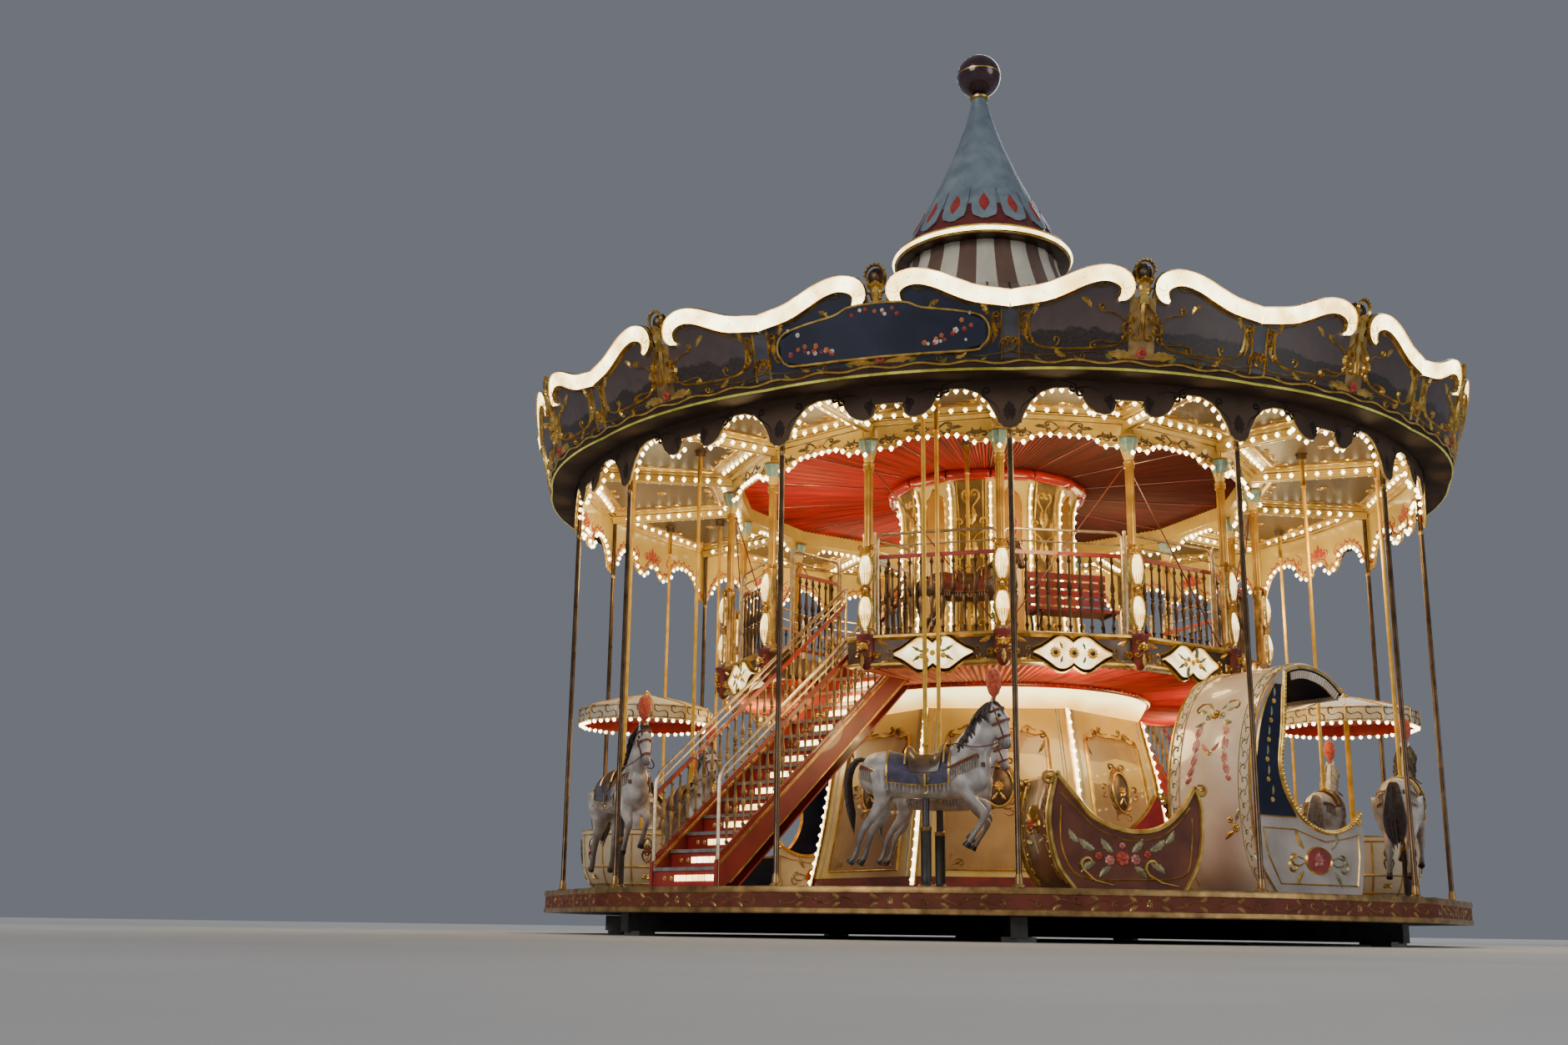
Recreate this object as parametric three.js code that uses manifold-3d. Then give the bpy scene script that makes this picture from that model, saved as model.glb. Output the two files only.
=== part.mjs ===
// Fairground carousel with two decks, fourteen modules round, turning counterclockwise seen from above.
// Millimetres, +Z up. The origin is on the ground, on the turning axis.
// Angles run about +Z from the -Y side towards +X, so a seam between two modules faces -Y.
import * as THREE from 'three';
import { mergeVertices } from 'three/addons/utils/BufferGeometryUtils.js';
import Module from 'manifold-3d';

const wasm = await Module();
wasm.setup();

// Modules and clearances
const MODULES = 14;
const STEP = (2 * Math.PI) / MODULES;
const DEGREE = Math.PI / 180;
const GAP = 0.3;
const WELD = 1e-3;
const FLATNESS = 0.02;

// Heights of the main levels
const GROUND_FRAME_TOP = 234;
const DECK_UNDERSIDE = 240;
const DECK_TOP = 500;
const CORNICE_UNDERSIDE = 2680;
const SOFFIT_UNDERSIDE = 2950;
const UPPER_DECK_UNDERSIDE = 3000;
const UPPER_DECK_TOP = 3220;
const FASCIA_TOP = 3300;
const RING_BEAM_UNDERSIDE = 5620;
const CEILING_UNDERSIDE = 5820;
const CEILING_TOP = 5900;
const BEAM_DEPTH = 120;
const NECK_BOTTOM = 8300;
const BRIM_BOTTOM = 9030;
const CONE_BOTTOM = 9180;
const CONE_TOP = 11660;
const BALL_CENTRE = 11990;

// Radii of the main rings, at the corners of the fourteen sides
const DECK_RADIUS = 5600;
const FASCIA_RADIUS = 3500;
const FASCIA_WIDTH = 180;
const COLUMN_RADIUS = 3420;
const RAILING_RADIUS = 3270;
const OUTER_POLE_RADIUS = 5385;
const OUTER_POLE = 28;
const VALANCE_RADIUS = 5450;
const VALANCE_THICKNESS = 28;
const BALL_RADIUS = 310;
const DRUM_SIDES = 7;
const ROOF_STRIPES = 28;

// Rounding boards: the lower edge, the outward lean and bulge, and the crest line
// from the middle of a module (degrees, height) to its seam
const BOARD_BOTTOM = 5500;
const BOARD_RADIUS = 5800;
const BOARD_LEAN = 0.244;
const BOARD_BULGE = 40;
const BOARD_THICKNESS = 70;
const CREST_LINE = [
  [0, 6620], [1.7, 6320], [3.4, 6530], [7.4, 6350], [STEP / DEGREE / 2, 6280],
];

// Scalloped lower edge of the outer valance, from a seam (degrees, height) to the middle of a module
const VALANCE_LINE = [
  [0, 4990], [1.3, 5080], [2.8, 5360], [7.4, 5410], [10.4, 5150], [11.6, 5310], [STEP / DEGREE / 2, 5310],
];

// Stairs: fourteen risers along the middle of a bay, and the well they need in the upper deck
const STAIR_BAYS = [-2, 5];
const RISERS = 14;
const GOING = 235;
const STAIR_TOP_RADIUS = 2300;
const STAIR_WIDTH = 1000;
const STRINGER = 40;
const STRINGER_DEPTH = 330;
const WELL_WIDTH = 1060;
const WELL_END_RADIUS = 2235;
const HANDRAIL_ABOVE_NOSING = 960;
const BALUSTER_TREADS = 3.25;

// Gallery railing
const RAIL_TOP = 4510;
const RAIL_MIDDLE = 4240;
const RAIL_BOTTOM = 3320;
const RAIL_SIZE = 36;
const POST_SIZE = 50;

// Mounts: rows, stroke and poles
const OUTER_ROW_RADIUS = 4950;
const INNER_ROW_RADIUS = 4100;
const HORSE_LEAD = 2.8 * DEGREE;
const HORSE_MODULES = [-1, 2, 4, 6, 9, 11];
const OUTER_HORSE_HEIGHT = 1540;
const INNER_HORSE_HEIGHT = 1455;
const INNER_HORSE_SCALE = 0.85;
const HORSE_LIFT = 150;
const UPPER_HORSE_RADIUS = 2350;
const UPPER_HORSE_ANGLE = -8 * DEGREE;
const UPPER_HORSE_LIFT = 80;
const UPPER_HORSE_HEIGHT = 3990;
const UPPER_HORSE_SCALE = 0.78;
const HORSE_POLE = 22;
const LOWER_TUBE = 36;
const SLEEVE = 54;
const SLEEVE_FLOOR = 520;
const SLEEVE_TOP = 1090;
const SOCKET_BOTTOM = 5400;
const SOCKET_TOP = 5800;
const END_CLEARANCE = 12;
const SOCKET = 46;
const SLIDING_FIT = 0.6;

// Seats
const SEAT_RADIUS = 4450;
const CUP_RADIUS = 780;
const CUP_CENTRE_RADIUS = 4500;
const CUP_FLOOR = 700;
const UMBRELLA_RADIUS = 880;
const CHARIOT_WIDTH = 1150;
const SLEIGH_WIDTH = 1100;
const PANEL = 45;
const BENCH_RADIUS = 2750;
const CHARIOT_ANGLE = 1.5 * STEP - 2 * DEGREE;
const SLEIGH_ANGLE = 0.5 * STEP - 1 * DEGREE;
const BENCH_ANGLE = 0.5 * STEP + 5 * DEGREE;

function finish(name, colour, roughness, metalness) {
  return new THREE.MeshStandardMaterial({ name, color: colour, roughness, metalness });
}

const MATERIALS = {
  steel: finish('steel', 0x3a3633, 0.6, 0.7),
  boards: finish('boards', 0x5b4636, 0.7, 0.0),
  cream: finish('cream', 0xe8dcc0, 0.5, 0.0),
  gold: finish('gold', 0xb98a3c, 0.35, 0.8),
  red: finish('red', 0x8a2320, 0.6, 0.0),
  canvas: finish('canvas', 0xcdbfa4, 0.8, 0.0),
  bronze: finish('bronze', 0x4a372a, 0.4, 0.7),
  horse: finish('horse', 0xb9b4ad, 0.35, 0.0),
  brownHorse: finish('brown_horse', 0x4c2f20, 0.35, 0.0),
  crown: finish('crown', 0x6f7884, 0.5, 0.2),
  ball: finish('ball', 0x2d3238, 0.3, 0.4),
};

// Geometry helpers

function seam(k) {
  return k * STEP;
}

function middle(k) {
  return (k + 0.5) * STEP;
}

function onCircle(radius, angle) {
  return new THREE.Vector2(radius * Math.sin(angle), -radius * Math.cos(angle));
}

// Welds a geometry, drops triangles without area, and turns its faces outward
function weld(geometry) {
  const bare = geometry.clone();
  bare.deleteAttribute('normal');
  bare.deleteAttribute('uv');
  const merged = mergeVertices(bare, WELD);
  const position = merged.attributes.position;
  const corner = [new THREE.Vector3(), new THREE.Vector3(), new THREE.Vector3()];
  const index = [];
  let volume = 0;
  for (let i = 0; i < merged.index.count; i += 3) {
    const triangle = [0, 1, 2].map((j) => merged.index.getX(i + j));
    if (new Set(triangle).size < 3) continue;
    corner.forEach((point, j) => point.fromBufferAttribute(position, triangle[j]));
    volume += corner[0].dot(corner[1].clone().cross(corner[2]));
    index.push(...triangle);
  }
  if (volume < 0) index.reverse();
  merged.setIndex(index);
  return merged;
}

function toSolid(geometry) {
  const clean = weld(geometry);
  return new wasm.Manifold(new wasm.Mesh({
    numProp: 3,
    vertProperties: new Float32Array(clean.attributes.position.array),
    triVerts: new Uint32Array(clean.index.array),
  }));
}

function toGeometry(solid) {
  const mesh = solid.simplify(FLATNESS).getMesh();
  const geometry = new THREE.BufferGeometry();
  geometry.setAttribute('position', new THREE.BufferAttribute(new Float32Array(mesh.vertProperties), 3));
  geometry.setIndex(new THREE.BufferAttribute(new Uint32Array(mesh.triVerts), 1));
  return geometry;
}

function join(geometries) {
  return geometries.map(toSolid).reduce((whole, piece) => whole.add(piece));
}

// Turns a profile of (radius, height) points about +Z; corner sets the angle of its first corner
function turned(profile, sides, corner = 0) {
  const points = profile.map(([radius, height]) => new THREE.Vector2(radius, height));
  return new THREE.LatheGeometry(points, sides, corner).rotateX(Math.PI / 2);
}

function box(width, depth, height, x, y, z) {
  return new THREE.BoxGeometry(width, depth, height).translate(x, y, z);
}

// A bar with a square or many-sided section from one point to another
function bar(start, end, startRadius, endRadius, sides) {
  const from = new THREE.Vector3(...start);
  const along = new THREE.Vector3(...end).sub(from);
  const geometry = new THREE.CylinderGeometry(endRadius, startRadius, along.length(), sides);
  geometry.translate(0, along.length() / 2, 0);
  geometry.applyQuaternion(new THREE.Quaternion().setFromUnitVectors(
    new THREE.Vector3(0, 1, 0),
    along.clone().normalize(),
  ));
  return geometry.translate(from.x, from.y, from.z);
}

// An upright six sided tube or rod, turned with the place it stands at
function upright(radius, bottom, top, { centre, angle }) {
  return turned([[0, bottom], [radius, bottom], [radius, top], [0, top]], 6)
    .rotateZ(angle)
    .translate(centre.x, centre.y, 0);
}

function placeAt(radius, angle) {
  return { centre: onCircle(radius, angle), angle };
}

function polygonShape(points) {
  return new THREE.Shape(points.map(([x, y]) => new THREE.Vector2(x, y)));
}

function extruded(shape, depth) {
  return new THREE.ExtrudeGeometry(shape, { depth, bevelEnabled: false });
}

// Plate of fourteen sides between two heights, with an optional hole of the same form
function sidedPlate(radius, bottom, top, hole = 0) {
  const corners = (r) => Array.from({ length: MODULES }, (_, k) => onCircle(r, seam(k)));
  const shape = new THREE.Shape(corners(radius));
  if (hole > 0) shape.holes.push(new THREE.Path(corners(hole).reverse()));
  return extruded(shape, top - bottom).translate(0, 0, bottom);
}

// Moves a geometry made at the -Y side, facing -Y, to an angle
function swing(geometry, angle) {
  return geometry.rotateZ(angle);
}

// A closed ring through the sections given at each angle
function ringLoft(angles, sectionAt) {
  const sections = angles.map(sectionAt);
  const size = sections[0].length;
  const positions = [];
  sections.forEach((section, i) => section.forEach(([radius, height]) => {
    const place = onCircle(radius, angles[i]);
    positions.push(place.x, place.y, height);
  }));
  const index = [];
  sections.forEach((_, i) => {
    const here = i * size;
    const next = ((i + 1) % sections.length) * size;
    for (let j = 0; j < size; j += 1) {
      const k = (j + 1) % size;
      index.push(here + j, next + j, next + k, here + j, next + k, here + k);
    }
  });
  const geometry = new THREE.BufferGeometry();
  geometry.setAttribute('position', new THREE.Float32BufferAttribute(positions, 3));
  geometry.setIndex(index);
  return geometry;
}

// Angles and heights all round for a line that is mirrored in every module
function repeatedLine(line, start) {
  const forward = line.map(([degrees, height]) => [degrees * DEGREE, height]);
  const back = forward.slice(1, -1).reverse().map(([angle, height]) => [STEP - angle, height]);
  const all = [];
  for (let k = 0; k < MODULES; k += 1) {
    for (const [angle, height] of [...forward, ...back]) all.push([start + seam(k) + angle, height]);
  }
  return all;
}

// Pieces

function groundFrame() {
  const hubRadius = 480;
  const armWidth = 160;
  const armLength = 5250;
  const pivotRadius = 180;
  const footRadius = 190;
  const footHeight = 40;
  const pieces = [
    turned([[0, 0], [hubRadius, 0], [hubRadius, DECK_UNDERSIDE - GAP], [0, DECK_UNDERSIDE - GAP]], 24),
    turned([[0, 100], [pivotRadius, 100], [pivotRadius, DECK_TOP - 60], [0, DECK_TOP - 60]], 24),
  ];
  for (let k = 0; k < MODULES; k += 2) {
    const arm = box(armWidth, armLength, GROUND_FRAME_TOP - footHeight, 0, -armLength / 2,
      (GROUND_FRAME_TOP + footHeight) / 2);
    pieces.push(swing(arm, seam(k)));
    pieces.push(upright(footRadius, 0, footHeight + 10, placeAt(armLength - footRadius, seam(k))));
  }
  return join(pieces);
}

function horsePlaces() {
  const rows = [['outer', OUTER_ROW_RADIUS], ['inner', INNER_ROW_RADIUS]];
  return HORSE_MODULES.flatMap((k) => rows.map(([row, radius]) => (
    { module: k, row, radius, ...placeAt(radius, middle(k) + HORSE_LEAD) }
  )));
}

function upperHorsePlaces() {
  return [0, Math.PI].map((turn) => placeAt(UPPER_HORSE_RADIUS, UPPER_HORSE_ANGLE + turn));
}

// The platform carries the outer poles and the floor sleeves of the jumping horses
function lowerDeck() {
  const boreRadius = 182.5;
  let deck = toSolid(sidedPlate(DECK_RADIUS, DECK_UNDERSIDE, DECK_TOP));
  for (let k = 0; k < MODULES; k += 1) {
    const pole = upright(OUTER_POLE, DECK_TOP - 50, CEILING_UNDERSIDE - BEAM_DEPTH - GAP,
      placeAt(OUTER_POLE_RADIUS, seam(k)));
    deck = deck.add(toSolid(pole));
  }
  for (const spot of horsePlaces()) {
    deck = deck.add(toSolid(upright(SLEEVE, DECK_TOP - 50, SLEEVE_TOP, spot)));
    deck = deck.subtract(toSolid(upright(LOWER_TUBE + SLIDING_FIT, SLEEVE_FLOOR, SLEEVE_TOP + 50, spot)));
  }
  const bore = turned([[0, 0], [boreRadius, 0], [boreRadius, DECK_TOP - 55], [0, DECK_TOP - 55]], 24);
  return deck.subtract(toSolid(bore));
}

function lowerDrum() {
  return turned([
    [0, DECK_TOP + GAP], [2350, DECK_TOP + GAP], [2300, 700], [2170, 1300], [2070, 1950],
    [1900, CORNICE_UNDERSIDE], [0, CORNICE_UNDERSIDE],
  ], DRUM_SIDES, STEP);
}

function drumCornice() {
  return turned([
    [0, CORNICE_UNDERSIDE + GAP], [1880, CORNICE_UNDERSIDE + GAP], [1960, 2760], [1990, 2900],
    [1930, SOFFIT_UNDERSIDE - GAP], [0, SOFFIT_UNDERSIDE - GAP],
  ], DRUM_SIDES, STEP);
}

// The wells for the two flights, as cutting blocks
function stairWells() {
  const length = FASCIA_RADIUS + 300 - WELL_END_RADIUS;
  return STAIR_BAYS.map((bay) => toSolid(swing(
    box(WELL_WIDTH, length, 1200, 0, -(WELL_END_RADIUS + length / 2), UPPER_DECK_TOP - 200),
    middle(bay),
  )));
}

function cutByWells(solid) {
  return stairWells().reduce((left, well) => left.subtract(well), solid);
}

function upperDeck() {
  const radius = FASCIA_RADIUS - FASCIA_WIDTH - GAP;
  return cutByWells(toSolid(sidedPlate(radius, UPPER_DECK_UNDERSIDE + GAP, UPPER_DECK_TOP)));
}

function soffitLining() {
  const radius = FASCIA_RADIUS - FASCIA_WIDTH - 5;
  return cutByWells(toSolid(sidedPlate(radius, SOFFIT_UNDERSIDE, UPPER_DECK_UNDERSIDE)));
}

// The fascia round the upper deck, in two halves between the stairs, with a bracket below each column
// and a cartouche in the middle of each closed bay
function fasciaHalves() {
  const bracketDepth = 80;
  const cartoucheWidth = 880;
  const cartoucheDepth = 60;
  const cartoucheBottom = 2890;
  const cartoucheTop = 3240;
  const face = FASCIA_RADIUS * Math.cos(STEP / 2);
  const pieces = [sidedPlate(FASCIA_RADIUS, SOFFIT_UNDERSIDE - 10, FASCIA_TOP, FASCIA_RADIUS - FASCIA_WIDTH)];
  for (let k = 0; k < MODULES; k += 1) {
    const bracket = turned([[0, 2900], [95, 3020], [110, 3280], [0, 3280]], 6);
    pieces.push(swing(bracket.translate(0, -(FASCIA_RADIUS - 110 + bracketDepth), 0), seam(k)));
    if (STAIR_BAYS.includes(k) || STAIR_BAYS.includes(k - MODULES)) continue;
    const cartouche = box(cartoucheWidth, cartoucheDepth + 40, cartoucheTop - cartoucheBottom,
      0, -(face + cartoucheDepth / 2 - 20), (cartoucheTop + cartoucheBottom) / 2);
    pieces.push(swing(cartouche, middle(k)));
  }
  const halves = cutByWells(join(pieces)).decompose();
  return halves.sort((a, b) => b.boundingBox().max[0] - a.boundingBox().max[0]);
}

function column() {
  const foot = FASCIA_TOP + GAP;
  const head = RING_BEAM_UNDERSIDE - GAP;
  return turned([
    [0, foot], [88, foot], [88, 3800], [70, 4240], [44, 4320], [50, 5300], [125, 5540], [100, head],
    [0, head],
  ], 6);
}

// The beam over the columns with the arched inner valance between them
function ringBeam() {
  const beamOuter = FASCIA_RADIUS + 10;
  const beamInner = FASCIA_RADIUS - FASCIA_WIDTH;
  const valanceThickness = 30;
  const halfWidth = COLUMN_RADIUS * Math.sin(STEP / 2) - 150;
  const arch = 5580;
  const foot = 5400;
  const top = RING_BEAM_UNDERSIDE + 30;
  const pieces = [sidedPlate(beamOuter, RING_BEAM_UNDERSIDE, CEILING_UNDERSIDE - GAP, beamInner)];
  const outline = new THREE.Shape();
  outline.moveTo(-halfWidth, top);
  outline.lineTo(-halfWidth, foot);
  outline.quadraticCurveTo(-halfWidth * 0.72, foot, -halfWidth * 0.55, arch - 60);
  outline.quadraticCurveTo(0, arch + 60, halfWidth * 0.55, arch - 60);
  outline.quadraticCurveTo(halfWidth * 0.72, foot, halfWidth, foot);
  outline.lineTo(halfWidth, top);
  for (let k = 0; k < MODULES; k += 1) {
    const panel = new THREE.ExtrudeGeometry(outline, {
      depth: valanceThickness, bevelEnabled: false, curveSegments: 2,
    });
    panel.rotateX(Math.PI / 2).translate(0, -COLUMN_RADIUS * Math.cos(STEP / 2) + valanceThickness / 2, 0);
    pieces.push(swing(panel, middle(k)));
  }
  return join(pieces);
}

// The drum between the upper deck and the ceiling, with the roll round its head
function upperCore() {
  return turned([
    [0, UPPER_DECK_TOP + GAP], [1250, UPPER_DECK_TOP + GAP], [1250, 3400], [1190, 3480], [1120, 4400],
    [1130, 5400], [1230, 5700], [1290, 5740], [1290, 5790], [1240, CEILING_UNDERSIDE - GAP],
    [0, CEILING_UNDERSIDE - GAP],
  ], MODULES);
}

// The ceiling under the roof, with a beam at each seam and the sockets the horse poles run in
function ceiling() {
  const radius = VALANCE_RADIUS - VALANCE_THICKNESS - 4;
  const beamWidth = 110;
  const beamStart = FASCIA_RADIUS + 40;
  const beamLength = OUTER_POLE_RADIUS + 30 - beamStart;
  let solid = toSolid(turned([
    [0, CEILING_UNDERSIDE], [radius, CEILING_UNDERSIDE], [radius, CEILING_TOP], [0, CEILING_TOP],
  ], 2 * MODULES));
  for (let k = 0; k < MODULES; k += 1) {
    const beam = box(beamWidth, beamLength, BEAM_DEPTH + 20, 0, -(beamStart + beamLength / 2),
      CEILING_UNDERSIDE - BEAM_DEPTH / 2 + 10);
    solid = solid.add(toSolid(swing(beam, seam(k))));
  }
  for (const spot of [...horsePlaces(), ...upperHorsePlaces()]) {
    solid = solid.add(toSolid(upright(SOCKET, SOCKET_BOTTOM, CEILING_UNDERSIDE + 20, spot)));
    solid = solid.subtract(toSolid(upright(HORSE_POLE + SLIDING_FIT, SOCKET_BOTTOM - 50, SOCKET_TOP, spot)));
  }
  return solid;
}

function boardRadius(height, angle) {
  const offset = ((angle / STEP) % 1 + 1) % 1 - 0.5;
  return BOARD_RADIUS + BOARD_LEAN * (height - BOARD_BOTTOM) + BOARD_BULGE * (1 - 4 * offset * offset);
}

function boardBeam() {
  const ledge = VALANCE_RADIUS + 10;
  const angles = repeatedLine(CREST_LINE, STEP / 2).map(([angle]) => angle);
  return ringLoft(angles, (angle) => [
    [ledge, BOARD_BOTTOM], [boardRadius(BOARD_BOTTOM, angle), BOARD_BOTTOM],
    [boardRadius(CEILING_TOP, angle), CEILING_TOP], [ledge, CEILING_TOP],
  ]);
}

function roundingBoards() {
  const foot = CEILING_TOP + GAP;
  const line = repeatedLine(CREST_LINE, STEP / 2);
  return ringLoft(line.map(([angle]) => angle), (angle) => {
    const height = line.find(([at]) => at === angle)[1];
    return [
      [boardRadius(foot, angle) - BOARD_THICKNESS, foot], [boardRadius(foot, angle), foot],
      [boardRadius(height, angle), height], [boardRadius(height, angle) - BOARD_THICKNESS, height],
    ];
  });
}

function outerValance() {
  const line = repeatedLine(VALANCE_LINE, 0);
  return ringLoft(line.map(([angle]) => angle), (angle) => {
    const height = line.find(([at]) => at === angle)[1];
    return [
      [VALANCE_RADIUS - VALANCE_THICKNESS, height], [VALANCE_RADIUS, height],
      [VALANCE_RADIUS, CEILING_TOP], [VALANCE_RADIUS - VALANCE_THICKNESS, CEILING_TOP],
    ];
  });
}

function canopyRoof() {
  return turned([
    [0, CEILING_TOP + GAP], [5700, CEILING_TOP + GAP], [5700, 6080], [4600, 6380], [3000, 6900],
    [1900, 7550], [1450, 8050], [1290, NECK_BOTTOM], [0, NECK_BOTTOM],
  ], ROOF_STRIPES);
}

function stripedNeck() {
  return turned([
    [0, NECK_BOTTOM + GAP], [1280, NECK_BOTTOM + GAP], [1140, 8640], [1050, 8900],
    [1030, BRIM_BOTTOM - GAP], [0, BRIM_BOTTOM - GAP],
  ], ROOF_STRIPES);
}

// The bell-shaped cone and the brim under it
function crownCone() {
  return turned([
    [0, BRIM_BOTTOM], [1170, BRIM_BOTTOM], [1250, 9060], [1250, 9140], [1160, CONE_BOTTOM],
    [1080, CONE_BOTTOM], [980, 9420], [930, 9690], [800, 9720], [665, 10120],
    [440, 10600], [280, 11000], [150, 11400], [110, CONE_TOP], [0, CONE_TOP],
  ], ROOF_STRIPES);
}

function finialBall() {
  const stem = 90;
  const profile = [[0, CONE_TOP + GAP], [stem, CONE_TOP + GAP]];
  for (let degrees = -60; degrees < 90; degrees += 30) {
    const latitude = degrees * DEGREE;
    profile.push([BALL_RADIUS * Math.cos(latitude), BALL_CENTRE + BALL_RADIUS * Math.sin(latitude)]);
  }
  profile.push([0, BALL_CENTRE + BALL_RADIUS]);
  return turned(profile, 12);
}

// A railing along points on the upper deck, with a post at each
function railingAlong(points) {
  const pieces = [];
  points.forEach((point, i) => {
    pieces.push(box(POST_SIZE, POST_SIZE, RAIL_TOP + 20 - UPPER_DECK_TOP - GAP, point.x, point.y,
      (RAIL_TOP + 20 + UPPER_DECK_TOP + GAP) / 2));
    if (i === 0) return;
    const last = points[i - 1];
    for (const height of [RAIL_TOP, RAIL_MIDDLE, RAIL_BOTTOM]) {
      pieces.push(bar([last.x, last.y, height], [point.x, point.y, height],
        RAIL_SIZE / Math.SQRT2, RAIL_SIZE / Math.SQRT2, 4));
    }
  });
  return join(pieces);
}

// A point beside the middle line of a bay: distance from the axis along the line, and offset from it
function besideBay(bay, along, offset) {
  return new THREE.Vector2(offset, -along).rotateAround(new THREE.Vector2(), middle(bay));
}

function galleryRailing(firstSeam) {
  const guardOffset = WELL_WIDTH / 2 + 45;
  const edge = RAILING_RADIUS * Math.cos(STEP / 2);
  const bayBefore = firstSeam - 1;
  const bayAfter = firstSeam + 6;
  const points = [
    besideBay(bayBefore, WELL_END_RADIUS + 60, guardOffset),
    besideBay(bayBefore, edge, guardOffset),
  ];
  for (let k = firstSeam; k <= bayAfter; k += 1) points.push(onCircle(RAILING_RADIUS, seam(k)));
  points.push(besideBay(bayAfter, edge, -guardOffset));
  points.push(besideBay(bayAfter, WELL_END_RADIUS + 60, -guardOffset));
  return railingAlong(points);
}

// One flight, climbing along +Y at the -Y side: steps, two stringers, newels, handrails and balusters
function stairFlight() {
  const rise = (UPPER_DECK_TOP - DECK_TOP) / RISERS;
  const bottom = STAIR_TOP_RADIUS + (RISERS - 1) * GOING;
  const slab = 150;
  const slope = rise / GOING;
  const last = (RISERS - 1) * GOING;
  const landing = 60;
  const steps = new THREE.Shape();
  steps.moveTo(0, GAP);
  for (let i = 0; i < RISERS; i += 1) {
    steps.lineTo(i * GOING, (i + 1) * rise);
    steps.lineTo(i < RISERS - 1 ? (i + 1) * GOING : last + landing, (i + 1) * rise);
  }
  steps.lineTo(last + landing, last * slope - slab);
  steps.lineTo(slab / slope, GAP);
  const stringer = new THREE.Shape();
  stringer.moveTo(-30, GAP);
  stringer.lineTo(-30, rise + 60);
  stringer.lineTo(last, rise * RISERS + 60);
  stringer.lineTo(last, rise * RISERS + 60 - STRINGER_DEPTH);
  stringer.lineTo((STRINGER_DEPTH - rise - 60) / slope, GAP);
  // Side shapes are drawn with x along the climb and y up, then stood up and moved to the bay
  const stand = (shape, width, offset) => extruded(shape, width)
    .translate(0, 0, -width / 2)
    .rotateX(Math.PI / 2)
    .rotateZ(Math.PI / 2)
    .translate(offset, -bottom, DECK_TOP);
  const side = (STAIR_WIDTH - STRINGER) / 2;
  const pieces = [stand(steps, STAIR_WIDTH - STRINGER, 0)];
  for (const sign of [-1, 1]) {
    const x = sign * side;
    pieces.push(stand(stringer, STRINGER, x));
    const railAt = (along) => [x, -bottom + along, DECK_TOP + rise + along * slope + HANDRAIL_ABOVE_NOSING];
    pieces.push(bar(railAt(0), railAt(last), 26, 26, 6));
    const lower = (along) => [x, -bottom + along, DECK_TOP + rise + along * slope + 760];
    pieces.push(bar(lower(0), lower(last), 20, 20, 6));
    for (let i = 0; i < RISERS; i += BALUSTER_TREADS) {
      const along = Math.min(i, RISERS - 1) * GOING;
      const isNewel = i === 0 || i + BALUSTER_TREADS > RISERS;
      const radius = isNewel ? 34 : 16;
      const foot = DECK_TOP + rise + along * slope;
      const top = isNewel ? foot + HANDRAIL_ABOVE_NOSING + 60 : foot + 765;
      const sides = isNewel ? 6 : 4;
      pieces.push(bar([x, -bottom + along, foot - 40], [x, -bottom + along, top], radius, radius, sides));
    }
  }
  return toGeometry(join(pieces));
}

// A jumping horse on its pole. The body is made facing +X, its pole on the axis.
function horse(height, scale, poleTop, tubeBottom, tubeRadius) {
  const at = (x, y, z) => [x * scale, y * scale, height + z * scale];
  const part = (from, to, first, second) => bar(at(...from), at(...to), first * scale, second * scale, 4);
  const torso = turned([
    [0, -580], [215, -420], [215, 380], [0, 590],
  ].map(([r, z]) => [r * scale, z * scale]), 6).rotateY(Math.PI / 2).translate(0, 0, height);
  const pieces = [
    torso,
    part([420, 0, 60], [640, 0, 620], 190, 95),
    part([540, 0, 580], [860, 0, 330], 110, 62),
    part([-520, 0, 90], [-730, 0, -460], 75, 50),
  ];
  for (const side of [-1, 1]) {
    const y = side * 120;
    pieces.push(part([400, y, -60], [560, y, -560], 95, 42));
    pieces.push(part([-400, y, -60], [-690, y, -850], 110, 42));
  }
  pieces.push(turned([
    [0, tubeBottom], [tubeRadius, tubeBottom], [tubeRadius, height], [HORSE_POLE, height],
    [HORSE_POLE, poleTop], [0, poleTop],
  ], 6));
  return toGeometry(join(pieces));
}

// A seat shell from a side outline: a curved back and floor between two side panels.
// It is made facing +X, standing on the lower deck.
function seatShell(outer, inner, sideOutline, seatBox, width) {
  const rim = polygonShape([...outer, ...inner.slice().reverse()]);
  const stand = (shape, depth, y) => (
    extruded(shape, depth).rotateX(Math.PI / 2).translate(0, y + depth / 2, 0)
  );
  const pieces = [stand(rim, width, 0)];
  const side = polygonShape(sideOutline);
  for (const sign of [-1, 1]) pieces.push(stand(side, PANEL, sign * (width - PANEL) / 2));
  pieces.push(box(seatBox.length, width - PANEL, seatBox.height, seatBox.x, 0, seatBox.z));
  return toGeometry(join(pieces));
}

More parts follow.
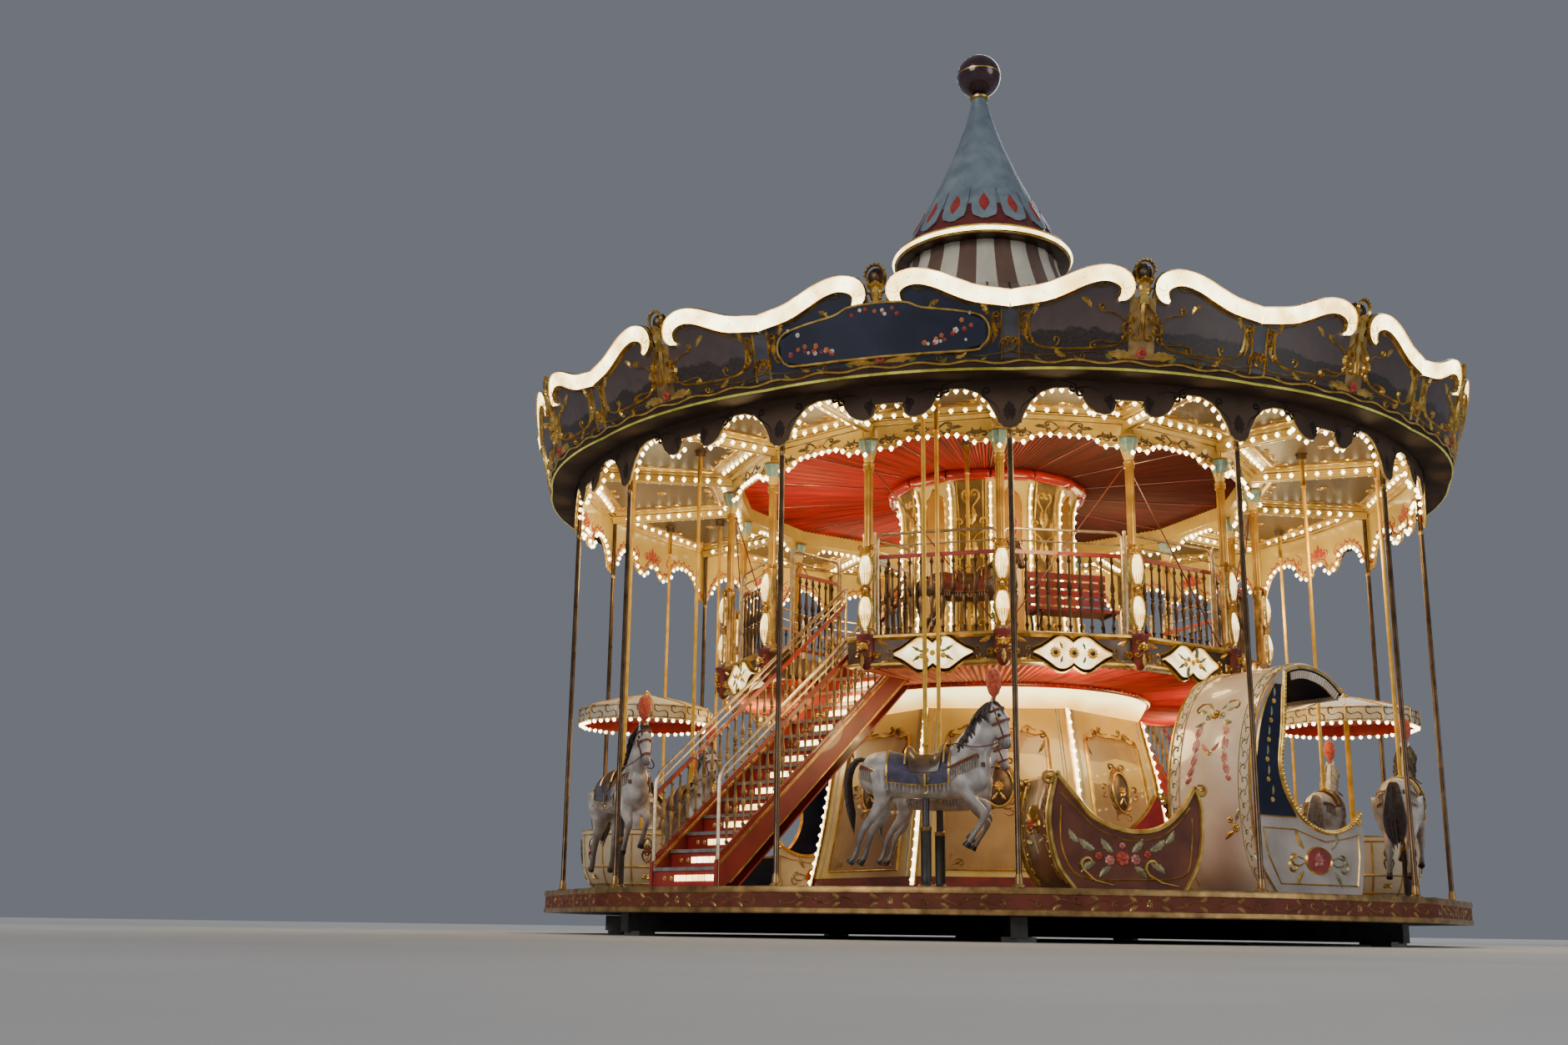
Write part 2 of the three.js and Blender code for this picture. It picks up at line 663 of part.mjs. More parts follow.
function hoodedChariot() {
  const floor = DECK_TOP + GAP;
  const outer = [
    [760, floor], [-480, floor], [-700, 820], [-780, 1300], [-760, 1800], [-620, 2300], [-350, 2680],
    [30, 2850], [420, 2800], [700, 2620],
  ];
  const inner = [
    [760, floor + 80], [-440, floor + 80], [-630, 860], [-705, 1300], [-690, 1790], [-560, 2260],
    [-320, 2610], [30, 2770], [400, 2725], [660, 2560],
  ];
  const side = [
    [760, floor], [-480, floor], [-700, 820], [-780, 1300], [-760, 1800], [-620, 2300], [-350, 2680],
    [-200, 2740], [-260, 2200], [-330, 1700], [-120, 1300], [250, 1130], [600, 1180], [820, 1350], [840, 900],
  ];
  return seatShell(outer, inner, side, { length: 620, height: 90, x: -400, z: 960 }, CHARIOT_WIDTH);
}

function openSleigh() {
  const floor = DECK_TOP + GAP;
  const outer = [
    [620, floor], [-480, floor], [-650, 760], [-720, 1180], [-640, 1600],
  ];
  const inner = [
    [620, floor + 80], [-440, floor + 80], [-580, 790], [-645, 1180], [-575, 1580],
  ];
  const side = [
    [620, floor], [-480, floor], [-650, 760], [-720, 1180], [-640, 1600], [-480, 1420], [-260, 1180],
    [60, 1060], [380, 1090], [620, 1280], [760, 1500], [820, 1250], [780, 820],
  ];
  return seatShell(outer, inner, side, { length: 520, height: 80, x: -350, z: 930 }, SLEIGH_WIDTH);
}

// A round tub on a short pivot, with a bench round its inside
function cupTub() {
  const floor = DECK_TOP + 6;
  const rim = 1280;
  const tub = turned([
    [0, floor], [420, floor], [640, floor + 90], [740, 800], [CUP_RADIUS, rim], [CUP_RADIUS - 50, rim],
    [690, 1000], [500, 1000], [480, CUP_FLOOR], [0, CUP_FLOOR],
  ], 12);
  return toGeometry(join([tub, upright(34, DECK_TOP + GAP, CUP_FLOOR - 20, placeAt(0, 0))]));
}

// The post on a tub's floor, with the round table and the small canopy that it carries
function cupCanopy() {
  const canopyEdge = 2650;
  const canopyTop = 3120;
  const canopy = turned([
    [0, canopyTop], [120, canopyTop - 10], [560, 2960], [UMBRELLA_RADIUS, 2840],
    [UMBRELLA_RADIUS, canopyEdge], [UMBRELLA_RADIUS - 30, canopyEdge], [UMBRELLA_RADIUS - 30, 2810],
    [540, 2920], [0, canopyTop - 60],
  ], 12);
  const table = turned([[0, 1150], [260, 1150], [260, 1190], [0, 1190]], 8);
  return toGeometry(join([canopy, table, upright(34, CUP_FLOOR + GAP, canopyTop - 20, placeAt(0, 0))]));
}

// A slatted bench for the upper deck, facing -Y
function galleryBench() {
  const width = 1000;
  const floor = UPPER_DECK_TOP + GAP;
  const pieces = [
    box(width, 380, 50, 0, 0, floor + 430),
    box(width, 45, 480, 0, 190, floor + 680),
  ];
  for (const sign of [-1, 1]) {
    pieces.push(box(50, 420, 420, sign * (width / 2 - 60), 0, floor + 210));
  }
  return toGeometry(join(pieces));
}

// Assembly

const carousel = new THREE.Group();

function place(parent, name, shape, material) {
  const geometry = shape instanceof wasm.Manifold ? toGeometry(shape) : weld(shape);
  const mesh = new THREE.Mesh(geometry, material);
  mesh.name = name;
  parent.add(mesh);
  return mesh;
}

// A copy of a geometry standing at a place on the platform, turned to face its direction of travel
function placeRiding(name, geometry, radius, angle, material) {
  const mesh = place(carousel, name, geometry, material);
  const centre = onCircle(radius, angle);
  mesh.position.set(centre.x, centre.y, 0);
  mesh.rotation.z = angle;
  return mesh;
}

function number(k) {
  return String(((k % MODULES) + MODULES) % MODULES).padStart(2, '0');
}

place(carousel, 'ground_frame', groundFrame(), MATERIALS.steel);
place(carousel, 'lower_deck', lowerDeck(), MATERIALS.boards);
place(carousel, 'lower_drum', lowerDrum(), MATERIALS.cream);
place(carousel, 'drum_cornice', drumCornice(), MATERIALS.gold);
place(carousel, 'soffit_lining', soffitLining(), MATERIALS.red);
place(carousel, 'upper_deck', upperDeck(), MATERIALS.boards);
const [fasciaRight, fasciaLeft] = fasciaHalves();
place(carousel, 'fascia_right', fasciaRight, MATERIALS.gold);
place(carousel, 'fascia_left', fasciaLeft, MATERIALS.gold);
place(carousel, 'ring_beam', ringBeam(), MATERIALS.cream);
place(carousel, 'upper_core', upperCore(), MATERIALS.cream);
place(carousel, 'canopy_ceiling', ceiling(), MATERIALS.cream);
place(carousel, 'board_beam', boardBeam(), MATERIALS.gold);
place(carousel, 'rounding_boards', roundingBoards(), MATERIALS.gold);
place(carousel, 'outer_valance', outerValance(), MATERIALS.cream);
place(carousel, 'canopy_roof', canopyRoof(), MATERIALS.canvas);
place(carousel, 'striped_neck', stripedNeck(), MATERIALS.canvas);
place(carousel, 'crown_cone', crownCone(), MATERIALS.crown);
place(carousel, 'finial_ball', finialBall(), MATERIALS.ball);
place(carousel, 'railing_right', galleryRailing(STAIR_BAYS[0] + 1), MATERIALS.bronze);
place(carousel, 'railing_left', galleryRailing(STAIR_BAYS[1] + 1), MATERIALS.bronze);

for (let k = 0; k < MODULES; k += 1) {
  placeRiding(`column_${number(k)}`, column(), COLUMN_RADIUS, seam(k), MATERIALS.gold);
}

STAIR_BAYS.forEach((bay, i) => {
  const flight = place(carousel, `stair_${i + 1}`, stairFlight(), MATERIALS.red);
  flight.rotation.z = middle(bay);
});

horsePlaces().forEach(({ module, row, radius, angle }) => {
  const isOuter = row === 'outer';
  const height = isOuter ? OUTER_HORSE_HEIGHT : INNER_HORSE_HEIGHT;
  const bottom = SLEEVE_FLOOR + HORSE_LIFT + END_CLEARANCE;
  const body = horse(height, isOuter ? 1 : INNER_HORSE_SCALE, SOCKET_TOP - HORSE_LIFT - END_CLEARANCE, bottom,
    LOWER_TUBE);
  placeRiding(`horse_${row}_${number(module)}`, body, radius, angle, MATERIALS.horse);
});

upperHorsePlaces().forEach(({ angle }, i) => {
  const bottom = UPPER_DECK_TOP + UPPER_HORSE_LIFT + END_CLEARANCE;
  const top = SOCKET_TOP - UPPER_HORSE_LIFT - END_CLEARANCE;
  const body = horse(UPPER_HORSE_HEIGHT, UPPER_HORSE_SCALE, top, bottom, HORSE_POLE);
  placeRiding(`horse_upper_${i + 1}`, body, UPPER_HORSE_RADIUS, angle, MATERIALS.brownHorse);
});

[0, Math.PI].forEach((turn, i) => {
  placeRiding(`chariot_${i + 1}`, hoodedChariot(), SEAT_RADIUS, CHARIOT_ANGLE + turn, MATERIALS.cream);
  placeRiding(`sleigh_${i + 1}`, openSleigh(), SEAT_RADIUS, SLEIGH_ANGLE + turn, MATERIALS.red);
  placeRiding(`cup_${i + 1}`, cupTub(), CUP_CENTRE_RADIUS, middle(3) + turn, MATERIALS.cream);
  placeRiding(`cup_${i + 1}_canopy`, cupCanopy(), CUP_CENTRE_RADIUS, middle(3) + turn, MATERIALS.cream);
  placeRiding(`bench_${i + 1}`, galleryBench(), BENCH_RADIUS, BENCH_ANGLE + turn, MATERIALS.red);
});

export default carousel;
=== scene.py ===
"""Looks of a fairground carousel with two decks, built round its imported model, in metres with +Z up.

Angles run about +Z from the -Y side towards +X. A seam between two of the fourteen modules faces -Y.
Ornament is drawn flat, as (across, up, out) points, and then laid on the surface that carries it.
"""
import math
import random

import bmesh
import bpy
import numpy as np
from mathutils import Matrix, Vector


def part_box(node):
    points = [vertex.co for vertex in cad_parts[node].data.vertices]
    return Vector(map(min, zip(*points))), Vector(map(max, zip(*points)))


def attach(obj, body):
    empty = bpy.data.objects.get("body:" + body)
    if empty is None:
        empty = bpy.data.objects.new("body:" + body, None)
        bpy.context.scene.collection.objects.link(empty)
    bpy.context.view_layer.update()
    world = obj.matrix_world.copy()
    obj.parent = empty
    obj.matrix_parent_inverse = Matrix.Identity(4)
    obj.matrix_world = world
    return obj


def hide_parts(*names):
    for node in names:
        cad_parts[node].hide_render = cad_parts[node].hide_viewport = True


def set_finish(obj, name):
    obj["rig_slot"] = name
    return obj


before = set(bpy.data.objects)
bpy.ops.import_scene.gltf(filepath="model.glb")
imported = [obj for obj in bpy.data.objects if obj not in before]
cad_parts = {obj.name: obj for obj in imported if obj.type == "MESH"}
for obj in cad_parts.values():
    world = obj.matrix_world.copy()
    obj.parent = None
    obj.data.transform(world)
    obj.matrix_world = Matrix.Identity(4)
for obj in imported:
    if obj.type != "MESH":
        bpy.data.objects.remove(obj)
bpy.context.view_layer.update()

# Driving sizes of the frame
MODULES = 14
STEP = 2 * math.pi / MODULES
STAIR_BAYS = (-2, 5)
RUNS = (("right", STAIR_BAYS[0] + 1), ("left", STAIR_BAYS[1] + 1))
CARTOUCHE_BAYS = (6, 13)
UPPER_DECK_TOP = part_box("upper_deck")[1].z
STOREY = 2.72
DECK_TOP = UPPER_DECK_TOP - STOREY
ON_DECK = 0.5005
COLUMN_RADIUS = 3.42
VALANCE_RADIUS = 5.45
POLE_RADIUS = 5.385
BOARD_FOOT_RADIUS = 5.8
BOARD_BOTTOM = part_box("board_beam")[0].z
BOARD_LEAN = 0.244
BOARD_BULGE = 0.04
BOARD_RECESS = 0.062
BOARD_THICKNESS = 0.035
BOARD_BACK_RADIUS = 5.46
BEAM_TOP = 5.9
CEILING = 5.836
FASCIA_FACE = 3.412
BOARD_WIDTH_RADIUS = 5.93
HALF_MODULE = BOARD_WIDTH_RADIUS * STEP / 2
DRUM_SIDES = 7
ROOF_STRIPS = 28
CUP_SIDES = 12


# Shapes


def seam(k):
    return k * STEP


def middle(k):
    return (k + 0.5) * STEP


SEAMS = [seam(k) for k in range(MODULES)]
MIDDLES = [middle(k) for k in range(MODULES)]


def on_circle(radius, angle, height=0.0):
    return np.array([radius * math.sin(angle), -radius * math.cos(angle), height])


def round_turns(count):
    """Even angles round a full turn."""
    return 2 * math.pi * np.arange(count) / count


def ring(radius, height, count):
    """Places at even angles on a circle round the axis."""
    return [on_circle(radius, angle, height) for angle in round_turns(count)]


class Relief:
    """Points and faces that grow into one piece. Each face has the number of its finish."""

    def __init__(self):
        self.points = []
        self.faces = []
        self.finishes = []
        self.size = 0

    def add(self, part, kinds=0):
        points, faces = part
        self.points.append(np.asarray(points, float))
        self.faces += [tuple(i + self.size for i in face) for face in faces]
        self.finishes += [kinds] * len(faces) if isinstance(kinds, int) else list(kinds)
        self.size += len(points)

    def lay(self, surface, *items):
        """Lays flat ornament on a surface. Each item is a part and the number of its finish."""
        for part, kind in items:
            self.add(laid(surface, part), kind)

    def part(self):
        return np.concatenate(self.points), self.faces


def skin(rows, loop=False, caps=True):
    """Faces over rows of points. Each row closes on itself; loop joins the last row to the first."""
    rows = np.asarray(rows, float)
    count, size = rows.shape[:2]
    faces = []
    for i in range(count if loop else count - 1):
        here = i * size
        after = (i + 1) % count * size
        faces += [(here + j, here + (j + 1) % size, after + (j + 1) % size, after + j) for j in range(size)]
    if caps and not loop:
        faces += [tuple(reversed(range(size))), tuple(range((count - 1) * size, count * size))]
    return rows.reshape(-1, 3), faces


def circle(sides, turn=0.0):
    angles = turn + round_turns(sides)
    return np.column_stack([np.cos(angles), np.sin(angles)])


ROUND = circle(5)
FINE_ROUND = circle(12)
HALF_ROUND = np.array([(-1, 0), (-0.55, 0.9), (0.55, 0.9), (1, 0)])
RIDGE = np.array([(-1, 0), (0, 1), (1, 0)])
STRIP = np.array([(-1, 0), (-0.9, 1), (0.9, 1), (1, 0)])
SQUARE = np.array([(-1, -1), (-1, 1), (1, 1), (1, -1)])


def sweep(path, section, sizes=1.0, closed=False, out=None):
    """Sweeps a closed section of (across, out) points along a path. out fixes which way the section faces.

    sizes is one number, a tuple of two, or an array with one size or two for each point.
    """
    path = np.asarray(path, float)
    if isinstance(sizes, np.ndarray) and sizes.ndim == 1:
        sizes = sizes[:, None]
    sizes = np.broadcast_to(sizes, (len(path), 2))
    along = np.roll(path, -1, 0) - np.roll(path, 1, 0) if closed else np.gradient(path, axis=0)
    along /= np.linalg.norm(along, axis=1)[:, None]
    if out is None:
        start = np.array([0, 0, 1.0]) if abs(along[0, 2]) < 0.9 else np.array([0, -1.0, 0])
        normals = [start - along[0] * (start @ along[0])]
        for direction in along[1:]:
            normals.append(normals[-1] - direction * (normals[-1] @ direction))
        normals = np.array(normals)
    else:
        normals = np.asarray(out, float) - along * (along @ np.asarray(out, float))[:, None]
    normals /= np.linalg.norm(normals, axis=1)[:, None]
    across = np.cross(along, normals)
    rows = (path[:, None] + across[:, None] * section[None, :, :1] * sizes[:, None, :1]
            + normals[:, None] * section[None, :, 1:] * sizes[:, None, 1:])
    return skin(rows, loop=closed)


def bar(start, end, radius, section=ROUND):
    return sweep([start, end], section, radius)


def lathe(profile, sides, turn=0.0, closed=False, wave=None):
    """Turns (radius, height) points about +Z. wave(angle, height) scales the radius."""
    angles = turn + round_turns(sides)
    rows = []
    for radius, height in profile:
        scale = np.array([wave(a, height) if wave else 1.0 for a in angles])
        rows.append(np.column_stack([radius * scale * np.sin(angles), -radius * scale * np.cos(angles),
                                     np.full(sides, height)]))
    return skin(rows, loop=closed, caps=not closed)


def plate(outline, bottom, top):
    """A flat plate from an outline of (across, up) points, between two distances out."""
    outline = np.asarray(outline, float)
    rows = [np.column_stack([outline, np.full(len(outline), out)]) for out in (bottom, top)]
    return skin(rows)


def block(low, high):
    x, y, z = zip(low, high)
    return skin([[(x[0], y[0], h), (x[1], y[0], h), (x[1], y[1], h), (x[0], y[1], h)] for h in z])


def moved(part, offset):
    return part[0] + np.asarray(offset, float), part[1]


def scaled(part, scale):
    return part[0] * np.asarray(scale, float), part[1]


def swung(points, angle):
    """Turns points about +Z."""
    c, s = math.cos(angle), math.sin(angle)
    return np.asarray(points, float) @ np.array([[c, s, 0], [-s, c, 0], [0, 0, 1]])


def turned(part, angle):
    """Turns a part about +Z."""
    return swung(part[0], angle), part[1]


def put(part, across=0.0, up=0.0, turn=0.0, size=1.0, mirror=False, out=0.0):
    """Places flat ornament: scaled, turned by degrees, moved, and then mirrored to the other side."""
    c, s = math.cos(math.radians(turn)), math.sin(math.radians(turn))
    p = np.asarray(part[0], float) * size
    p = np.column_stack([c * p[:, 0] - s * p[:, 1] + across, s * p[:, 0] + c * p[:, 1] + up, p[:, 2] + out])
    if not mirror:
        return p, part[1]
    return p * [-1, 1, 1], [face[::-1] for face in part[1]]


def paired(part):
    """A part together with its mirror image."""
    return dense([part, put(part, mirror=True)])


def dense(items):
    """One part from several."""
    whole = Relief()
    for item in items:
        whole.add(item)
    return whole.part()


def smooth(points, per_span=4):
    """A Catmull-Rom line through points."""
    p = np.asarray(points, float)
    ends = np.vstack([2 * p[0] - p[1], p, 2 * p[-1] - p[-2]])
    line = []
    for i in range(len(p) - 1):
        a, b, c, d = ends[i:i + 4]
        for t in np.arange(per_span) / per_span:
            line.append(0.5 * (2 * b + (c - a) * t + (2 * a - 5 * b + 4 * c - d) * t ** 2
                               + (3 * b - a - 3 * c + d) * t ** 3))
    return np.array(line + [p[-1]])


def laid(surface, part):
    """Lays flat ornament on a surface, a function from (across, up, out) columns to places."""
    p = np.asarray(part[0], float)
    return surface(p[:, 0], p[:, 1], p[:, 2]), part[1]


# Ornament, drawn flat


def curl(start, heading, bends):
    """A line that starts in a heading in degrees. Each bend is (turn, first radius, last radius)."""
    x, y = start
    points = [(x, y, 0.0)]
    for turn, first, last in bends:
        steps = max(2, round(abs(turn) / (38 if first > 0.06 else 45)))
        for i in range(steps):
            radius = first + (last - first) * (i + 0.5) / steps
            heading += turn / steps / 2
            length = radius * math.radians(abs(turn) / steps)
            x += length * math.cos(math.radians(heading))
            y += length * math.sin(math.radians(heading))
            heading += turn / steps / 2
            points.append((x, y, 0.0))
    return points


def strand(path, width, height, ends=(0.35, 0.5)):
    """A moulded strand that swells between its two ends. A fine one has a ridge, a wide one a flat back."""
    section = RIDGE if width < 0.0175 else HALF_ROUND
    path = np.asarray(path, float)
    if path.shape[1] == 2:
        path = np.column_stack([path, np.zeros(len(path))])
    share = np.linspace(0, 1, len(path))
    swell = np.interp(share, [0, 0.3, 0.7, 1], [ends[0], 1, 1, ends[1]])
    return sweep(path, section, np.column_stack([width * swell, height * (0.4 + 0.6 * swell)]),
                 out=(0, 0, 1))


def bead(radius, centre=(0, 0, 0), flat=1.0, sides=5, rings=3):
    turns = np.linspace(-0.40 * math.pi, 0.40 * math.pi, rings)
    points, faces = lathe([(radius * math.cos(t), radius * flat * math.sin(t)) for t in turns], sides)
    return points + np.asarray(centre, float), faces


def beads(places, radius, sides=5, rings=3, flat=1.0):
    """Like beads at many places, as one part."""
    points, faces = bead(radius, flat=flat, sides=sides, rings=rings)
    places = np.asarray(places, float)
    everywhere = (places[:, None] + points[None]).reshape(-1, 3)
    size = len(points)
    return everywhere, [tuple(i + n * size for i in face) for n in range(len(places)) for face in faces]


def scroll(start, heading, bends, width, height):
    """A strand along a curl, with a bead in the eye at its end."""
    line = curl(start, heading, bends)
    whole = Relief()
    whole.add(strand(line, width, height))
    whole.add(bead(width * 1.25, line[-1], flat=0.8))
    return whole.part()


def leaf(length, width, height, bend=40.0, lobes=4):
    """A lobed leaf that grows along a bent middle rib."""
    steps = lobes * 2
    radius = length / math.radians(max(abs(bend), 1))
    line = curl((0, 0), 0, [(bend, radius, radius)])
    line = smooth(line, max(1, math.ceil(steps / (len(line) - 1))))
    share = np.linspace(0, 1, len(line))
    notch = 0.72 + 0.28 * np.abs(np.cos(math.pi * lobes * share))
    widths = width * np.sin(math.pi * np.clip(share * 0.9 + 0.08, 0, 0.97)) ** 0.8 * notch
    heights = height * (0.35 + 0.65 * np.sin(math.pi * share)) * notch
    return sweep(line, RIDGE, np.column_stack([widths, heights]), out=(0, 0, 1))


def rosette(radius, petals, height):
    """A round flower of petals round an eye."""
    sides = petals * (3 if petals < 8 else 2)
    angles = round_turns(sides)
    lobe = np.abs(np.cos(petals * angles / 2))
    rows = [np.column_stack([radius * scale * (1 - cut * (1 - lobe)) * np.cos(angles),
                             radius * scale * (1 - cut * (1 - lobe)) * np.sin(angles),
                             height * (level - dip * (1 - lobe))])
            for scale, level, cut, dip in ((1, 0, 0.25, 0), (0.92, 0.5, 0.25, 0.3), (0.55, 0.8, 0.1, 0.35),
                                           (0.26, 0.4, 0, 0), (0.16, 1.15, 0, 0))]
    return skin(rows)


def fan(radius, lobes, height, spread=115.0):
    """A scallop shell, opening upwards from its hinge."""
    columns = lobes * 2 + 1
    angles = np.radians(np.linspace(90 - spread, 90 + spread, columns))
    phase = np.linspace(0, math.pi * lobes, columns)
    ridge = np.abs(np.sin(phase))
    rows = []
    for scale, level in ((0.16, 0.5), (0.70, 1.0), (0.96, 0.6)):
        reach = radius * scale * (1 - 0.12 * (1 - ridge) * scale)
        rows.append(np.column_stack([reach * np.cos(angles), reach * np.sin(angles),
                                     height * level * (0.45 + 0.55 * ridge)]))
    front = np.array(rows)
    back = front * [1, 1, 0]
    return closed_sheet(front, back)


def closed_sheet(front, back):
    """A closed shell from a front and a back grid of points."""
    loops = np.concatenate([front, back[::-1]]).transpose(1, 0, 2)
    return skin(loops)


# Finishes


def start_finish(name):
    material = bpy.data.materials.new(name)
    material.use_nodes = True
    tree = material.node_tree
    return material, tree, tree.nodes["Principled BSDF"]


def add_node(tree, kind, inputs=(), **settings):
    node = tree.nodes.new(kind)
    for key, value in settings.items():
        setattr(node, key, value)
    for key, value in dict(inputs).items():
        if isinstance(value, bpy.types.NodeSocket):
            tree.links.new(value, node.inputs[key])
        else:
            node.inputs[key].default_value = value
    return node


def calc(tree, operation, first, second=0.0, third=0.0):
    return add_node(tree, "ShaderNodeMath", {0: first, 1: second, 2: third}, operation=operation).outputs[0]


def place_of(tree):
    return add_node(tree, "ShaderNodeTexCoord").outputs["Object"]


def split(tree, vector):
    return add_node(tree, "ShaderNodeSeparateXYZ", {0: vector}).outputs


def noise(tree, vector, scale, detail=5.0, distortion=0.0):
    return add_node(tree, "ShaderNodeTexNoise", {"Vector": vector, "Scale": scale, "Detail": detail,
                                                 "Distortion": distortion}).outputs["Fac"]


def ramp(tree, value, stops):
    node = add_node(tree, "ShaderNodeValToRGB", {"Fac": value})
    while len(node.color_ramp.elements) < len(stops):
        node.color_ramp.elements.new(0.5)
    for element, (position, colour) in zip(node.color_ramp.elements, stops):
        element.position = position
        element.color = (*colour, 1)
    return node.outputs["Color"]


def mixed(tree, share, first, second, mode="MIX"):
    node = add_node(tree, "ShaderNodeMix", {0: share}, data_type="RGBA", blend_type=mode)
    for socket, value in ((node.inputs[6], first), (node.inputs[7], second)):
        if isinstance(value, bpy.types.NodeSocket):
            tree.links.new(value, socket)
        else:
            socket.default_value = (*value, 1)
    return node.outputs[2]


def rough_and_bump(tree, shader, place, rough, bump, grain, strength=0.5):
    """Roughness that varies between two values, and a fine bump of a depth in metres."""
    value = add_node(tree, "ShaderNodeMapRange",
                     {0: noise(tree, place, grain * 0.3), 3: rough[0], 4: rough[1]})
    tree.links.new(value.outputs[0], shader.inputs["Roughness"])
    if bump:
        height = noise(tree, place, grain)
        node = add_node(tree, "ShaderNodeBump", {"Strength": strength, "Distance": bump, "Height": height})
        tree.links.new(node.outputs[0], shader.inputs["Normal"])


def finish(name, dark, light, scale=3.0, rough=(0.35, 0.55), metal=0.0, bump=0.0008, grain=40.0, coat=0.0,
           sheen=0.0, glow=0.0, streaks=0.0, gloss=0.5):
    """Paint, metal or cloth whose colour wanders between two tones, or runs in streaks out from the axis as
    painted light and shade on pleats. A glow makes the colour shine as painted light.
    """
    material, tree, shader = start_finish(name)
    place = place_of(tree)
    if streaks:
        x, y, _ = split(tree, place)
        reach = add_node(tree, "ShaderNodeVectorMath", {0: place}, operation="LENGTH").outputs["Value"]
        turn = calc(tree, "MULTIPLY", calc(tree, "ARCTAN2", x, y), streaks)
        along = add_node(tree, "ShaderNodeCombineXYZ",
                         {0: turn, 1: calc(tree, "MULTIPLY", reach, 0.5)}).outputs[0]
        wander = noise(tree, along, scale, 6.0)
    else:
        wander = noise(tree, place, scale, 8.0, 0.4)
    colour = ramp(tree, wander, [(0.32, dark), (0.68, light)])
    tree.links.new(colour, shader.inputs["Base Color"])
    shader.inputs["Metallic"].default_value = metal
    shader.inputs["Specular IOR Level"].default_value = gloss
    shader.inputs["Coat Weight"].default_value = coat
    shader.inputs["Sheen Weight"].default_value = sheen
    if glow:
        tree.links.new(colour, shader.inputs["Emission Color"])
        shader.inputs["Emission Strength"].default_value = glow
    rough_and_bump(tree, shader, place, rough, bump, grain)
    return material


def glowing(name, deep, pale, power, scale, heights=None):
    """A lit surface with brighter and dimmer places. Given two heights, it dims downwards between them as
    painted fall-off of light below a hidden lamp.
    """
    material, tree, shader = start_finish(name)
    place = place_of(tree)
    share = noise(tree, place, scale, 3.0)
    if heights:
        level = add_node(tree, "ShaderNodeMapRange",
                         {0: split(tree, place)[2], 1: heights[0], 2: heights[1]})
        share = calc(tree, "MULTIPLY_ADD", share, 0.4, calc(tree, "MULTIPLY", level.outputs[0], 0.6))
    colour = ramp(tree, share, [(0.34, deep), (0.62, pale)])
    tree.links.new(colour, shader.inputs["Base Color"])
    tree.links.new(colour, shader.inputs["Emission Color"])
    strength = add_node(tree, "ShaderNodeMapRange", {0: share, 1: 0.3, 2: 0.68, 3: power * 0.5, 4: power})
    tree.links.new(strength.outputs[0], shader.inputs["Emission Strength"])
    rough_and_bump(tree, shader, place, (0.3, 0.45), 0.0, 40.0)
    return material


def striped_canvas(name, light, dark, stripes):
    """Canvas in stripes that run up to the top, with a weave and water marks."""
    material, tree, shader = start_finish(name)
    place = place_of(tree)
    x, y, _ = split(tree, place)
    turn = calc(tree, "ARCTAN2", x, y)
    wave = calc(tree, "FRACT", calc(tree, "MULTIPLY_ADD", turn, stripes / (4 * math.pi), 10.25))
    second = calc(tree, "GREATER_THAN", wave, 0.5)
    stain = noise(tree, place, 2.2, 8.0, 1.0)
    first_tone = ramp(tree, stain, [(0.3, tuple(c * 0.78 for c in light)), (0.7, light)])
    second_tone = ramp(tree, stain, [(0.3, tuple(c * 0.65 for c in dark)), (0.7, dark)])
    tree.links.new(mixed(tree, second, first_tone, second_tone), shader.inputs["Base Color"])
    shader.inputs["Sheen Weight"].default_value = 0.2
    rough_and_bump(tree, shader, place, (0.55, 0.8), 0.002, 90.0)
    return material


def painted_scene(name, sky, haze, land, soil, low, high, relief=0.10, gloss=0.5):
    """A soft painted view with clouds over hills and trees, between two heights."""
    material, tree, shader = start_finish(name)
    place = place_of(tree)
    height = add_node(tree, "ShaderNodeMapRange", {0: split(tree, place)[2], 1: low, 2: high}).outputs[0]
    hills = noise(tree, place, 2.4, 4.0)
    trees = noise(tree, place, 15.0, 6.0)
    edge = calc(tree, "MULTIPLY_ADD", hills, relief * 5, calc(tree, "MULTIPLY", trees, relief * 1.4))
    level = calc(tree, "SUBTRACT", height, edge)
    clouds = noise(tree, place, 3.2, 9.0, 1.6)
    above = mixed(tree, height, ramp(tree, clouds, [(0.35, haze), (0.65, sky)]), sky)
    foliage = noise(tree, place, 34.0, 9.0, 0.6)
    below = ramp(tree, foliage, [(0.3, soil), (0.55, land), (0.75, tuple(c * 1.5 for c in land))])
    share = ramp(tree, level, [(0.08, (0, 0, 0)), (0.12, (1, 1, 1))])
    tree.links.new(mixed(tree, share, below, above), shader.inputs["Base Color"])
    shader.inputs["Specular IOR Level"].default_value = gloss
    shader.inputs["Coat Weight"].default_value = gloss * 0.5
    shader.inputs["Coat Roughness"].default_value = 0.12
    rough_and_bump(tree, shader, place, (0.3, 0.5), 0.001, 60.0)
    return material


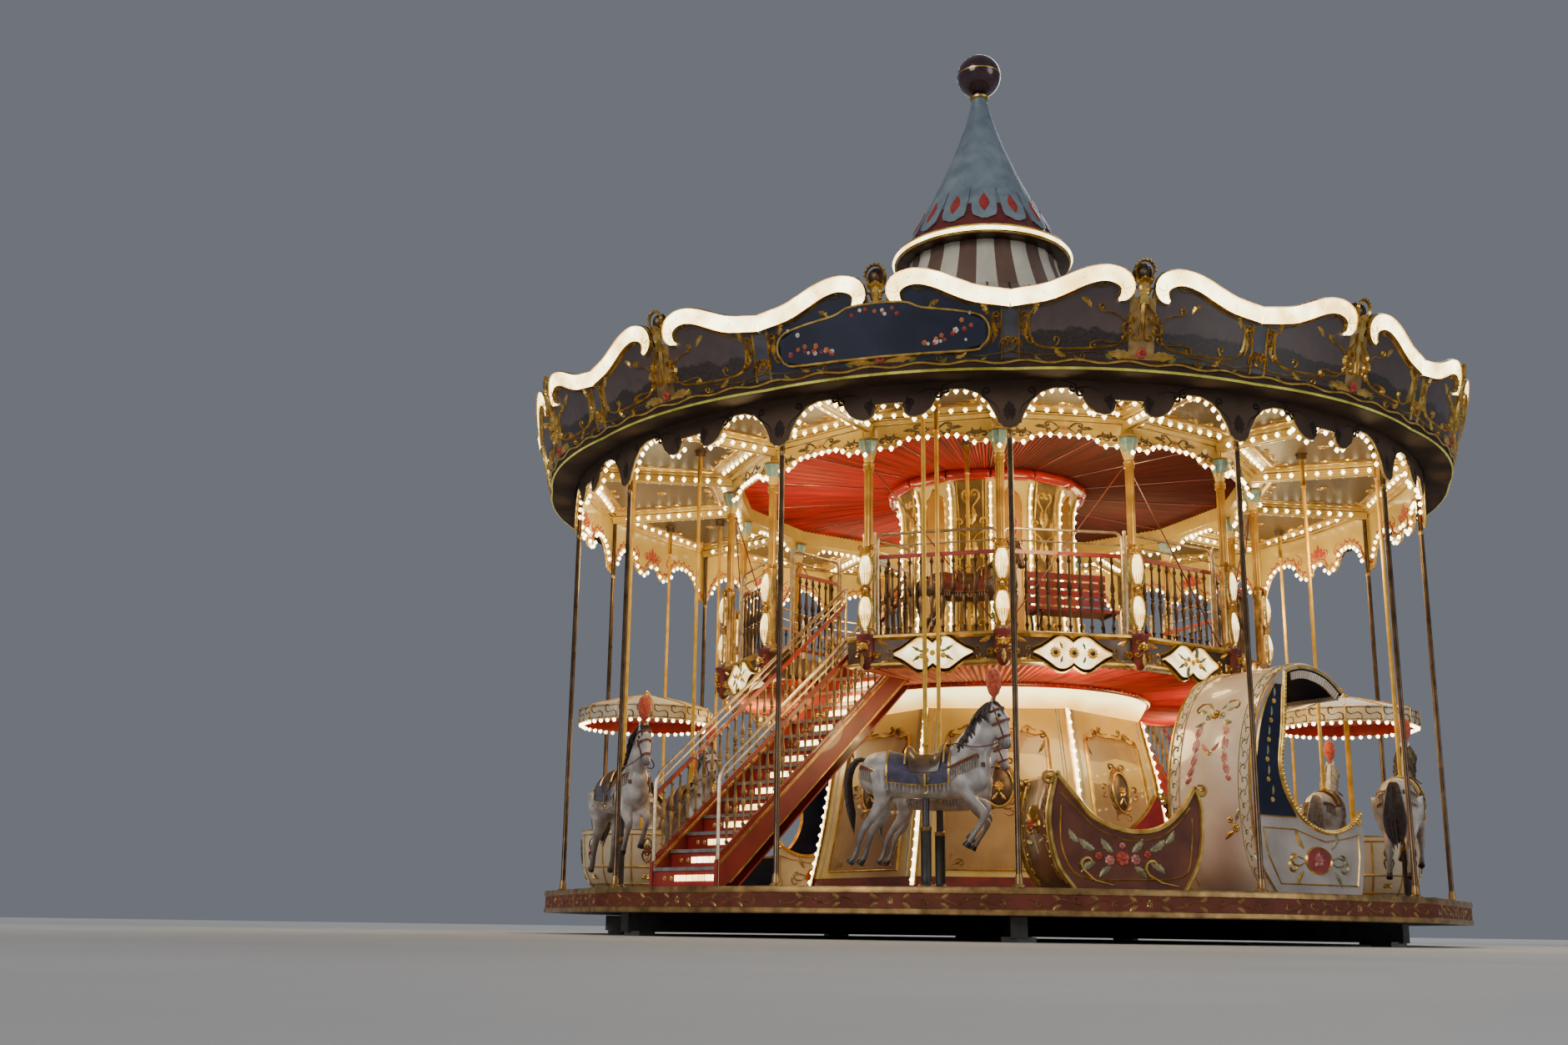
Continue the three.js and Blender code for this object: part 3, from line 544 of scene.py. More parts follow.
def planks(name, dark, light, board, length):
    """Boards with open joints and a grain that runs along them."""
    material, tree, shader = start_finish(name)
    place = place_of(tree)
    brick = add_node(tree, "ShaderNodeTexBrick", {
        "Vector": place, "Color1": (*dark, 1), "Color2": (*light, 1), "Mortar": (0.02, 0.015, 0.01, 1),
        "Scale": 1.0, "Mortar Size": 0.004, "Brick Width": length, "Row Height": board})
    stretched = add_node(tree, "ShaderNodeMapping", {"Vector": place, "Scale": (1.5, 22.0, 1.5)}).outputs[0]
    grain = noise(tree, stretched, 3.0, 8.0, 0.6)
    worn = mixed(tree, 0.55, brick.outputs["Color"], ramp(tree, grain, [(0.3, dark), (0.7, light)]),
                 "MULTIPLY")
    tree.links.new(mixed(tree, 0.45, brick.outputs["Color"], worn), shader.inputs["Base Color"])
    height = calc(tree, "MULTIPLY_ADD", brick.outputs["Fac"], -1.0, calc(tree, "MULTIPLY", grain, 0.25))
    bump = add_node(tree, "ShaderNodeBump", {"Strength": 0.6, "Distance": 0.003, "Height": height})
    tree.links.new(bump.outputs[0], shader.inputs["Normal"])
    value = add_node(tree, "ShaderNodeMapRange", {0: grain, 3: 0.45, 4: 0.75})
    tree.links.new(value.outputs[0], shader.inputs["Roughness"])
    return material


GOLD = finish("gold_leaf", (0.44, 0.25, 0.05), (0.88, 0.60, 0.17), 9.0, (0.22, 0.45), 0.85, 0.0012, 55.0)
OLD_GOLD = finish("old_gold", (0.20, 0.11, 0.04), (0.56, 0.35, 0.13), 7.0, (0.3, 0.5), 0.75, 0.0015, 45.0)
CREAM = finish("cream_enamel", (0.56, 0.39, 0.10), (0.78, 0.60, 0.19), 2.0, (0.25, 0.42), coat=0.3)
PALE = finish("pale_enamel", (0.70, 0.66, 0.56), (0.88, 0.84, 0.74), 2.0, (0.25, 0.42), coat=0.3)
RED = finish("red_enamel", (0.24, 0.014, 0.010), (0.44, 0.035, 0.022), 2.5, (0.28, 0.45), coat=0.3)
RED_CLOTH = finish("red_cloth", (0.30, 0.012, 0.010), (0.52, 0.030, 0.020), 5.0, (0.55, 0.8), bump=0.002,
                   grain=160.0, sheen=0.3)
BRONZE = finish("dark_bronze", (0.045, 0.028, 0.02), (0.14, 0.085, 0.05), 6.0, (0.28, 0.45), 0.75)
BROWN = finish("brown_ground", (0.036, 0.021, 0.015), (0.078, 0.046, 0.030), 3.0, (0.65, 0.85), bump=0.001,
               gloss=0.2)
GREY_BEIGE = finish("valance_brown", (0.060, 0.034, 0.022), (0.115, 0.068, 0.042), 2.0, (0.55, 0.75),
                    gloss=0.25)
SHADOW_BEIGE = finish("valance_shadow", (0.024, 0.015, 0.012), (0.050, 0.032, 0.025), 4.0, (0.6, 0.8),
                      gloss=0.2)
SLATE = finish("slate_blue", (0.050, 0.050, 0.068), (0.11, 0.105, 0.125), 4.0, (0.35, 0.55))
BLUE = finish("deep_blue", (0.006, 0.008, 0.026), (0.016, 0.020, 0.055), 2.5, (0.25, 0.4), coat=0.5)
TEAL = finish("teal_enamel", (0.08, 0.26, 0.37), (0.30, 0.53, 0.70), 8.0, (0.25, 0.4), coat=0.3)
LEAF_GREEN = finish("leaf_green", (0.10, 0.14, 0.03), (0.28, 0.30, 0.08), 8.0, (0.35, 0.5))
FLOWER_RED = finish("flower_red", (0.35, 0.03, 0.02), (0.65, 0.12, 0.07), 20.0, (0.35, 0.5))
ORANGE = finish("orange_paint", (0.45, 0.10, 0.03), (0.72, 0.24, 0.08), 14.0, (0.35, 0.5))
STEEL = finish("dark_steel", (0.05, 0.048, 0.045), (0.12, 0.115, 0.11), 4.0, (0.4, 0.6), 0.7, 0.001, 60.0)
LED = glowing("lit_panel", (1.0, 0.70, 0.24), (1.0, 0.92, 0.52), 6.5, 3.4)
BULB = glowing("lit_bulb", (1.0, 0.74, 0.32), (1.0, 0.87, 0.50), 12.0, 9.0)
LAMP = glowing("lit_lamp", (1.0, 0.66, 0.21), (1.0, 0.89, 0.46), 3.0, 9.0)
# Painted glow for the drum's cove: the band shines as if lit by a hidden lamp, brightest at the top and
# dimming downwards.
COVE_PAINTED_GLOW = glowing("lit_cove", (1.0, 0.60, 0.14), (1.0, 0.88, 0.40), 3.2, 2.4, (2.64, 2.90))
DECK = planks("deck_planks", (0.16, 0.10, 0.06), (0.34, 0.23, 0.14), 0.14, 2.4)
ROOF = striped_canvas("roof_canvas", (0.62, 0.56, 0.44), (0.20, 0.12, 0.08), ROOF_STRIPS)
NECK = striped_canvas("neck_canvas", (0.74, 0.68, 0.55), (0.17, 0.09, 0.06), ROOF_STRIPS)
BOARD_VIEW = painted_scene("board_view", (0.082, 0.058, 0.058), (0.170, 0.105, 0.075), (0.042, 0.026, 0.020),
                           (0.014, 0.010, 0.010), 5.62, 6.25)
CEILING_VIEW = painted_scene("ceiling_view", (0.105, 0.068, 0.036), (0.185, 0.110, 0.048),
                             (0.060, 0.036, 0.018), (0.022, 0.014, 0.010), 5.70, 5.86, 0.12, 0.12)

SLATE_CONE = finish("cone_blue_grey", (0.16, 0.21, 0.25), (0.30, 0.36, 0.40), 3.0, (0.35, 0.6), 0.15, 0.002,
                    20.0)
DARK_RED = finish("dark_red", (0.10, 0.012, 0.010), (0.22, 0.025, 0.018), 5.0, (0.35, 0.5), coat=0.2)
LOZENGE_RED = finish("lozenge_red", (0.30, 0.02, 0.015), (0.48, 0.05, 0.03), 8.0, (0.3, 0.45), coat=0.3)
BALL_PAINT = finish("ball_paint", (0.03, 0.012, 0.02), (0.09, 0.035, 0.04), 5.0, (0.12, 0.3), 0.3, coat=0.6)
RED_VINYL = finish("red_vinyl", (0.32, 0.014, 0.010), (0.50, 0.030, 0.020), 4.0, (0.18, 0.32), bump=0.001,
                   coat=0.5)
# Soffit cloth in streaks out from the axis: painted highlights and shade along its pleats.
SOFFIT_PAINTED_HIGHLIGHTS = finish("soffit_cloth", (0.34, 0.016, 0.008), (0.92, 0.20, 0.075), 5.0, (0.5, 0.75),
                      bump=0.002, grain=160.0, sheen=0.1, streaks=7.0)
TAN = finish("tan_paint", (0.26, 0.150, 0.045), (0.46, 0.29, 0.095), 1.6, (0.28, 0.45), coat=0.4)
DRUM_CREAM = finish("drum_cream", (0.54, 0.37, 0.09), (0.78, 0.58, 0.18), 1.3, (0.25, 0.4), coat=0.4)

YELLOW = finish("flower_yellow", (0.70, 0.38, 0.03), (0.95, 0.62, 0.10), 30.0, (0.35, 0.5))
FASCIA_BROWN = finish("fascia_brown", (0.055, 0.032, 0.022), (0.13, 0.08, 0.05), 5.0, (0.28, 0.45), 0.4)
CARTOUCHE_LIT = glowing("lit_cartouche", (1.0, 0.66, 0.25), (1.0, 0.90, 0.58), 2.6, 7.0)
TREAD = finish("tread_boards", (0.05, 0.04, 0.035), (0.12, 0.10, 0.085), 14.0, (0.5, 0.75), bump=0.002,
               grain=90.0)
STEEL_LIGHT = finish("worn_aluminium", (0.34, 0.32, 0.30), (0.56, 0.54, 0.50), 12.0, (0.25, 0.5), 0.9, 0.001,
                     120.0)
RED_STRINGER = finish("stringer_red", (0.26, 0.022, 0.015), (0.42, 0.045, 0.03), 2.2, (0.28, 0.45), coat=0.4)
RAIL_METAL = finish("rail_metal", (0.40, 0.29, 0.17), (0.68, 0.54, 0.36), 10.0, (0.2, 0.4), 0.8, 0.0006,
                    80.0)
POLE_BRONZE = finish("pole_bronze", (0.070, 0.042, 0.024), (0.17, 0.105, 0.060), 5.0, (0.2, 0.4), 0.85,
                     0.0006, 60.0)
SKIRT = finish("skirt_red_brown", (0.11, 0.026, 0.016), (0.21, 0.052, 0.032), 3.0, (0.5, 0.7), gloss=0.25)


def dappled(name, low, high, dark, spots=11.0):
    """Painted dapples that darken towards the hooves and the muzzle."""
    material, tree, shader = start_finish(name)
    place = place_of(tree)
    cells = add_node(tree, "ShaderNodeTexVoronoi", {"Vector": place, "Scale": spots, "Randomness": 0.9},
                     feature="SMOOTH_F1").outputs["Distance"]
    worn = calc(tree, "MULTIPLY_ADD", noise(tree, place, 4.0, 6.0), 0.9, calc(tree, "MULTIPLY", cells, -0.5))
    colour = ramp(tree, worn, [(0.10, low), (0.42, high)])
    height = split(tree, place)[2]
    legs = add_node(tree, "ShaderNodeMapRange", {0: height, 1: -0.18, 2: -0.62, 3: 0.0, 4: 0.85}).outputs[0]
    muzzle = add_node(tree, "ShaderNodeVectorMath", {0: place, 1: (0.80, 0.0, 0.31)}, operation="DISTANCE")
    nose = add_node(tree, "ShaderNodeMapRange",
                    {0: muzzle.outputs["Value"], 1: 0.16, 2: 0.05, 3: 0.0, 4: 0.8}).outputs[0]
    share = calc(tree, "MAXIMUM", legs, nose)
    tree.links.new(mixed(tree, share, colour, dark), shader.inputs["Base Color"])
    shader.inputs["Coat Weight"].default_value = 0.35
    rough_and_bump(tree, shader, place, (0.28, 0.45), 0.001, 50.0)
    return material


DAPPLE = dappled("dapple_grey", (0.36, 0.325, 0.305), (0.72, 0.665, 0.62), (0.09, 0.074, 0.068))
PALE_DAPPLE = dappled("dapple_pale", (0.45, 0.395, 0.355), (0.78, 0.71, 0.64), (0.15, 0.115, 0.10))
BAY = dappled("bay_coat", (0.13, 0.055, 0.028), (0.28, 0.13, 0.065), (0.03, 0.018, 0.014), 6.0)
HOOF = finish("hoof_black", (0.015, 0.012, 0.011), (0.06, 0.045, 0.04), 12.0, (0.2, 0.4))
MANE = finish("dark_mane", (0.018, 0.013, 0.013), (0.07, 0.05, 0.045), 26.0, (0.35, 0.6), bump=0.003,
              grain=90.0)
GREY_MANE = finish("grey_mane", (0.16, 0.14, 0.13), (0.38, 0.34, 0.31), 26.0, (0.35, 0.6), bump=0.003,
                   grain=90.0)
DARK_GLASS = finish("glass_eye", (0.006, 0.005, 0.005), (0.03, 0.018, 0.012), 40.0, (0.05, 0.12), coat=0.6)
BLANKET = finish("blanket_blue", (0.035, 0.030, 0.055), (0.085, 0.075, 0.14), 14.0, (0.45, 0.7), bump=0.002,
                 grain=160.0, sheen=0.3)
RED_BLANKET = finish("blanket_red", (0.14, 0.018, 0.015), (0.30, 0.04, 0.03), 14.0, (0.45, 0.7), bump=0.002,
                     grain=160.0, sheen=0.3)
FRINGE = finish("fringe", (0.22, 0.17, 0.15), (0.48, 0.40, 0.33), 30.0, (0.5, 0.75), bump=0.003, grain=200.0)
SADDLE = finish("saddle_leather", (0.05, 0.028, 0.018), (0.14, 0.075, 0.04), 10.0, (0.25, 0.45), bump=0.0015,
                grain=140.0, coat=0.3)
HARNESS = finish("harness_leather", (0.10, 0.03, 0.02), (0.24, 0.07, 0.045), 12.0, (0.3, 0.5), bump=0.001,
                 grain=120.0)
PLUME = finish("plume", (0.38, 0.035, 0.012), (0.80, 0.13, 0.04), 34.0, (0.7, 0.95), bump=0.008, grain=150.0,
               sheen=0.6)
POLE_GOLD = finish("pole_gilt", (0.53, 0.285, 0.024), (0.83, 0.49, 0.055), 6.0, (0.3, 0.45), 0.15, 0.0005,
                   60.0, gloss=0.3)
TUBE_GREY = finish("tube_grey", (0.075, 0.065, 0.07), (0.16, 0.14, 0.145), 6.0, (0.3, 0.5), 0.6, 0.0006,
                   60.0)
ROSE = finish("rose_paint", (0.36, 0.09, 0.08), (0.68, 0.26, 0.20), 16.0, (0.3, 0.5), coat=0.3)
SAGE = finish("sage_gilt", (0.20, 0.20, 0.10), (0.50, 0.46, 0.26), 14.0, (0.3, 0.5), 0.45)
NIGHT_BLUE = finish("night_blue", (0.005, 0.008, 0.024), (0.015, 0.021, 0.056), 3.0, (0.4, 0.6), gloss=0.2)
HOOD_CREAM = finish("hood_cream", (0.60, 0.48, 0.36), (0.80, 0.68, 0.54), 1.6, (0.12, 0.26), coat=0.7)
CHARIOT_GREY = finish("chariot_grey", (0.36, 0.31, 0.28), (0.58, 0.51, 0.45), 2.2, (0.28, 0.45), coat=0.3)
SEAT_RED = finish("seat_vinyl", (0.22, 0.016, 0.014), (0.42, 0.04, 0.03), 5.0, (0.28, 0.45), bump=0.0015,
                  grain=170.0, coat=0.3)
SLEIGH_BROWN = finish("sleigh_brown", (0.085, 0.024, 0.014), (0.19, 0.058, 0.028), 2.6, (0.3, 0.5), coat=0.2,
                      gloss=0.35)
CUP_CREAM = finish("cup_cream", (0.52, 0.42, 0.28), (0.74, 0.64, 0.46), 2.0, (0.25, 0.4), coat=0.4)
SCROLL_BROWN = finish("scroll_brown", (0.060, 0.038, 0.020), (0.17, 0.11, 0.055), 12.0, (0.3, 0.5), 0.4)
# Red cloth for the two sides of each pleat: the fold finish is painted shade, the pleat finish is painted
# light with a faint glow, both in painted streaks out from the axis.
RED_FOLD_PAINTED_SHADE = finish("red_fold_painted_shade", (0.035, 0.002, 0.002), (0.11, 0.006, 0.004), 5.0, (0.6, 0.85), bump=0.002,
                  grain=160.0, streaks=6.0)
RED_PLEATS_PAINTED_LIGHT = finish("red_pleats_painted_light", (0.16, 0.004, 0.003), (0.56, 0.014, 0.010), 5.0, (0.55, 0.8), bump=0.002,
                    grain=160.0, glow=0.09, streaks=6.0)
HONEY = finish("honey_paint", (0.30, 0.145, 0.028), (0.52, 0.27, 0.055), 1.8, (0.28, 0.45), coat=0.3)
RELIEF_GILT = finish("relief_gilt", (0.52, 0.32, 0.055), (0.94, 0.68, 0.20), 9.0, (0.24, 0.42), 0.40, 0.0010,
                     60.0)
# Dark ground behind the core's gilt scrolls: partly its own brown paint, partly painted shade between the
# scrolls.
CORE_GROUND_AND_PAINTED_SHADE = finish("core_ground_and_painted_shade", (0.10, 0.060, 0.014), (0.24, 0.150, 0.040), 6.0, (0.35, 0.55), 0.25)
COLUMN_GILT = finish("column_gilt", (0.34, 0.18, 0.030), (0.60, 0.35, 0.065), 5.0, (0.28, 0.45), 0.35,
                     0.0008, 60.0)
# Gilt line with a faint glow: a painted glint of light on its gilding.
LIME_GILT_PAINTED_GLINT = finish("lime_gilt_painted_glint", (0.30, 0.27, 0.03), (0.85, 0.80, 0.16), 3.0, (0.2, 0.35), 0.5, glow=0.35)
CANOPY_WHITE = finish("canopy_white", (0.50, 0.46, 0.42), (0.72, 0.68, 0.62), 2.5, (0.35, 0.55))


# Pieces


def relief_mesh(name, relief, finishes, sharp=32.0):
    """A mesh from a relief, with its faces turned outward."""
    mesh = bpy.data.meshes.new(name)
    mesh.from_pydata(np.concatenate(relief.points).tolist(), [], relief.faces)
    for material in finishes:
        mesh.materials.append(material)
    mesh.polygons.foreach_set("material_index", relief.finishes)
    work = bmesh.new()
    work.from_mesh(mesh)
    bmesh.ops.recalc_face_normals(work, faces=work.faces)
    work.to_mesh(mesh)
    work.free()
    mesh.polygons.foreach_set("use_smooth", [True] * len(mesh.polygons))
    mesh.set_sharp_from_angle(angle=math.radians(sharp))
    return mesh


def settle(name, mesh, slot, body="turntable", replaces=(), matrix=None):
    """An object with a mesh, standing at its place and riding on a body."""
    made = bpy.data.objects.new(name, mesh)
    if matrix is not None:
        made.matrix_world = matrix
    bpy.context.scene.collection.objects.link(made)
    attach(made, body)
    if replaces:
        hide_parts(*replaces)
    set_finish(made, slot)
    return made


def piece(name, relief, finishes, body="turntable", replaces=(), slot="cream", sharp=32.0):
    return settle(name, relief_mesh(name, relief, finishes, sharp), slot, body, replaces)


def dress(node, material):
    """Gives a CAD node its finish."""
    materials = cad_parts[node].data.materials
    materials.clear()
    materials.append(material)


def board_radius(height, angle):
    offset = (angle / STEP) % 1 - 0.5
    bulge = BOARD_BULGE * (1 - 4 * offset * offset)
    return BOARD_FOOT_RADIUS + BOARD_LEAN * (height - BOARD_BOTTOM) + bulge - BOARD_RECESS


def on_boards(k):
    def surface(across, up, out):
        angle = middle(k) + across / BOARD_WIDTH_RADIUS
        radius = board_radius(up, angle) + out
        return np.column_stack([radius * np.sin(angle), -radius * np.cos(angle), up - BOARD_LEAN * out])
    return surface


def on_cylinder(radius, centre_angle):
    def surface(across, up, out):
        angle = centre_angle + across / radius
        return np.column_stack([(radius + out) * np.sin(angle), -(radius + out) * np.cos(angle), up])
    return surface


def on_wall(distance, angle, lean=0.0, foot=0.0):
    """A flat wall at a distance from the axis, leaning inwards by a share of the height over its foot."""
    def surface(across, up, out):
        reach = distance - lean * (up - foot) + out
        return swung(np.column_stack([across, -reach, up]), angle)
    return surface


def on_ceiling(k, height):
    """Under a ceiling: across a bay, out along its middle line, and down."""
    def surface(across, up, out):
        return swung(np.column_stack([across, -up, height - out]), middle(k))
    return surface


# Lit band along the crest of the rounding boards, from a seam to the tip of its hook: place and half width
BAND = np.array([
    (1.331, 6.195, 0.082), (1.00, 6.240, 0.084), (0.80, 6.310, 0.083), (0.62, 6.388, 0.080),
    (0.46, 6.432, 0.078), (0.33, 6.432, 0.080), (0.215, 6.385, 0.083), (0.175, 6.300, 0.072),
    (0.205, 6.225, 0.050), (0.255, 6.185, 0.018),
])


def rounding_boards():
    """One ring of leaning boards with a curved crest, and the beam behind them."""
    whole = Relief()
    line = smooth(BAND, 4)
    order = line[line[:, 0] > 0.25][::-1]
    crest = np.array([(0.0, 6.24), (0.09, 6.22), (0.105, 6.30), (0.13, 6.42), (0.17, 6.475), (0.25, 6.505)]
                     + [(u, v + w) for u, v, w in order if u > 0.34])
    half = np.unique(np.round(np.concatenate([crest[:, 0], [0.14, 0.60, 0.9, 1.245, HALF_MODULE]]), 4))
    half = half[half <= HALF_MODULE]
    offsets = np.concatenate([-half[::-1], half[1:-1]])
    rows = []
    kinds = []
    for k in range(MODULES):
        for u in offsets:
            top = np.interp(abs(u), crest[:, 0], crest[:, 1])
            angle = middle(k) + u / BOARD_WIDTH_RADIUS
            section = [(BOARD_BACK_RADIUS, BOARD_BOTTOM), (board_radius(BOARD_BOTTOM, angle), BOARD_BOTTOM)]
            section += [(board_radius(h, angle), h) for h in (5.62, 6.05, top)]
            section += [(board_radius(h, angle) - BOARD_THICKNESS, h) for h in (top, BEAM_TOP)]
            section.append((BOARD_BACK_RADIUS, BEAM_TOP))
            rows.append([on_circle(r, angle, h) for r, h in section])
            place = abs(u + 0.02)
            field = 4 if k in CARTOUCHE_BAYS else 3
            kinds.append(1 if place < 0.13 else 2 if place > 1.24 else field)
    whole.add(skin(rows, loop=True),
              [kind if 2 <= j <= 3 else 0 for kind in kinds for j in range(len(section))])
    piece("rounding_boards_body", whole, [BROWN, OLD_GOLD, SLATE, BOARD_VIEW, BLUE],
          replaces=["rounding_boards", "board_beam"], slot="gold")


def crest_band():
    """The lit band, with a gold rim on each side."""
    lit = Relief()
    rims = Relief()
    line = smooth(BAND, 3)
    path = np.column_stack([line[:, :2], np.zeros(len(line))])
    along = np.gradient(path, axis=0)
    along /= np.linalg.norm(along, axis=1)[:, None]
    normal = np.column_stack([-along[:, 1], along[:, 0], along[:, 2]])
    band = sweep(path, STRIP, np.column_stack([line[:, 2], np.full(len(line), 0.03)]), out=(0, 0, 1))
    edges = [strand(path + side * normal * line[:, 2:], 0.011, 0.042, ends=(1, 1)) for side in (-1, 1)]
    volute = scroll((0.262, 6.190), 60, [(330, 0.055, 0.016)], 0.012, 0.04)
    clips = beads([(u, v, 0.032) for u, v, _ in BAND[1:6:2]], 0.009)
    band, rim = paired(band), paired(dense(edges + [volute, clips]))
    for k in range(MODULES):
        lit.add(laid(on_boards(k), band))
        rims.add(laid(on_boards(k), rim))
    piece("crest_lit_band", lit, [LED], slot="cream")
    piece("crest_band_rims", rims, [GOLD], slot="gold")


def crest_finials():
    """A dark ribbed bud on a gilt leafy stem over the middle of each module."""
    whole = Relief()
    shell = Relief()
    centre = 6.485

    def ribs(angle, height):
        return 1 - 0.12 * abs(math.sin(5 * angle))

    globe = [(0.100 * math.cos(t), 0.108 * math.sin(t)) for t in np.linspace(-1.25, 1.45, 8)]
    bud = moved(lathe([(0.040, -0.135), (0.052, -0.120)] + globe, 20, wave=ribs), (0, 0, centre))
    shell.add(put(fan(0.064, 5, 0.035, 100), 0, 6.372, out=0.01))
    turns = np.linspace(-2.35, 2.35, 13)
    shell.add(strand([(0.094 * math.sin(t), centre + 0.098 * math.cos(t)) for t in turns], 0.012, 0.030,
                     ends=(1, 1)))
    shell.add(beads([(0.106 * math.sin(t), centre + 0.110 * math.cos(t), 0.012) for t in turns[2:-2]], 0.018,
                    4))
    shell.add(paired(dense([
        put(leaf(0.13, 0.028, 0.03, 30, 4), 0.015, 6.33, 38, out=0.005),
        scroll((0.02, 6.26), 70, [(-60, 0.10, 0.08), (-50, 0.12, 0.06), (300, 0.045, 0.015)], 0.016, 0.04),
        put(leaf(0.15, 0.035, 0.03, 60), 0.02, 6.22, 60, out=0.01),
        scroll((0.03, 6.20), -80, [(50, 0.2, 0.2), (-330, 0.055, 0.016)], 0.015, 0.035),
        scroll((0.05, 6.03), -60, [(60, 0.10, 0.10), (-370, 0.07, 0.018)], 0.016, 0.035),
    ])))
    shell.add(put(leaf(0.3, 0.035, 0.03, 1), 0, 6.22, -90, out=0.005))
    shell.add(plate([(-0.05, 6.16), (0.05, 6.16), (0.03, 6.3), (0.06, 6.4), (-0.06, 6.4), (-0.03, 6.3)], 0,
                    0.02))
    for k in range(MODULES):
        whole.add(laid(on_boards(k), shell.part()))
        reach = board_radius(centre, middle(k)) - 0.085
        whole.add(moved(bud, on_circle(reach, middle(k))), 1)
    piece("crest_finials", whole, [GOLD, BRONZE], slot="gold")


def board_ornament():
    """Scrolls, leaves and roses on the rounding boards."""
    gold = Relief()
    line = smooth(BAND, 4)
    lower = np.array([(u, v - w - 0.035) for u, v, w in line if u > 0.46])
    half = [
        strand(lower[1:], 0.009, 0.02),
        scroll((lower[-1][0], lower[-1][1]), 190, [(-20, 0.3, 0.2), (-330, 0.05, 0.014)], 0.011, 0.025),
        put(leaf(0.14, 0.03, 0.025, 50), 0.62, 6.20, 200),
        strand(smooth([(0.17, 5.92), (0.21, 5.79), (0.38, 5.725), (0.80, 5.705), (1.04, 5.73), (1.13, 5.83),
                       (1.14, 6.02), (1.06, 6.12)], 4), 0.013, 0.024),
        scroll((0.24, 5.78), 200, [(-60, 0.08, 0.06), (-230, 0.035, 0.013)], 0.012, 0.024),
        scroll((1.08, 5.76), -20, [(60, 0.08, 0.06), (230, 0.035, 0.013)], 0.012, 0.024),
        scroll((0.92, 5.715), 175, [(-70, 0.10, 0.07), (-230, 0.035, 0.013)], 0.011, 0.022),
        put(leaf(0.20, 0.034, 0.026, -50, 4), 1.10, 6.04, 118),
        scroll((0.15, 5.93), 60, [(-25, 0.35, 0.3), (-40, 0.22, 0.16), (60, 0.10, 0.05), (300, 0.03, 0.01)],
               0.011, 0.028),
        scroll((0.16, 5.84), -60, [(75, 0.14, 0.14), (-30, 0.4, 0.3), (-330, 0.04, 0.012)], 0.012, 0.028),
        put(leaf(0.30, 0.045, 0.03, -35, 5), 0.07, 5.64, 20),
        put(leaf(0.26, 0.04, 0.03, 40, 4), 0.10, 5.66, -14),
        scroll((0.33, 5.66), 10, [(-20, 1.2, 1.2), (25, 1.4, 1.2), (60, 0.14, 0.10), (330, 0.05, 0.014)],
               0.010, 0.022),
        scroll((0.70, 5.625), 175, [(40, 0.12, 0.08), (-320, 0.035, 0.012)], 0.009, 0.02),
        put(leaf(0.14, 0.028, 0.022, 50), 0.78, 5.63, 10),
        scroll((1.215, 5.70), 95, [(-40, 0.16, 0.1), (-330, 0.045, 0.013)], 0.012, 0.028),
        scroll((1.20, 5.86), 80, [(50, 0.12, 0.10), (-60, 0.10, 0.08), (-320, 0.035, 0.012)], 0.011, 0.026),
        scroll((1.205, 6.075), 250, [(60, 0.10, 0.08), (-40, 0.08, 0.06), (-320, 0.035, 0.012)], 0.011,
               0.026),
        put(leaf(0.16, 0.03, 0.025, -50), 1.16, 5.96, -60),
        strand([(1.243, 5.60), (1.243, 6.10)], 0.010, 0.022, ends=(1, 1)),
        scroll((0.02, 5.98), -80, [(-20, 0.4, 0.3), (300, 0.05, 0.014)], 0.013, 0.028),
    ]
    sprigs = [put(leaf(0.13, 0.024, 0.02, 45, 3), u, v, 15, size)
              for u, v, size in ((0.30, 5.61, 0.8), (0.62, 5.585, 0.7), (1.02, 5.59, 0.7))]
    items = [(paired(dense(half)), 0), (put(rosette(0.06, 6, 0.035), 0, 5.68), 1),
             (paired(dense(sprigs)), 2)]
    for k in range(MODULES):
        gold.lay(on_boards(k), *items)
    angles = round_turns(MODULES * 30)
    # Two gilt lines round the foot of the boards; the lower one glows faintly as a painted glint.
    for height, swing, radius, kind in ((5.585, 0.016, 0.013, 0), (5.515, 0.0, 0.014, 3)):
        level = height + swing * np.sin(angles * MODULES * 5)
        reach = board_radius(level, angles) + 0.006
        path = np.column_stack([reach * np.sin(angles), -reach * np.cos(angles), level])
        gold.add(sweep(path, circle(4), radius, closed=True, out=(0, 0, 1)), kind)
    piece("board_ornament", gold, [GOLD, FLOWER_RED, LEAF_GREEN, LIME_GILT_PAINTED_GLINT], slot="gold")


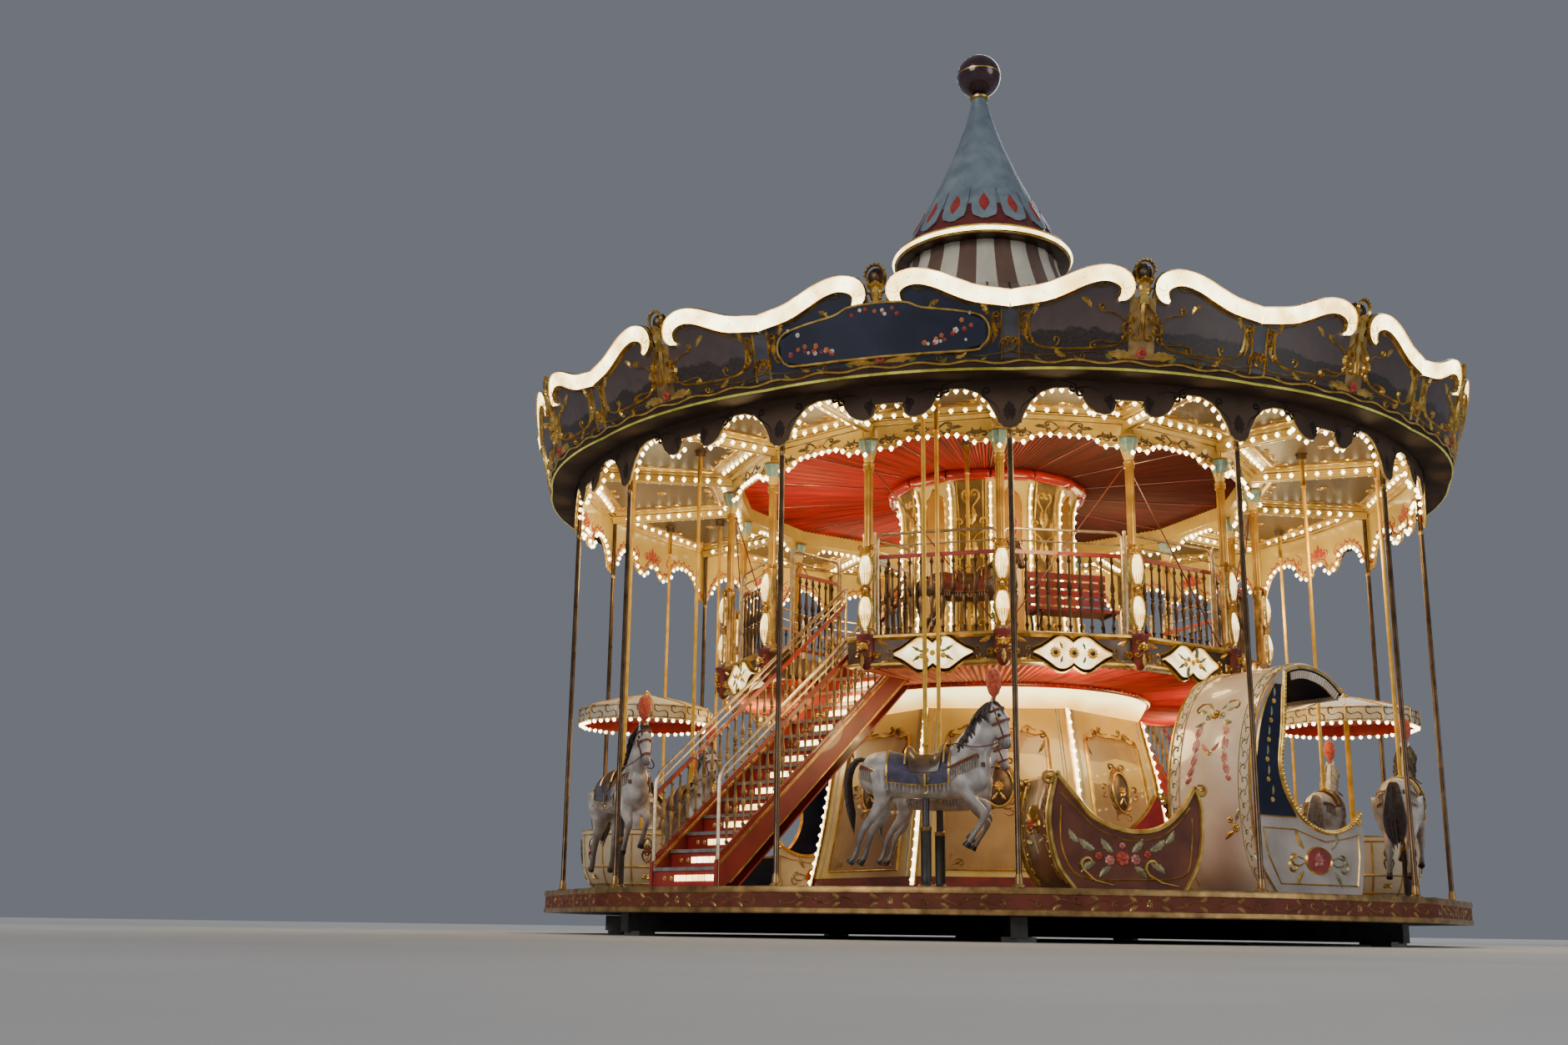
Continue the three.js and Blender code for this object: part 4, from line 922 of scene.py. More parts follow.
def blue_cartouche():
    """A wide blue shield with sprays of small flowers, on one board and the one opposite."""
    whole = Relief()
    outline = [(-1.05, 5.74), (-0.80, 5.69), (0.80, 5.69), (1.05, 5.74), (1.12, 5.88), (1.05, 6.02),
               (0.82, 6.08), (0.46, 6.13), (0.25, 6.20), (-0.25, 6.20), (-0.46, 6.13), (-0.82, 6.08),
               (-1.05, 6.02), (-1.12, 5.88)]
    rim = smooth(outline + outline[:1], 4)[:-1]
    columns = np.linspace(-1.08, 1.08, 25)
    upper = np.interp(columns, [-1.08, -0.82, -0.46, -0.25, 0.25, 0.46, 0.82, 1.08],
                      [5.97, 6.08, 6.13, 6.20, 6.20, 6.13, 6.08, 5.97])
    lower = np.interp(columns, [-1.08, -0.8, 0.8, 1.08], [5.76, 5.69, 5.69, 5.76])
    rows = [[(u, low, 0.002), (u, low, 0.036), (u, (low + high) / 2, 0.036), (u, high, 0.036),
             (u, high, 0.002)]
            for u, low, high in zip(columns, lower, upper)]
    rng = np.random.default_rng(7)
    flowers = []
    for side in (-1, 1):
        for i in range(16):
            share = i / 15
            u = side * (0.96 - 0.5 * share + rng.uniform(-0.05, 0.05))
            v = 5.76 + 0.30 * (1 - share) ** 1.5 * rng.uniform(0.1, 1.0) + rng.uniform(0, 0.03)
            flowers.append((put(rosette(rng.uniform(0.016, 0.034), 5, 0.012), u, v, rng.uniform(0, 90),
                                out=0.034),
                            2 + i % 3))
    for i in range(9):
        flowers.append((put(rosette(0.022, 5, 0.012), rng.uniform(-0.3, 0.3), rng.uniform(6.08, 6.16),
                            i * 20, out=0.034), 2 + i % 3))
    rim = np.column_stack([rim, np.full(len(rim), 0.03)])
    moulding = sweep(rim, HALF_ROUND, 0.014, closed=True, out=(0, 0, 1))
    for k in CARTOUCHE_BAYS:
        whole.lay(on_boards(k), (skin(rows), 0), (moulding, 1), *flowers)
    piece("blue_cartouches", whole, [BLUE, GOLD, PALE, FLOWER_RED, ORANGE], slot="gold")


VALANCE_RUNS = (
    [(0.0, 4.987), (0.35, 5.0), (0.65, 5.003), (0.95, 5.035), (1.2, 5.045), (1.38, 5.11)],
    [(1.38, 5.11), (1.9, 5.215), (2.8, 5.33), (4.0, 5.40), (5.4, 5.422), (6.8, 5.41), (7.6, 5.37),
     (7.85, 5.32)],
    [(7.85, 5.30), (8.4, 5.225), (9.2, 5.17), (10.0, 5.15), (10.7, 5.16), (11.15, 5.20), (11.3, 5.26)],
    [(11.3, 5.31), (12.857, 5.31)],
)


def valance_line():
    """Angle and height of the scalloped edge, all round."""
    half = np.concatenate([smooth(run, 2) for run in VALANCE_RUNS])
    whole = []
    for k in range(MODULES):
        whole += [(seam(k) + math.radians(d), h) for d, h in half]
        whole += [(seam(k + 1) - math.radians(d), h) for d, h in half[::-1][1:-1]]
    return np.array(whole)


def outer_valance():
    """The scalloped board under the rounding boards, painted outside and gilt and red inside."""
    whole = Relief()
    line = valance_line()
    inner = VALANCE_RADIUS - 0.026
    rows = [[on_circle(r, a, z)
             for r, z in ((inner, h), (VALANCE_RADIUS, h), (VALANCE_RADIUS, BEAM_TOP), (inner, BEAM_TOP))]
            for a, h in line]
    whole.add(skin(rows, loop=True), (1, 0, 1, 1) * len(line))
    trace = [on_circle(VALANCE_RADIUS - 0.004, a, h + 0.004) for a, h in line[::2]]
    whole.add(sweep(trace, circle(4), 0.008, closed=True, out=(0, 0, 1)), 3)
    half = [
        scroll((0.10, 5.16), 80, [(-60, 0.18, 0.14), (80, 0.10, 0.08), (300, 0.04, 0.014)], 0.016, 0.006),
        scroll((0.30, 5.46), 30, [(-60, 0.4, 0.3), (-320, 0.05, 0.014)], 0.015, 0.006),
        scroll((0.92, 5.40), 150, [(50, 0.3, 0.2), (320, 0.05, 0.014)], 0.015, 0.006),
        scroll((1.10, 5.24), 110, [(40, 0.2, 0.15), (320, 0.04, 0.014)], 0.014, 0.006),
        put(leaf(0.20, 0.05, 0.008, 30), 0.02, 5.08, 80),
        put(leaf(0.18, 0.045, 0.008, -30), 1.02, 5.20, 100),
    ]
    shade = paired(dense(half))
    for angle in SEAMS:
        whole.lay(on_cylinder(VALANCE_RADIUS - 0.001, angle), (shade, 2))
    # Red and gilt edging, and a red garland and sprays, on the cream inner face
    for lift, kind, radius in ((0.100, 4, 0.009), (0.048, 3, 0.006)):
        edge = [on_circle(inner - 0.003, a, h + lift) for a, h in line[::3]]
        whole.add(sweep(edge, circle(4), radius, closed=True, out=(0, 0, 1)), kind)
    garland = spaced([on_circle(inner - 0.004, a, h + 0.100) for a, h in line], 0.058)
    garland[:, 2] += 0.022 * (1 - 2 * (np.arange(len(garland)) % 2))
    whole.add(beads(garland, 0.015, 4), 4)
    spray = dense([put(leaf(0.20, 0.045, 0.008, 1), 0.0, 5.42, 90), paired(dense([
        put(leaf(0.16, 0.038, 0.008, 40), 0.02, 5.42, 50),
        put(leaf(0.13, 0.032, 0.008, 50), 0.05, 5.42, 18),
        scroll((0.06, 5.50), 30, [(-60, 0.14, 0.1), (-280, 0.045, 0.015)], 0.012, 0.008),
        scroll((0.46, 5.56), 200, [(60, 0.2, 0.1), (300, 0.05, 0.015)], 0.013, 0.008),
    ]))])
    for angle in MIDDLES:
        whole.lay(on_inside(inner - 0.001, angle), (spray, 4))
    piece("outer_valance_body", whole, [GREY_BEIGE, CREAM, SHADOW_BEIGE, GOLD, FLOWER_RED],
          replaces=["outer_valance"], slot="cream")


def on_inside(radius, centre_angle):
    """The inner face of a ring, seen from the axis."""
    def surface(across, up, out):
        angle = centre_angle - across / radius
        return np.column_stack([(radius - out) * np.sin(angle), -(radius - out) * np.cos(angle), up])
    return surface


def spaced(line, distance):
    """Places at even distances along a line of points."""
    line = np.asarray(line, float)
    steps = np.linalg.norm(np.diff(line, axis=0), axis=1)
    run = np.concatenate([[0], np.cumsum(steps)])
    count = max(1, round(run[-1] / distance))
    at = (np.arange(count) + 0.5) * run[-1] / count
    return np.column_stack([np.interp(at, run, line[:, i]) for i in range(line.shape[1])])


def bulb_piece(name, places, radius=0.029):
    whole = Relief()
    whole.add(beads(places, radius))
    made = piece(name, whole, [BULB], slot="cream")
    made.visible_diffuse = False


def valance_bulbs():
    places = []
    for run in VALANCE_RUNS[1:]:
        edge = smooth(run, 3)
        for k in range(MODULES):
            for start, sign in ((seam(k), 1), (seam(k + 1), -1)):
                line = [on_circle(VALANCE_RADIUS - 0.062, start + sign * math.radians(d), h - 0.004)
                        for d, h in edge]
                places.append(spaced(line, 0.105))
    bulb_piece("valance_bulbs", np.concatenate(places))


# Roof and crown


def canopy_roof():
    """Canvas stretched over a rib at each seam of its strips, sagging a little between them."""
    def sag(angle, height):
        return 1 - 0.010 * abs(math.sin(angle * ROOF_STRIPS / 2)) * (height > 6.0)

    profile = smooth([(5.68, 5.96), (5.68, 6.06), (4.60, 6.37), (3.0, 6.89), (1.9, 7.54), (1.45, 8.04),
                      (1.285, 8.295)], 3)
    whole = Relief()
    lower = [(r - 0.01, h - 0.012) for r, h in profile[::-1]]
    whole.add(lathe(list(profile) + lower, ROOF_STRIPS * 4, closed=True, wave=sag))
    made = piece("canvas_roof", whole, [ROOF], replaces=["canopy_roof"], slot="canvas")
    cloth_area(whole)
    seams = Relief()
    for angle in round_turns(ROOF_STRIPS):
        line = [on_circle(r + 0.002, angle, h + 0.004) for r, h in profile[3:]]
        seams.add(sweep(line, ROUND, 0.012))
    piece("canvas_roof_seams", seams, [BRONZE], slot="canvas")


def striped_neck():
    """Canvas gathered between the roof and the brim."""
    def gather(angle, height):
        return 1 - 0.018 * abs(math.sin(angle * ROOF_STRIPS / 2))

    profile = smooth([(1.278, 8.302), (1.20, 8.48), (1.13, 8.66), (1.05, 8.90), (1.03, 9.028)], 3)
    inside = [(r - 0.010, h) for r, h in profile[::-1]]
    neck = Relief()
    neck.add(lathe(list(profile) + inside, ROOF_STRIPS * 4, closed=True, wave=gather))
    made = piece("canvas_neck", neck, [NECK], replaces=["striped_neck"], slot="canvas")
    cloth_area(neck)


def crown_brim():
    """A bronze ring with two gilt mouldings, a lit tube and bulbs."""
    sides = 84
    brim = Relief()
    brim.add(lathe([(0.9, 9.03), (1.15, 9.03), (1.19, 9.045), (1.22, 9.07), (1.22, 9.135), (1.19, 9.16),
                    (1.15, 9.178), (0.9, 9.178)], sides))
    for height in (9.05, 9.155):
        brim.add(sweep(ring(1.205, height, sides), ROUND, 0.014, closed=True, out=(0, 0, 1)), 1)
    piece("crown_brim_ring", brim, [BRONZE, GOLD], slot="gold")
    glow = Relief()
    glow.add(lathe([(1.215, 9.068), (1.238, 9.08), (1.246, 9.10), (1.238, 9.12), (1.215, 9.135)], sides,
                   closed=True))
    piece("crown_lit_ring", glow, [LED], slot="cream")
    bulb_piece("crown_bulbs", ring(1.222, 9.10, 72), 0.023)


CONE = smooth([(1.08, 9.18), (1.02, 9.30), (0.965, 9.44), (0.90, 9.58), (0.83, 9.70), (0.74, 9.90),
               (0.63, 10.15), (0.52, 10.38), (0.43, 10.60), (0.345, 10.80), (0.275, 11.00), (0.20, 11.22),
               (0.148, 11.42), (0.115, 11.55), (0.108, 11.658)], 2)


def cone_scale(angle, top, drop, spread, lift, width):
    """A bowed scale on the cone. width(share) runs from top to tip, spread is its share of a module."""
    rows = []
    for share in np.linspace(0, 1, 9):
        height = top - share * drop
        radius = np.interp(height, CONE[:, 1], CONE[:, 0])
        half = width(share) * spread * STEP / 2
        bow = lift * (1.4 - np.linspace(-1, 1, 5) ** 2)
        front = [on_circle(radius + b, angle + t, height) for t, b in zip(np.linspace(-half, half, 5), bow)]
        rows.append(front + [on_circle(radius - 0.02, angle + t, height) for t in (half, -half)])
    return skin(rows)


def crown_cone():
    """A painted cone with a fluted foot, and a row of long scales with red lozenges over a dark red band."""
    def flutes(angle, height):
        return 1 - 0.03 * abs(math.sin(angle * MODULES / 2)) * np.clip((10.6 - height) / 1.4, 0, 1)

    def blunt(share):
        if share < 0.75:
            return 0.92 - 0.15 * share
        return 0.80 * math.sqrt(max(0.02, 1 - (share - 0.75) ** 2 / 0.0626))

    def pointed(share):
        return math.sin(math.pi * min(0.985, share * 0.97 + 0.015))

    cone = Relief()
    points, faces = lathe(CONE, MODULES * 6, wave=flutes)
    cone.add((points, faces), [1 if points[list(face), 2].mean() < 9.62 else 0 for face in faces])
    for angle in SEAMS:
        cone.add(cone_scale(angle, 9.92, 0.59, 1.0, 0.012, blunt), 0)
        cone.add(cone_scale(angle, 9.80, 0.34, 0.42, 0.022, pointed), 2)
    cone.add(lathe([(0.10, 11.60), (0.135, 11.62), (0.135, 11.65), (0.10, 11.659)], 24), 3)
    piece("crown_cone_tiles", cone, [SLATE_CONE, DARK_RED, LOZENGE_RED, GOLD], replaces=["crown_cone"],
          slot="crown")


def crown_ball():
    """The ball on its short neck, with a gilt line round it."""
    ball = Relief()
    turns = np.linspace(-0.47 * math.pi, 0.497 * math.pi, 25)
    globe = [(0.309 * math.cos(t), 11.99 + 0.309 * math.sin(t)) for t in turns]
    ball.add(lathe([(0.088, 11.661), (0.088, 11.685)] + globe, 40))
    ball.add(lathe([(0.311, 11.98), (0.3115, 11.99), (0.311, 12.0), (0.30, 11.99)], 40, closed=True), 1)
    piece("crown_ball", ball, [BALL_PAINT, GOLD], replaces=["finial_ball"], slot="ball")


# Inner valance, ceiling and linings


def sided(profile, sides, turn=0.0):
    """A ring with flat sides, from (distance of the flats, height) points."""
    grow = 1 / math.cos(math.pi / sides)
    return lathe([(distance * grow, height) for distance, height in profile], sides, turn, closed=True)


def banded(sides, kinds):
    """Finishes of a ring's faces, one kind for each step of its profile."""
    return [kind for kind in kinds for _ in range(sides)]


INNER_WALL = 3.349
INNER_PANEL_TOP = 5.745
# Lower edge of the inner valance, from the middle of a bay to its column
INNER_ARCH = (
    [(0.0, 5.592), (0.20, 5.592), (0.33, 5.578), (0.395, 5.542), (0.42, 5.505)],
    [(0.42, 5.500), (0.50, 5.488), (0.58, 5.492), (0.68, 5.500)],
)


def inner_valance():
    """The moulded ring beam, with a scalloped cream board and bulbs on each side."""
    beam = Relief()
    profile = [(3.237, 5.62), (3.335, 5.62), (3.335, 5.735), (3.352, 5.738), (3.352, 5.752), (3.372, 5.760),
               (3.372, 5.776), (3.396, 5.788), (3.396, 5.802), (3.420, 5.808), (3.420, 5.822),
               (3.237, 5.822)]
    beam.add(sided(profile, MODULES), banded(MODULES, (0, 0, 0, 0, 4, 0, 0, 0, 4, 0, 0, 0)))
    runs = [smooth(run, 4) for run in INNER_ARCH]
    half = np.concatenate(runs)
    line = np.concatenate([half[::-1] * [-1, 1], half[1:]])
    panel = skin([[(u, h, -0.030), (u, h, 0), (u, INNER_PANEL_TOP, 0), (u, INNER_PANEL_TOP, -0.030)]
                  for u, h in line])
    edge = strand(line + [0, 0.008], 0.007, 0.008, ends=(1, 1))
    fine = strand(line * [0.985, 1] + [0, 0.034], 0.0035, 0.004, ends=(1, 1))
    vee = paired(dense([
        scroll((0.0, 0.0), 72, [(-40, 0.10, 0.09), (-60, 0.07, 0.05), (-220, 0.030, 0.010)], 0.015, 0.010),
        put(leaf(0.13, 0.028, 0.010, 40, 3), 0.004, 0.0, 48),
        scroll((0.0, 0.0), 20, [(60, 0.07, 0.06), (230, 0.026, 0.010)], 0.012, 0.010),
    ]))
    small_vee = paired(scroll((0.0, 0.0), 60, [(-40, 0.10, 0.09), (-60, 0.07, 0.05), (-220, 0.030, 0.010)],
                              0.017, 0.012))
    middle_spray = paired(dense([
        scroll((0.02, 5.655), 15, [(40, 0.12, 0.10), (-75, 0.11, 0.09), (-260, 0.030, 0.010)], 0.014, 0.008),
        scroll((0.03, 5.695), -25, [(-30, 0.12, 0.10), (70, 0.11, 0.09), (250, 0.028, 0.010)], 0.013, 0.008),
        put(leaf(0.15, 0.026, 0.008, -40, 3), 0.20, 5.665, 25),
    ]))
    items = [(edge, 1), (fine, 3), (middle_spray, 5), (put(rosette(0.030, 6, 0.012), 0, 5.672), 3)]
    for side in (-1, 1):
        items.append((put(vee, side * 0.505, 5.545), 5))
        items.append((put(small_vee, side * 0.505, 5.552, size=0.5, out=0.004), 1))
    bulbs = []
    for angle in MIDDLES:
        surface = on_wall(INNER_WALL, angle)
        beam.add(laid(surface, panel))
        beam.lay(surface, *items)
        for run in runs:
            for side in (-1, 1):
                at = spaced(run, 0.112)
                bulbs.append(surface(side * at[:, 0], at[:, 1] - 0.012, np.full(len(at), 0.014)))
    piece("inner_valance", beam, [CREAM, GOLD, LEAF_GREEN, ORANGE, OLD_GOLD, SCROLL_BROWN],
          replaces=["ring_beam"], slot="cream")
    bulb_piece("inner_valance_bulbs", np.concatenate(bulbs), 0.031)


def ceiling_beam():
    """Half section of a radial beam, as (across, height) points down its side."""
    side = [(0.100, 5.835), (0.100, 5.815), (0.082, 5.800), (0.082, 5.782), (0.068, 5.768), (0.068, 5.748),
            (0.055, 5.735), (0.055, 5.708), (0.046, 5.702), (0.030, 5.702), (0.028, 5.708)]
    section = side + [(-x, h) for x, h in side[::-1]]
    part = skin([[(x, -r, h) for x, h in section] for r in (3.43, 5.402)])
    return part, [2 if j in (2, 10, 18) else 0 for j in range(len(section))] + [0, 0]


def ceiling_bay():
    """A bay's painted panel with its frame, corners and sprays, as (part, kind), flat on the ceiling."""
    slope = math.tan(STEP / 2)
    near, far = 3.66, 5.14
    near_half, far_half = near * slope - 0.235, far * slope - 0.235
    corners = [(-near_half, near), (near_half, near), (far_half, far), (-far_half, far)]
    frame_line = []
    for (x0, y0), (x1, y1) in zip(corners, corners[1:] + corners[:1]):
        frame_line += [(x0 + (x1 - x0) * t, y0 + (y1 - y0) * t, 0.006) for t in (0, 0.1, 0.5, 0.9)]
    outline = [(x, y) for x, y, _ in frame_line]
    side_turn = math.degrees(math.atan2(far - near, far_half - near_half))
    corner = dense([put(leaf(0.30, 0.050, 0.024, 35, 4), turn=8),
                    put(leaf(0.24, 0.042, 0.022, -35, 4), turn=76),
                    scroll((0.03, 0.03), 45, [(-60, 0.12, 0.10), (-280, 0.05, 0.016)], 0.014, 0.018),
                    scroll((0.03, 0.03), 45, [(60, 0.12, 0.10), (280, 0.05, 0.016)], 0.014, 0.018)])
    spray = paired(dense([scroll((0.0, 0.0), 20, [(40, 0.12, 0.1), (-70, 0.10, 0.08), (-260, 0.035, 0.012)],
                                 0.012, 0.016),
                          put(leaf(0.16, 0.028, 0.016, -40, 3), 0.0, 0.01, 35)]))
    return [
        (plate(outline, 0.0, 0.006), 3),
        (sweep(frame_line, HALF_ROUND, (0.052, 0.014), closed=True, out=(0, 0, 1)), 2),
        (sweep(frame_line, HALF_ROUND, (0.024, 0.026), closed=True, out=(0, 0, 1)), 1),
        (put(corner, -near_half + 0.01, near + 0.01), 1),
        (put(corner, -near_half + 0.01, near + 0.01, mirror=True), 1),
        (put(corner, -far_half + 0.01, far - 0.01, turn=-90), 1),
        (put(corner, -far_half + 0.01, far - 0.01, turn=-90, mirror=True), 1),
        (put(spray, 0, near + 0.03, out=0.006), 1), (put(spray, 0, far - 0.03, 180, out=0.006), 1),
        (put(spray, (near_half + far_half) / 2 - 0.03, (near + far) / 2, side_turn, out=0.006), 1),
        (put(spray, (near_half + far_half) / 2 - 0.03, (near + far) / 2, side_turn, mirror=True, out=0.006),
         1),
        (put(rosette(0.075, 8, 0.02), 0, (near + far) / 2, out=0.006), 1),
    ]


def ceiling():
    """Cream ceiling of the outer ring: a moulded beam at each seam and a painted panel in each bay."""
    whole = Relief()
    sides = 84
    whole.add(lathe([(1.20, CEILING), (5.416, CEILING), (5.416, 5.895), (1.20, 5.895)], sides, closed=True))
    whole.add(lathe([(5.30, 5.838), (5.30, 5.822), (5.33, 5.818), (5.345, 5.800), (5.375, 5.795),
                     (5.39, 5.775), (5.414, 5.770), (5.414, 5.838)], sides, closed=True),
              banded(sides, (0, 0, 2, 0, 2, 0, 0, 0)))
    beam, kinds = ceiling_beam()
    bay = ceiling_bay()
    bulbs = []
    for k in range(MODULES):
        for r in np.arange(3.60, 5.30, 0.155):
            bulbs.append(swung([(-0.082, -r, 5.742), (0.082, -r, 5.742)], seam(k)))
        surface = on_ceiling(k, CEILING)
        for reach, half, count in ((3.515, 0.58, 8), (5.235, 0.86, 10)):
            bulbs.append(surface(np.linspace(-half, half, count), np.full(count, reach),
                                 np.full(count, 0.016)))
        whole.add(turned(beam, seam(k)), kinds)
        whole.lay(surface, *bay)
    piece("ceiling_panels", whole, [CREAM, GOLD, OLD_GOLD, CEILING_VIEW], replaces=["canopy_ceiling"],
          slot="cream")
    bulb_piece("ceiling_bulbs", np.concatenate(bulbs), 0.031)


HORSE_MODULES = (13, 2, 4, 6, 9, 11)
HORSE_LEAD = math.radians(2.8)
ROWS = {"outer": (4.95, 1.54, 1.0), "inner": (4.10, 1.455, 0.85)}
UPPER_ROW = (2.35, 3.99, 0.78)
UPPER_ANGLES = (math.radians(-8), math.radians(172))


def pole_sockets():
    """Gilt tubes that the tops of the horse poles run in, with a dark collar at the ceiling."""
    whole = Relief()
    spots = [(ROWS[row][0], middle(k) + HORSE_LEAD) for k in HORSE_MODULES for row in ROWS]
    spots += [(UPPER_ROW[0], angle) for angle in UPPER_ANGLES]
    tube = lathe([(0.0236, 5.40), (0.030, 5.40), (0.033, 5.41), (0.033, 5.43), (0.029, 5.44), (0.029, 5.76),
                  (0.0236, 5.76)],
                 12, closed=True)
    collar = lathe([(0.0236, 5.755), (0.055, 5.755), (0.062, 5.77), (0.062, 5.80), (0.078, 5.83),
                    (0.078, 5.84), (0.0236, 5.84)],
                   12, closed=True)
    for radius, angle in spots:
        centre = on_circle(radius, angle)
        whole.add(moved(tube, centre), 0)
        whole.add(moved(collar, centre), 1)
    piece("pole_sockets", whole, [GOLD, BRONZE], slot="bronze")


def pleated(inner, outer, heights, depth, angles, loop=True, thick=0.004, between=(0, 9), first=0):
    """Radial pleats between two radii, functions of the angle, pressed to a depth at the outer edge."""
    rows = []
    for i, angle in enumerate(angles, first):
        ends = (inner(angle), outer(angle))
        fold = depth * (1 if i % 2 else -1) / ends[1]
        low = [on_circle(r, angle, np.interp(r, ends, heights) + fold * r)
               for r in (max(ends[0], between[0]), min(ends[1], between[1]))]
        rows.append(low + [p + [0, 0, thick] for p in low[::-1]])
    part = skin(rows, loop=loop)
    # The two sides of each pleat take the two finishes in turn, a lighter and a darker one: painted light and
    # shade.
    return part, [(first + i // 4) % 2 for i in range(len(part[1]))]


def cloth_area(relief):
    """Half the surface of a thin closed cloth, in square metres."""
    points = np.concatenate(relief.points)
    total = 0.0
    for face in relief.faces:
        corner = points[list(face)]
        for i in range(1, len(face) - 1):
            total += np.linalg.norm(np.cross(corner[i] - corner[0], corner[i + 1] - corner[0])) / 2
    return total / 2


def flats(distance):
    """Radius of a ring with fourteen flat sides at an angle."""
    return lambda angle: distance / math.cos((angle / STEP) % 1 * STEP - STEP / 2)


def red_ceiling():
    """Pleated red cloth from the core's roll out to the inner valance, with painted light and shade on the
    sides of its folds, and a tape at each seam.
    """
    whole = Relief()
    folds = 44 * MODULES
    angles = round_turns(folds)
    ends = (lambda a: 1.25, flats(3.234), (5.780, 5.798), 0.012)
    slot = (UPPER_ROW[0] - 0.04, UPPER_ROW[0] + 0.04)
    whole.add(*pleated(*ends, angles, between=(0, slot[0])))
    whole.add(*pleated(*ends, angles, between=(slot[1], 9)))
    cuts = sorted(int(angle % (2 * math.pi) / angles[1]) for angle in UPPER_ANGLES)
    for start, stop in ((cuts[0], cuts[1]), (cuts[1], cuts[0] + folds)):
        kept = np.arange(start + 2, stop) % folds
        whole.add(*pleated(*ends, angles[kept], loop=False, between=slot, first=start))
    made = piece("red_ceiling_cloth", whole, [RED_PLEATS_PAINTED_LIGHT, RED_FOLD_PAINTED_SHADE], slot="red", sharp=20.0)
    cloth_area(whole)
    tapes = Relief()
    for angle in SEAMS:
        tapes.add(sweep([on_circle(1.26, angle, 5.772), on_circle(3.22, angle, 5.788)], SQUARE,
                        (0.010, 0.003)))
    piece("red_ceiling_tapes", tapes, [DARK_RED], slot="red")


def core_roll():
    """A padded red roll in fourteen lengths, pinched where they meet."""
    whole = Relief()
    share = np.array([0, 0.02, 0.07, 0.2, 0.5, 0.8, 0.93, 0.98, 1])
    size = np.array([0.042, 0.060, 0.071, 0.076, 0.078, 0.076, 0.071, 0.060, 0.042])
    for k in range(MODULES):
        start, end = on_circle(1.268, seam(k), 5.716), on_circle(1.268, seam(k + 1), 5.716)
        whole.add(sweep(start + np.outer(share, end - start), FINE_ROUND, size, out=(0, 0, 1)))
    made = piece("core_roll_padding", whole, [RED_VINYL], slot="red")


CORE = [(1.250, 3.224), (1.250, 3.390), (1.225, 3.405), (1.215, 3.440), (1.190, 3.480), (1.150, 3.95),
        (1.120, 4.40), (1.122, 4.90), (1.130, 5.40), (1.165, 5.56), (1.222, 5.697)]
DRUM = [(2.350, 0.505), (2.325, 0.60), (2.300, 0.700), (2.225, 1.02), (2.170, 1.300), (2.115, 1.62),
        (2.070, 1.950), (1.985, 2.32), (1.900, 2.678)]


def on_faces(profile, sides, angle):
    """A flat side of a tapering body, whose profile is (corner radius, height)."""
    profile = np.asarray(profile, float)
    flat = math.cos(math.pi / sides)

    def surface(across, up, out):
        reach = np.interp(up, profile[:, 1], profile[:, 0]) * flat + out
        return swung(np.column_stack([across, -reach, up]), angle)
    return surface


def core_corner():
    """A line up a corner of the core that faces -Y."""
    radii, heights = np.transpose(CORE)
    return [on_circle(np.interp(height, heights, radii) + 0.002, 0, height)
            for height in np.linspace(3.50, 5.62, 12)]


def gilt_face():
    """Scrolls and leaves of a gilt face of the core, on their ground: its own brown paint, darkened as
    painted shade between the scrolls.
    """
    gold_face = paired(dense([
        scroll((0.015, 3.62), 60, [(-50, 0.14, 0.12), (120, 0.11, 0.08), (240, 0.06, 0.016)], 0.0172, 0.028),
        scroll((0.02, 3.98), 75, [(-60, 0.17, 0.15), (110, 0.13, 0.09), (280, 0.06, 0.016)], 0.0174, 0.030),
        scroll((0.02, 4.42), 75, [(-60, 0.18, 0.16), (110, 0.13, 0.09), (280, 0.06, 0.016)], 0.0174, 0.030),
        scroll((0.02, 4.88), 75, [(-60, 0.17, 0.15), (110, 0.12, 0.09), (280, 0.055, 0.016)], 0.0174, 0.030),
        scroll((0.02, 5.30), 80, [(-40, 0.17, 0.15), (100, 0.11, 0.07), (280, 0.050, 0.016)], 0.0170, 0.028),
        put(leaf(0.26, 0.048, 0.026, 50, 4), 0.01, 3.80, 62),
        put(leaf(0.26, 0.048, 0.026, 50, 4), 0.01, 4.21, 62),
        put(leaf(0.26, 0.048, 0.026, 50, 4), 0.01, 4.66, 62),
        put(leaf(0.24, 0.042, 0.026, 50, 4), 0.01, 5.10, 62),
        strand([(0.165, 3.56), (0.150, 4.4), (0.155, 5.2), (0.172, 5.66)], 0.009, 0.016, ends=(1, 1)),
    ]))
    edge = [(3.54, 0.200), (3.95, 0.186), (4.40, 0.178), (4.90, 0.180), (5.40, 0.186), (5.56, 0.194),
            (5.67, 0.204)]
    ground = sweep([(0, height, 0) for height, _ in edge], SQUARE,
                   np.array([(half, 0.003) for _, half in edge]), out=(0, 0, 1))
    return [(ground, 7), (gold_face, 3)]


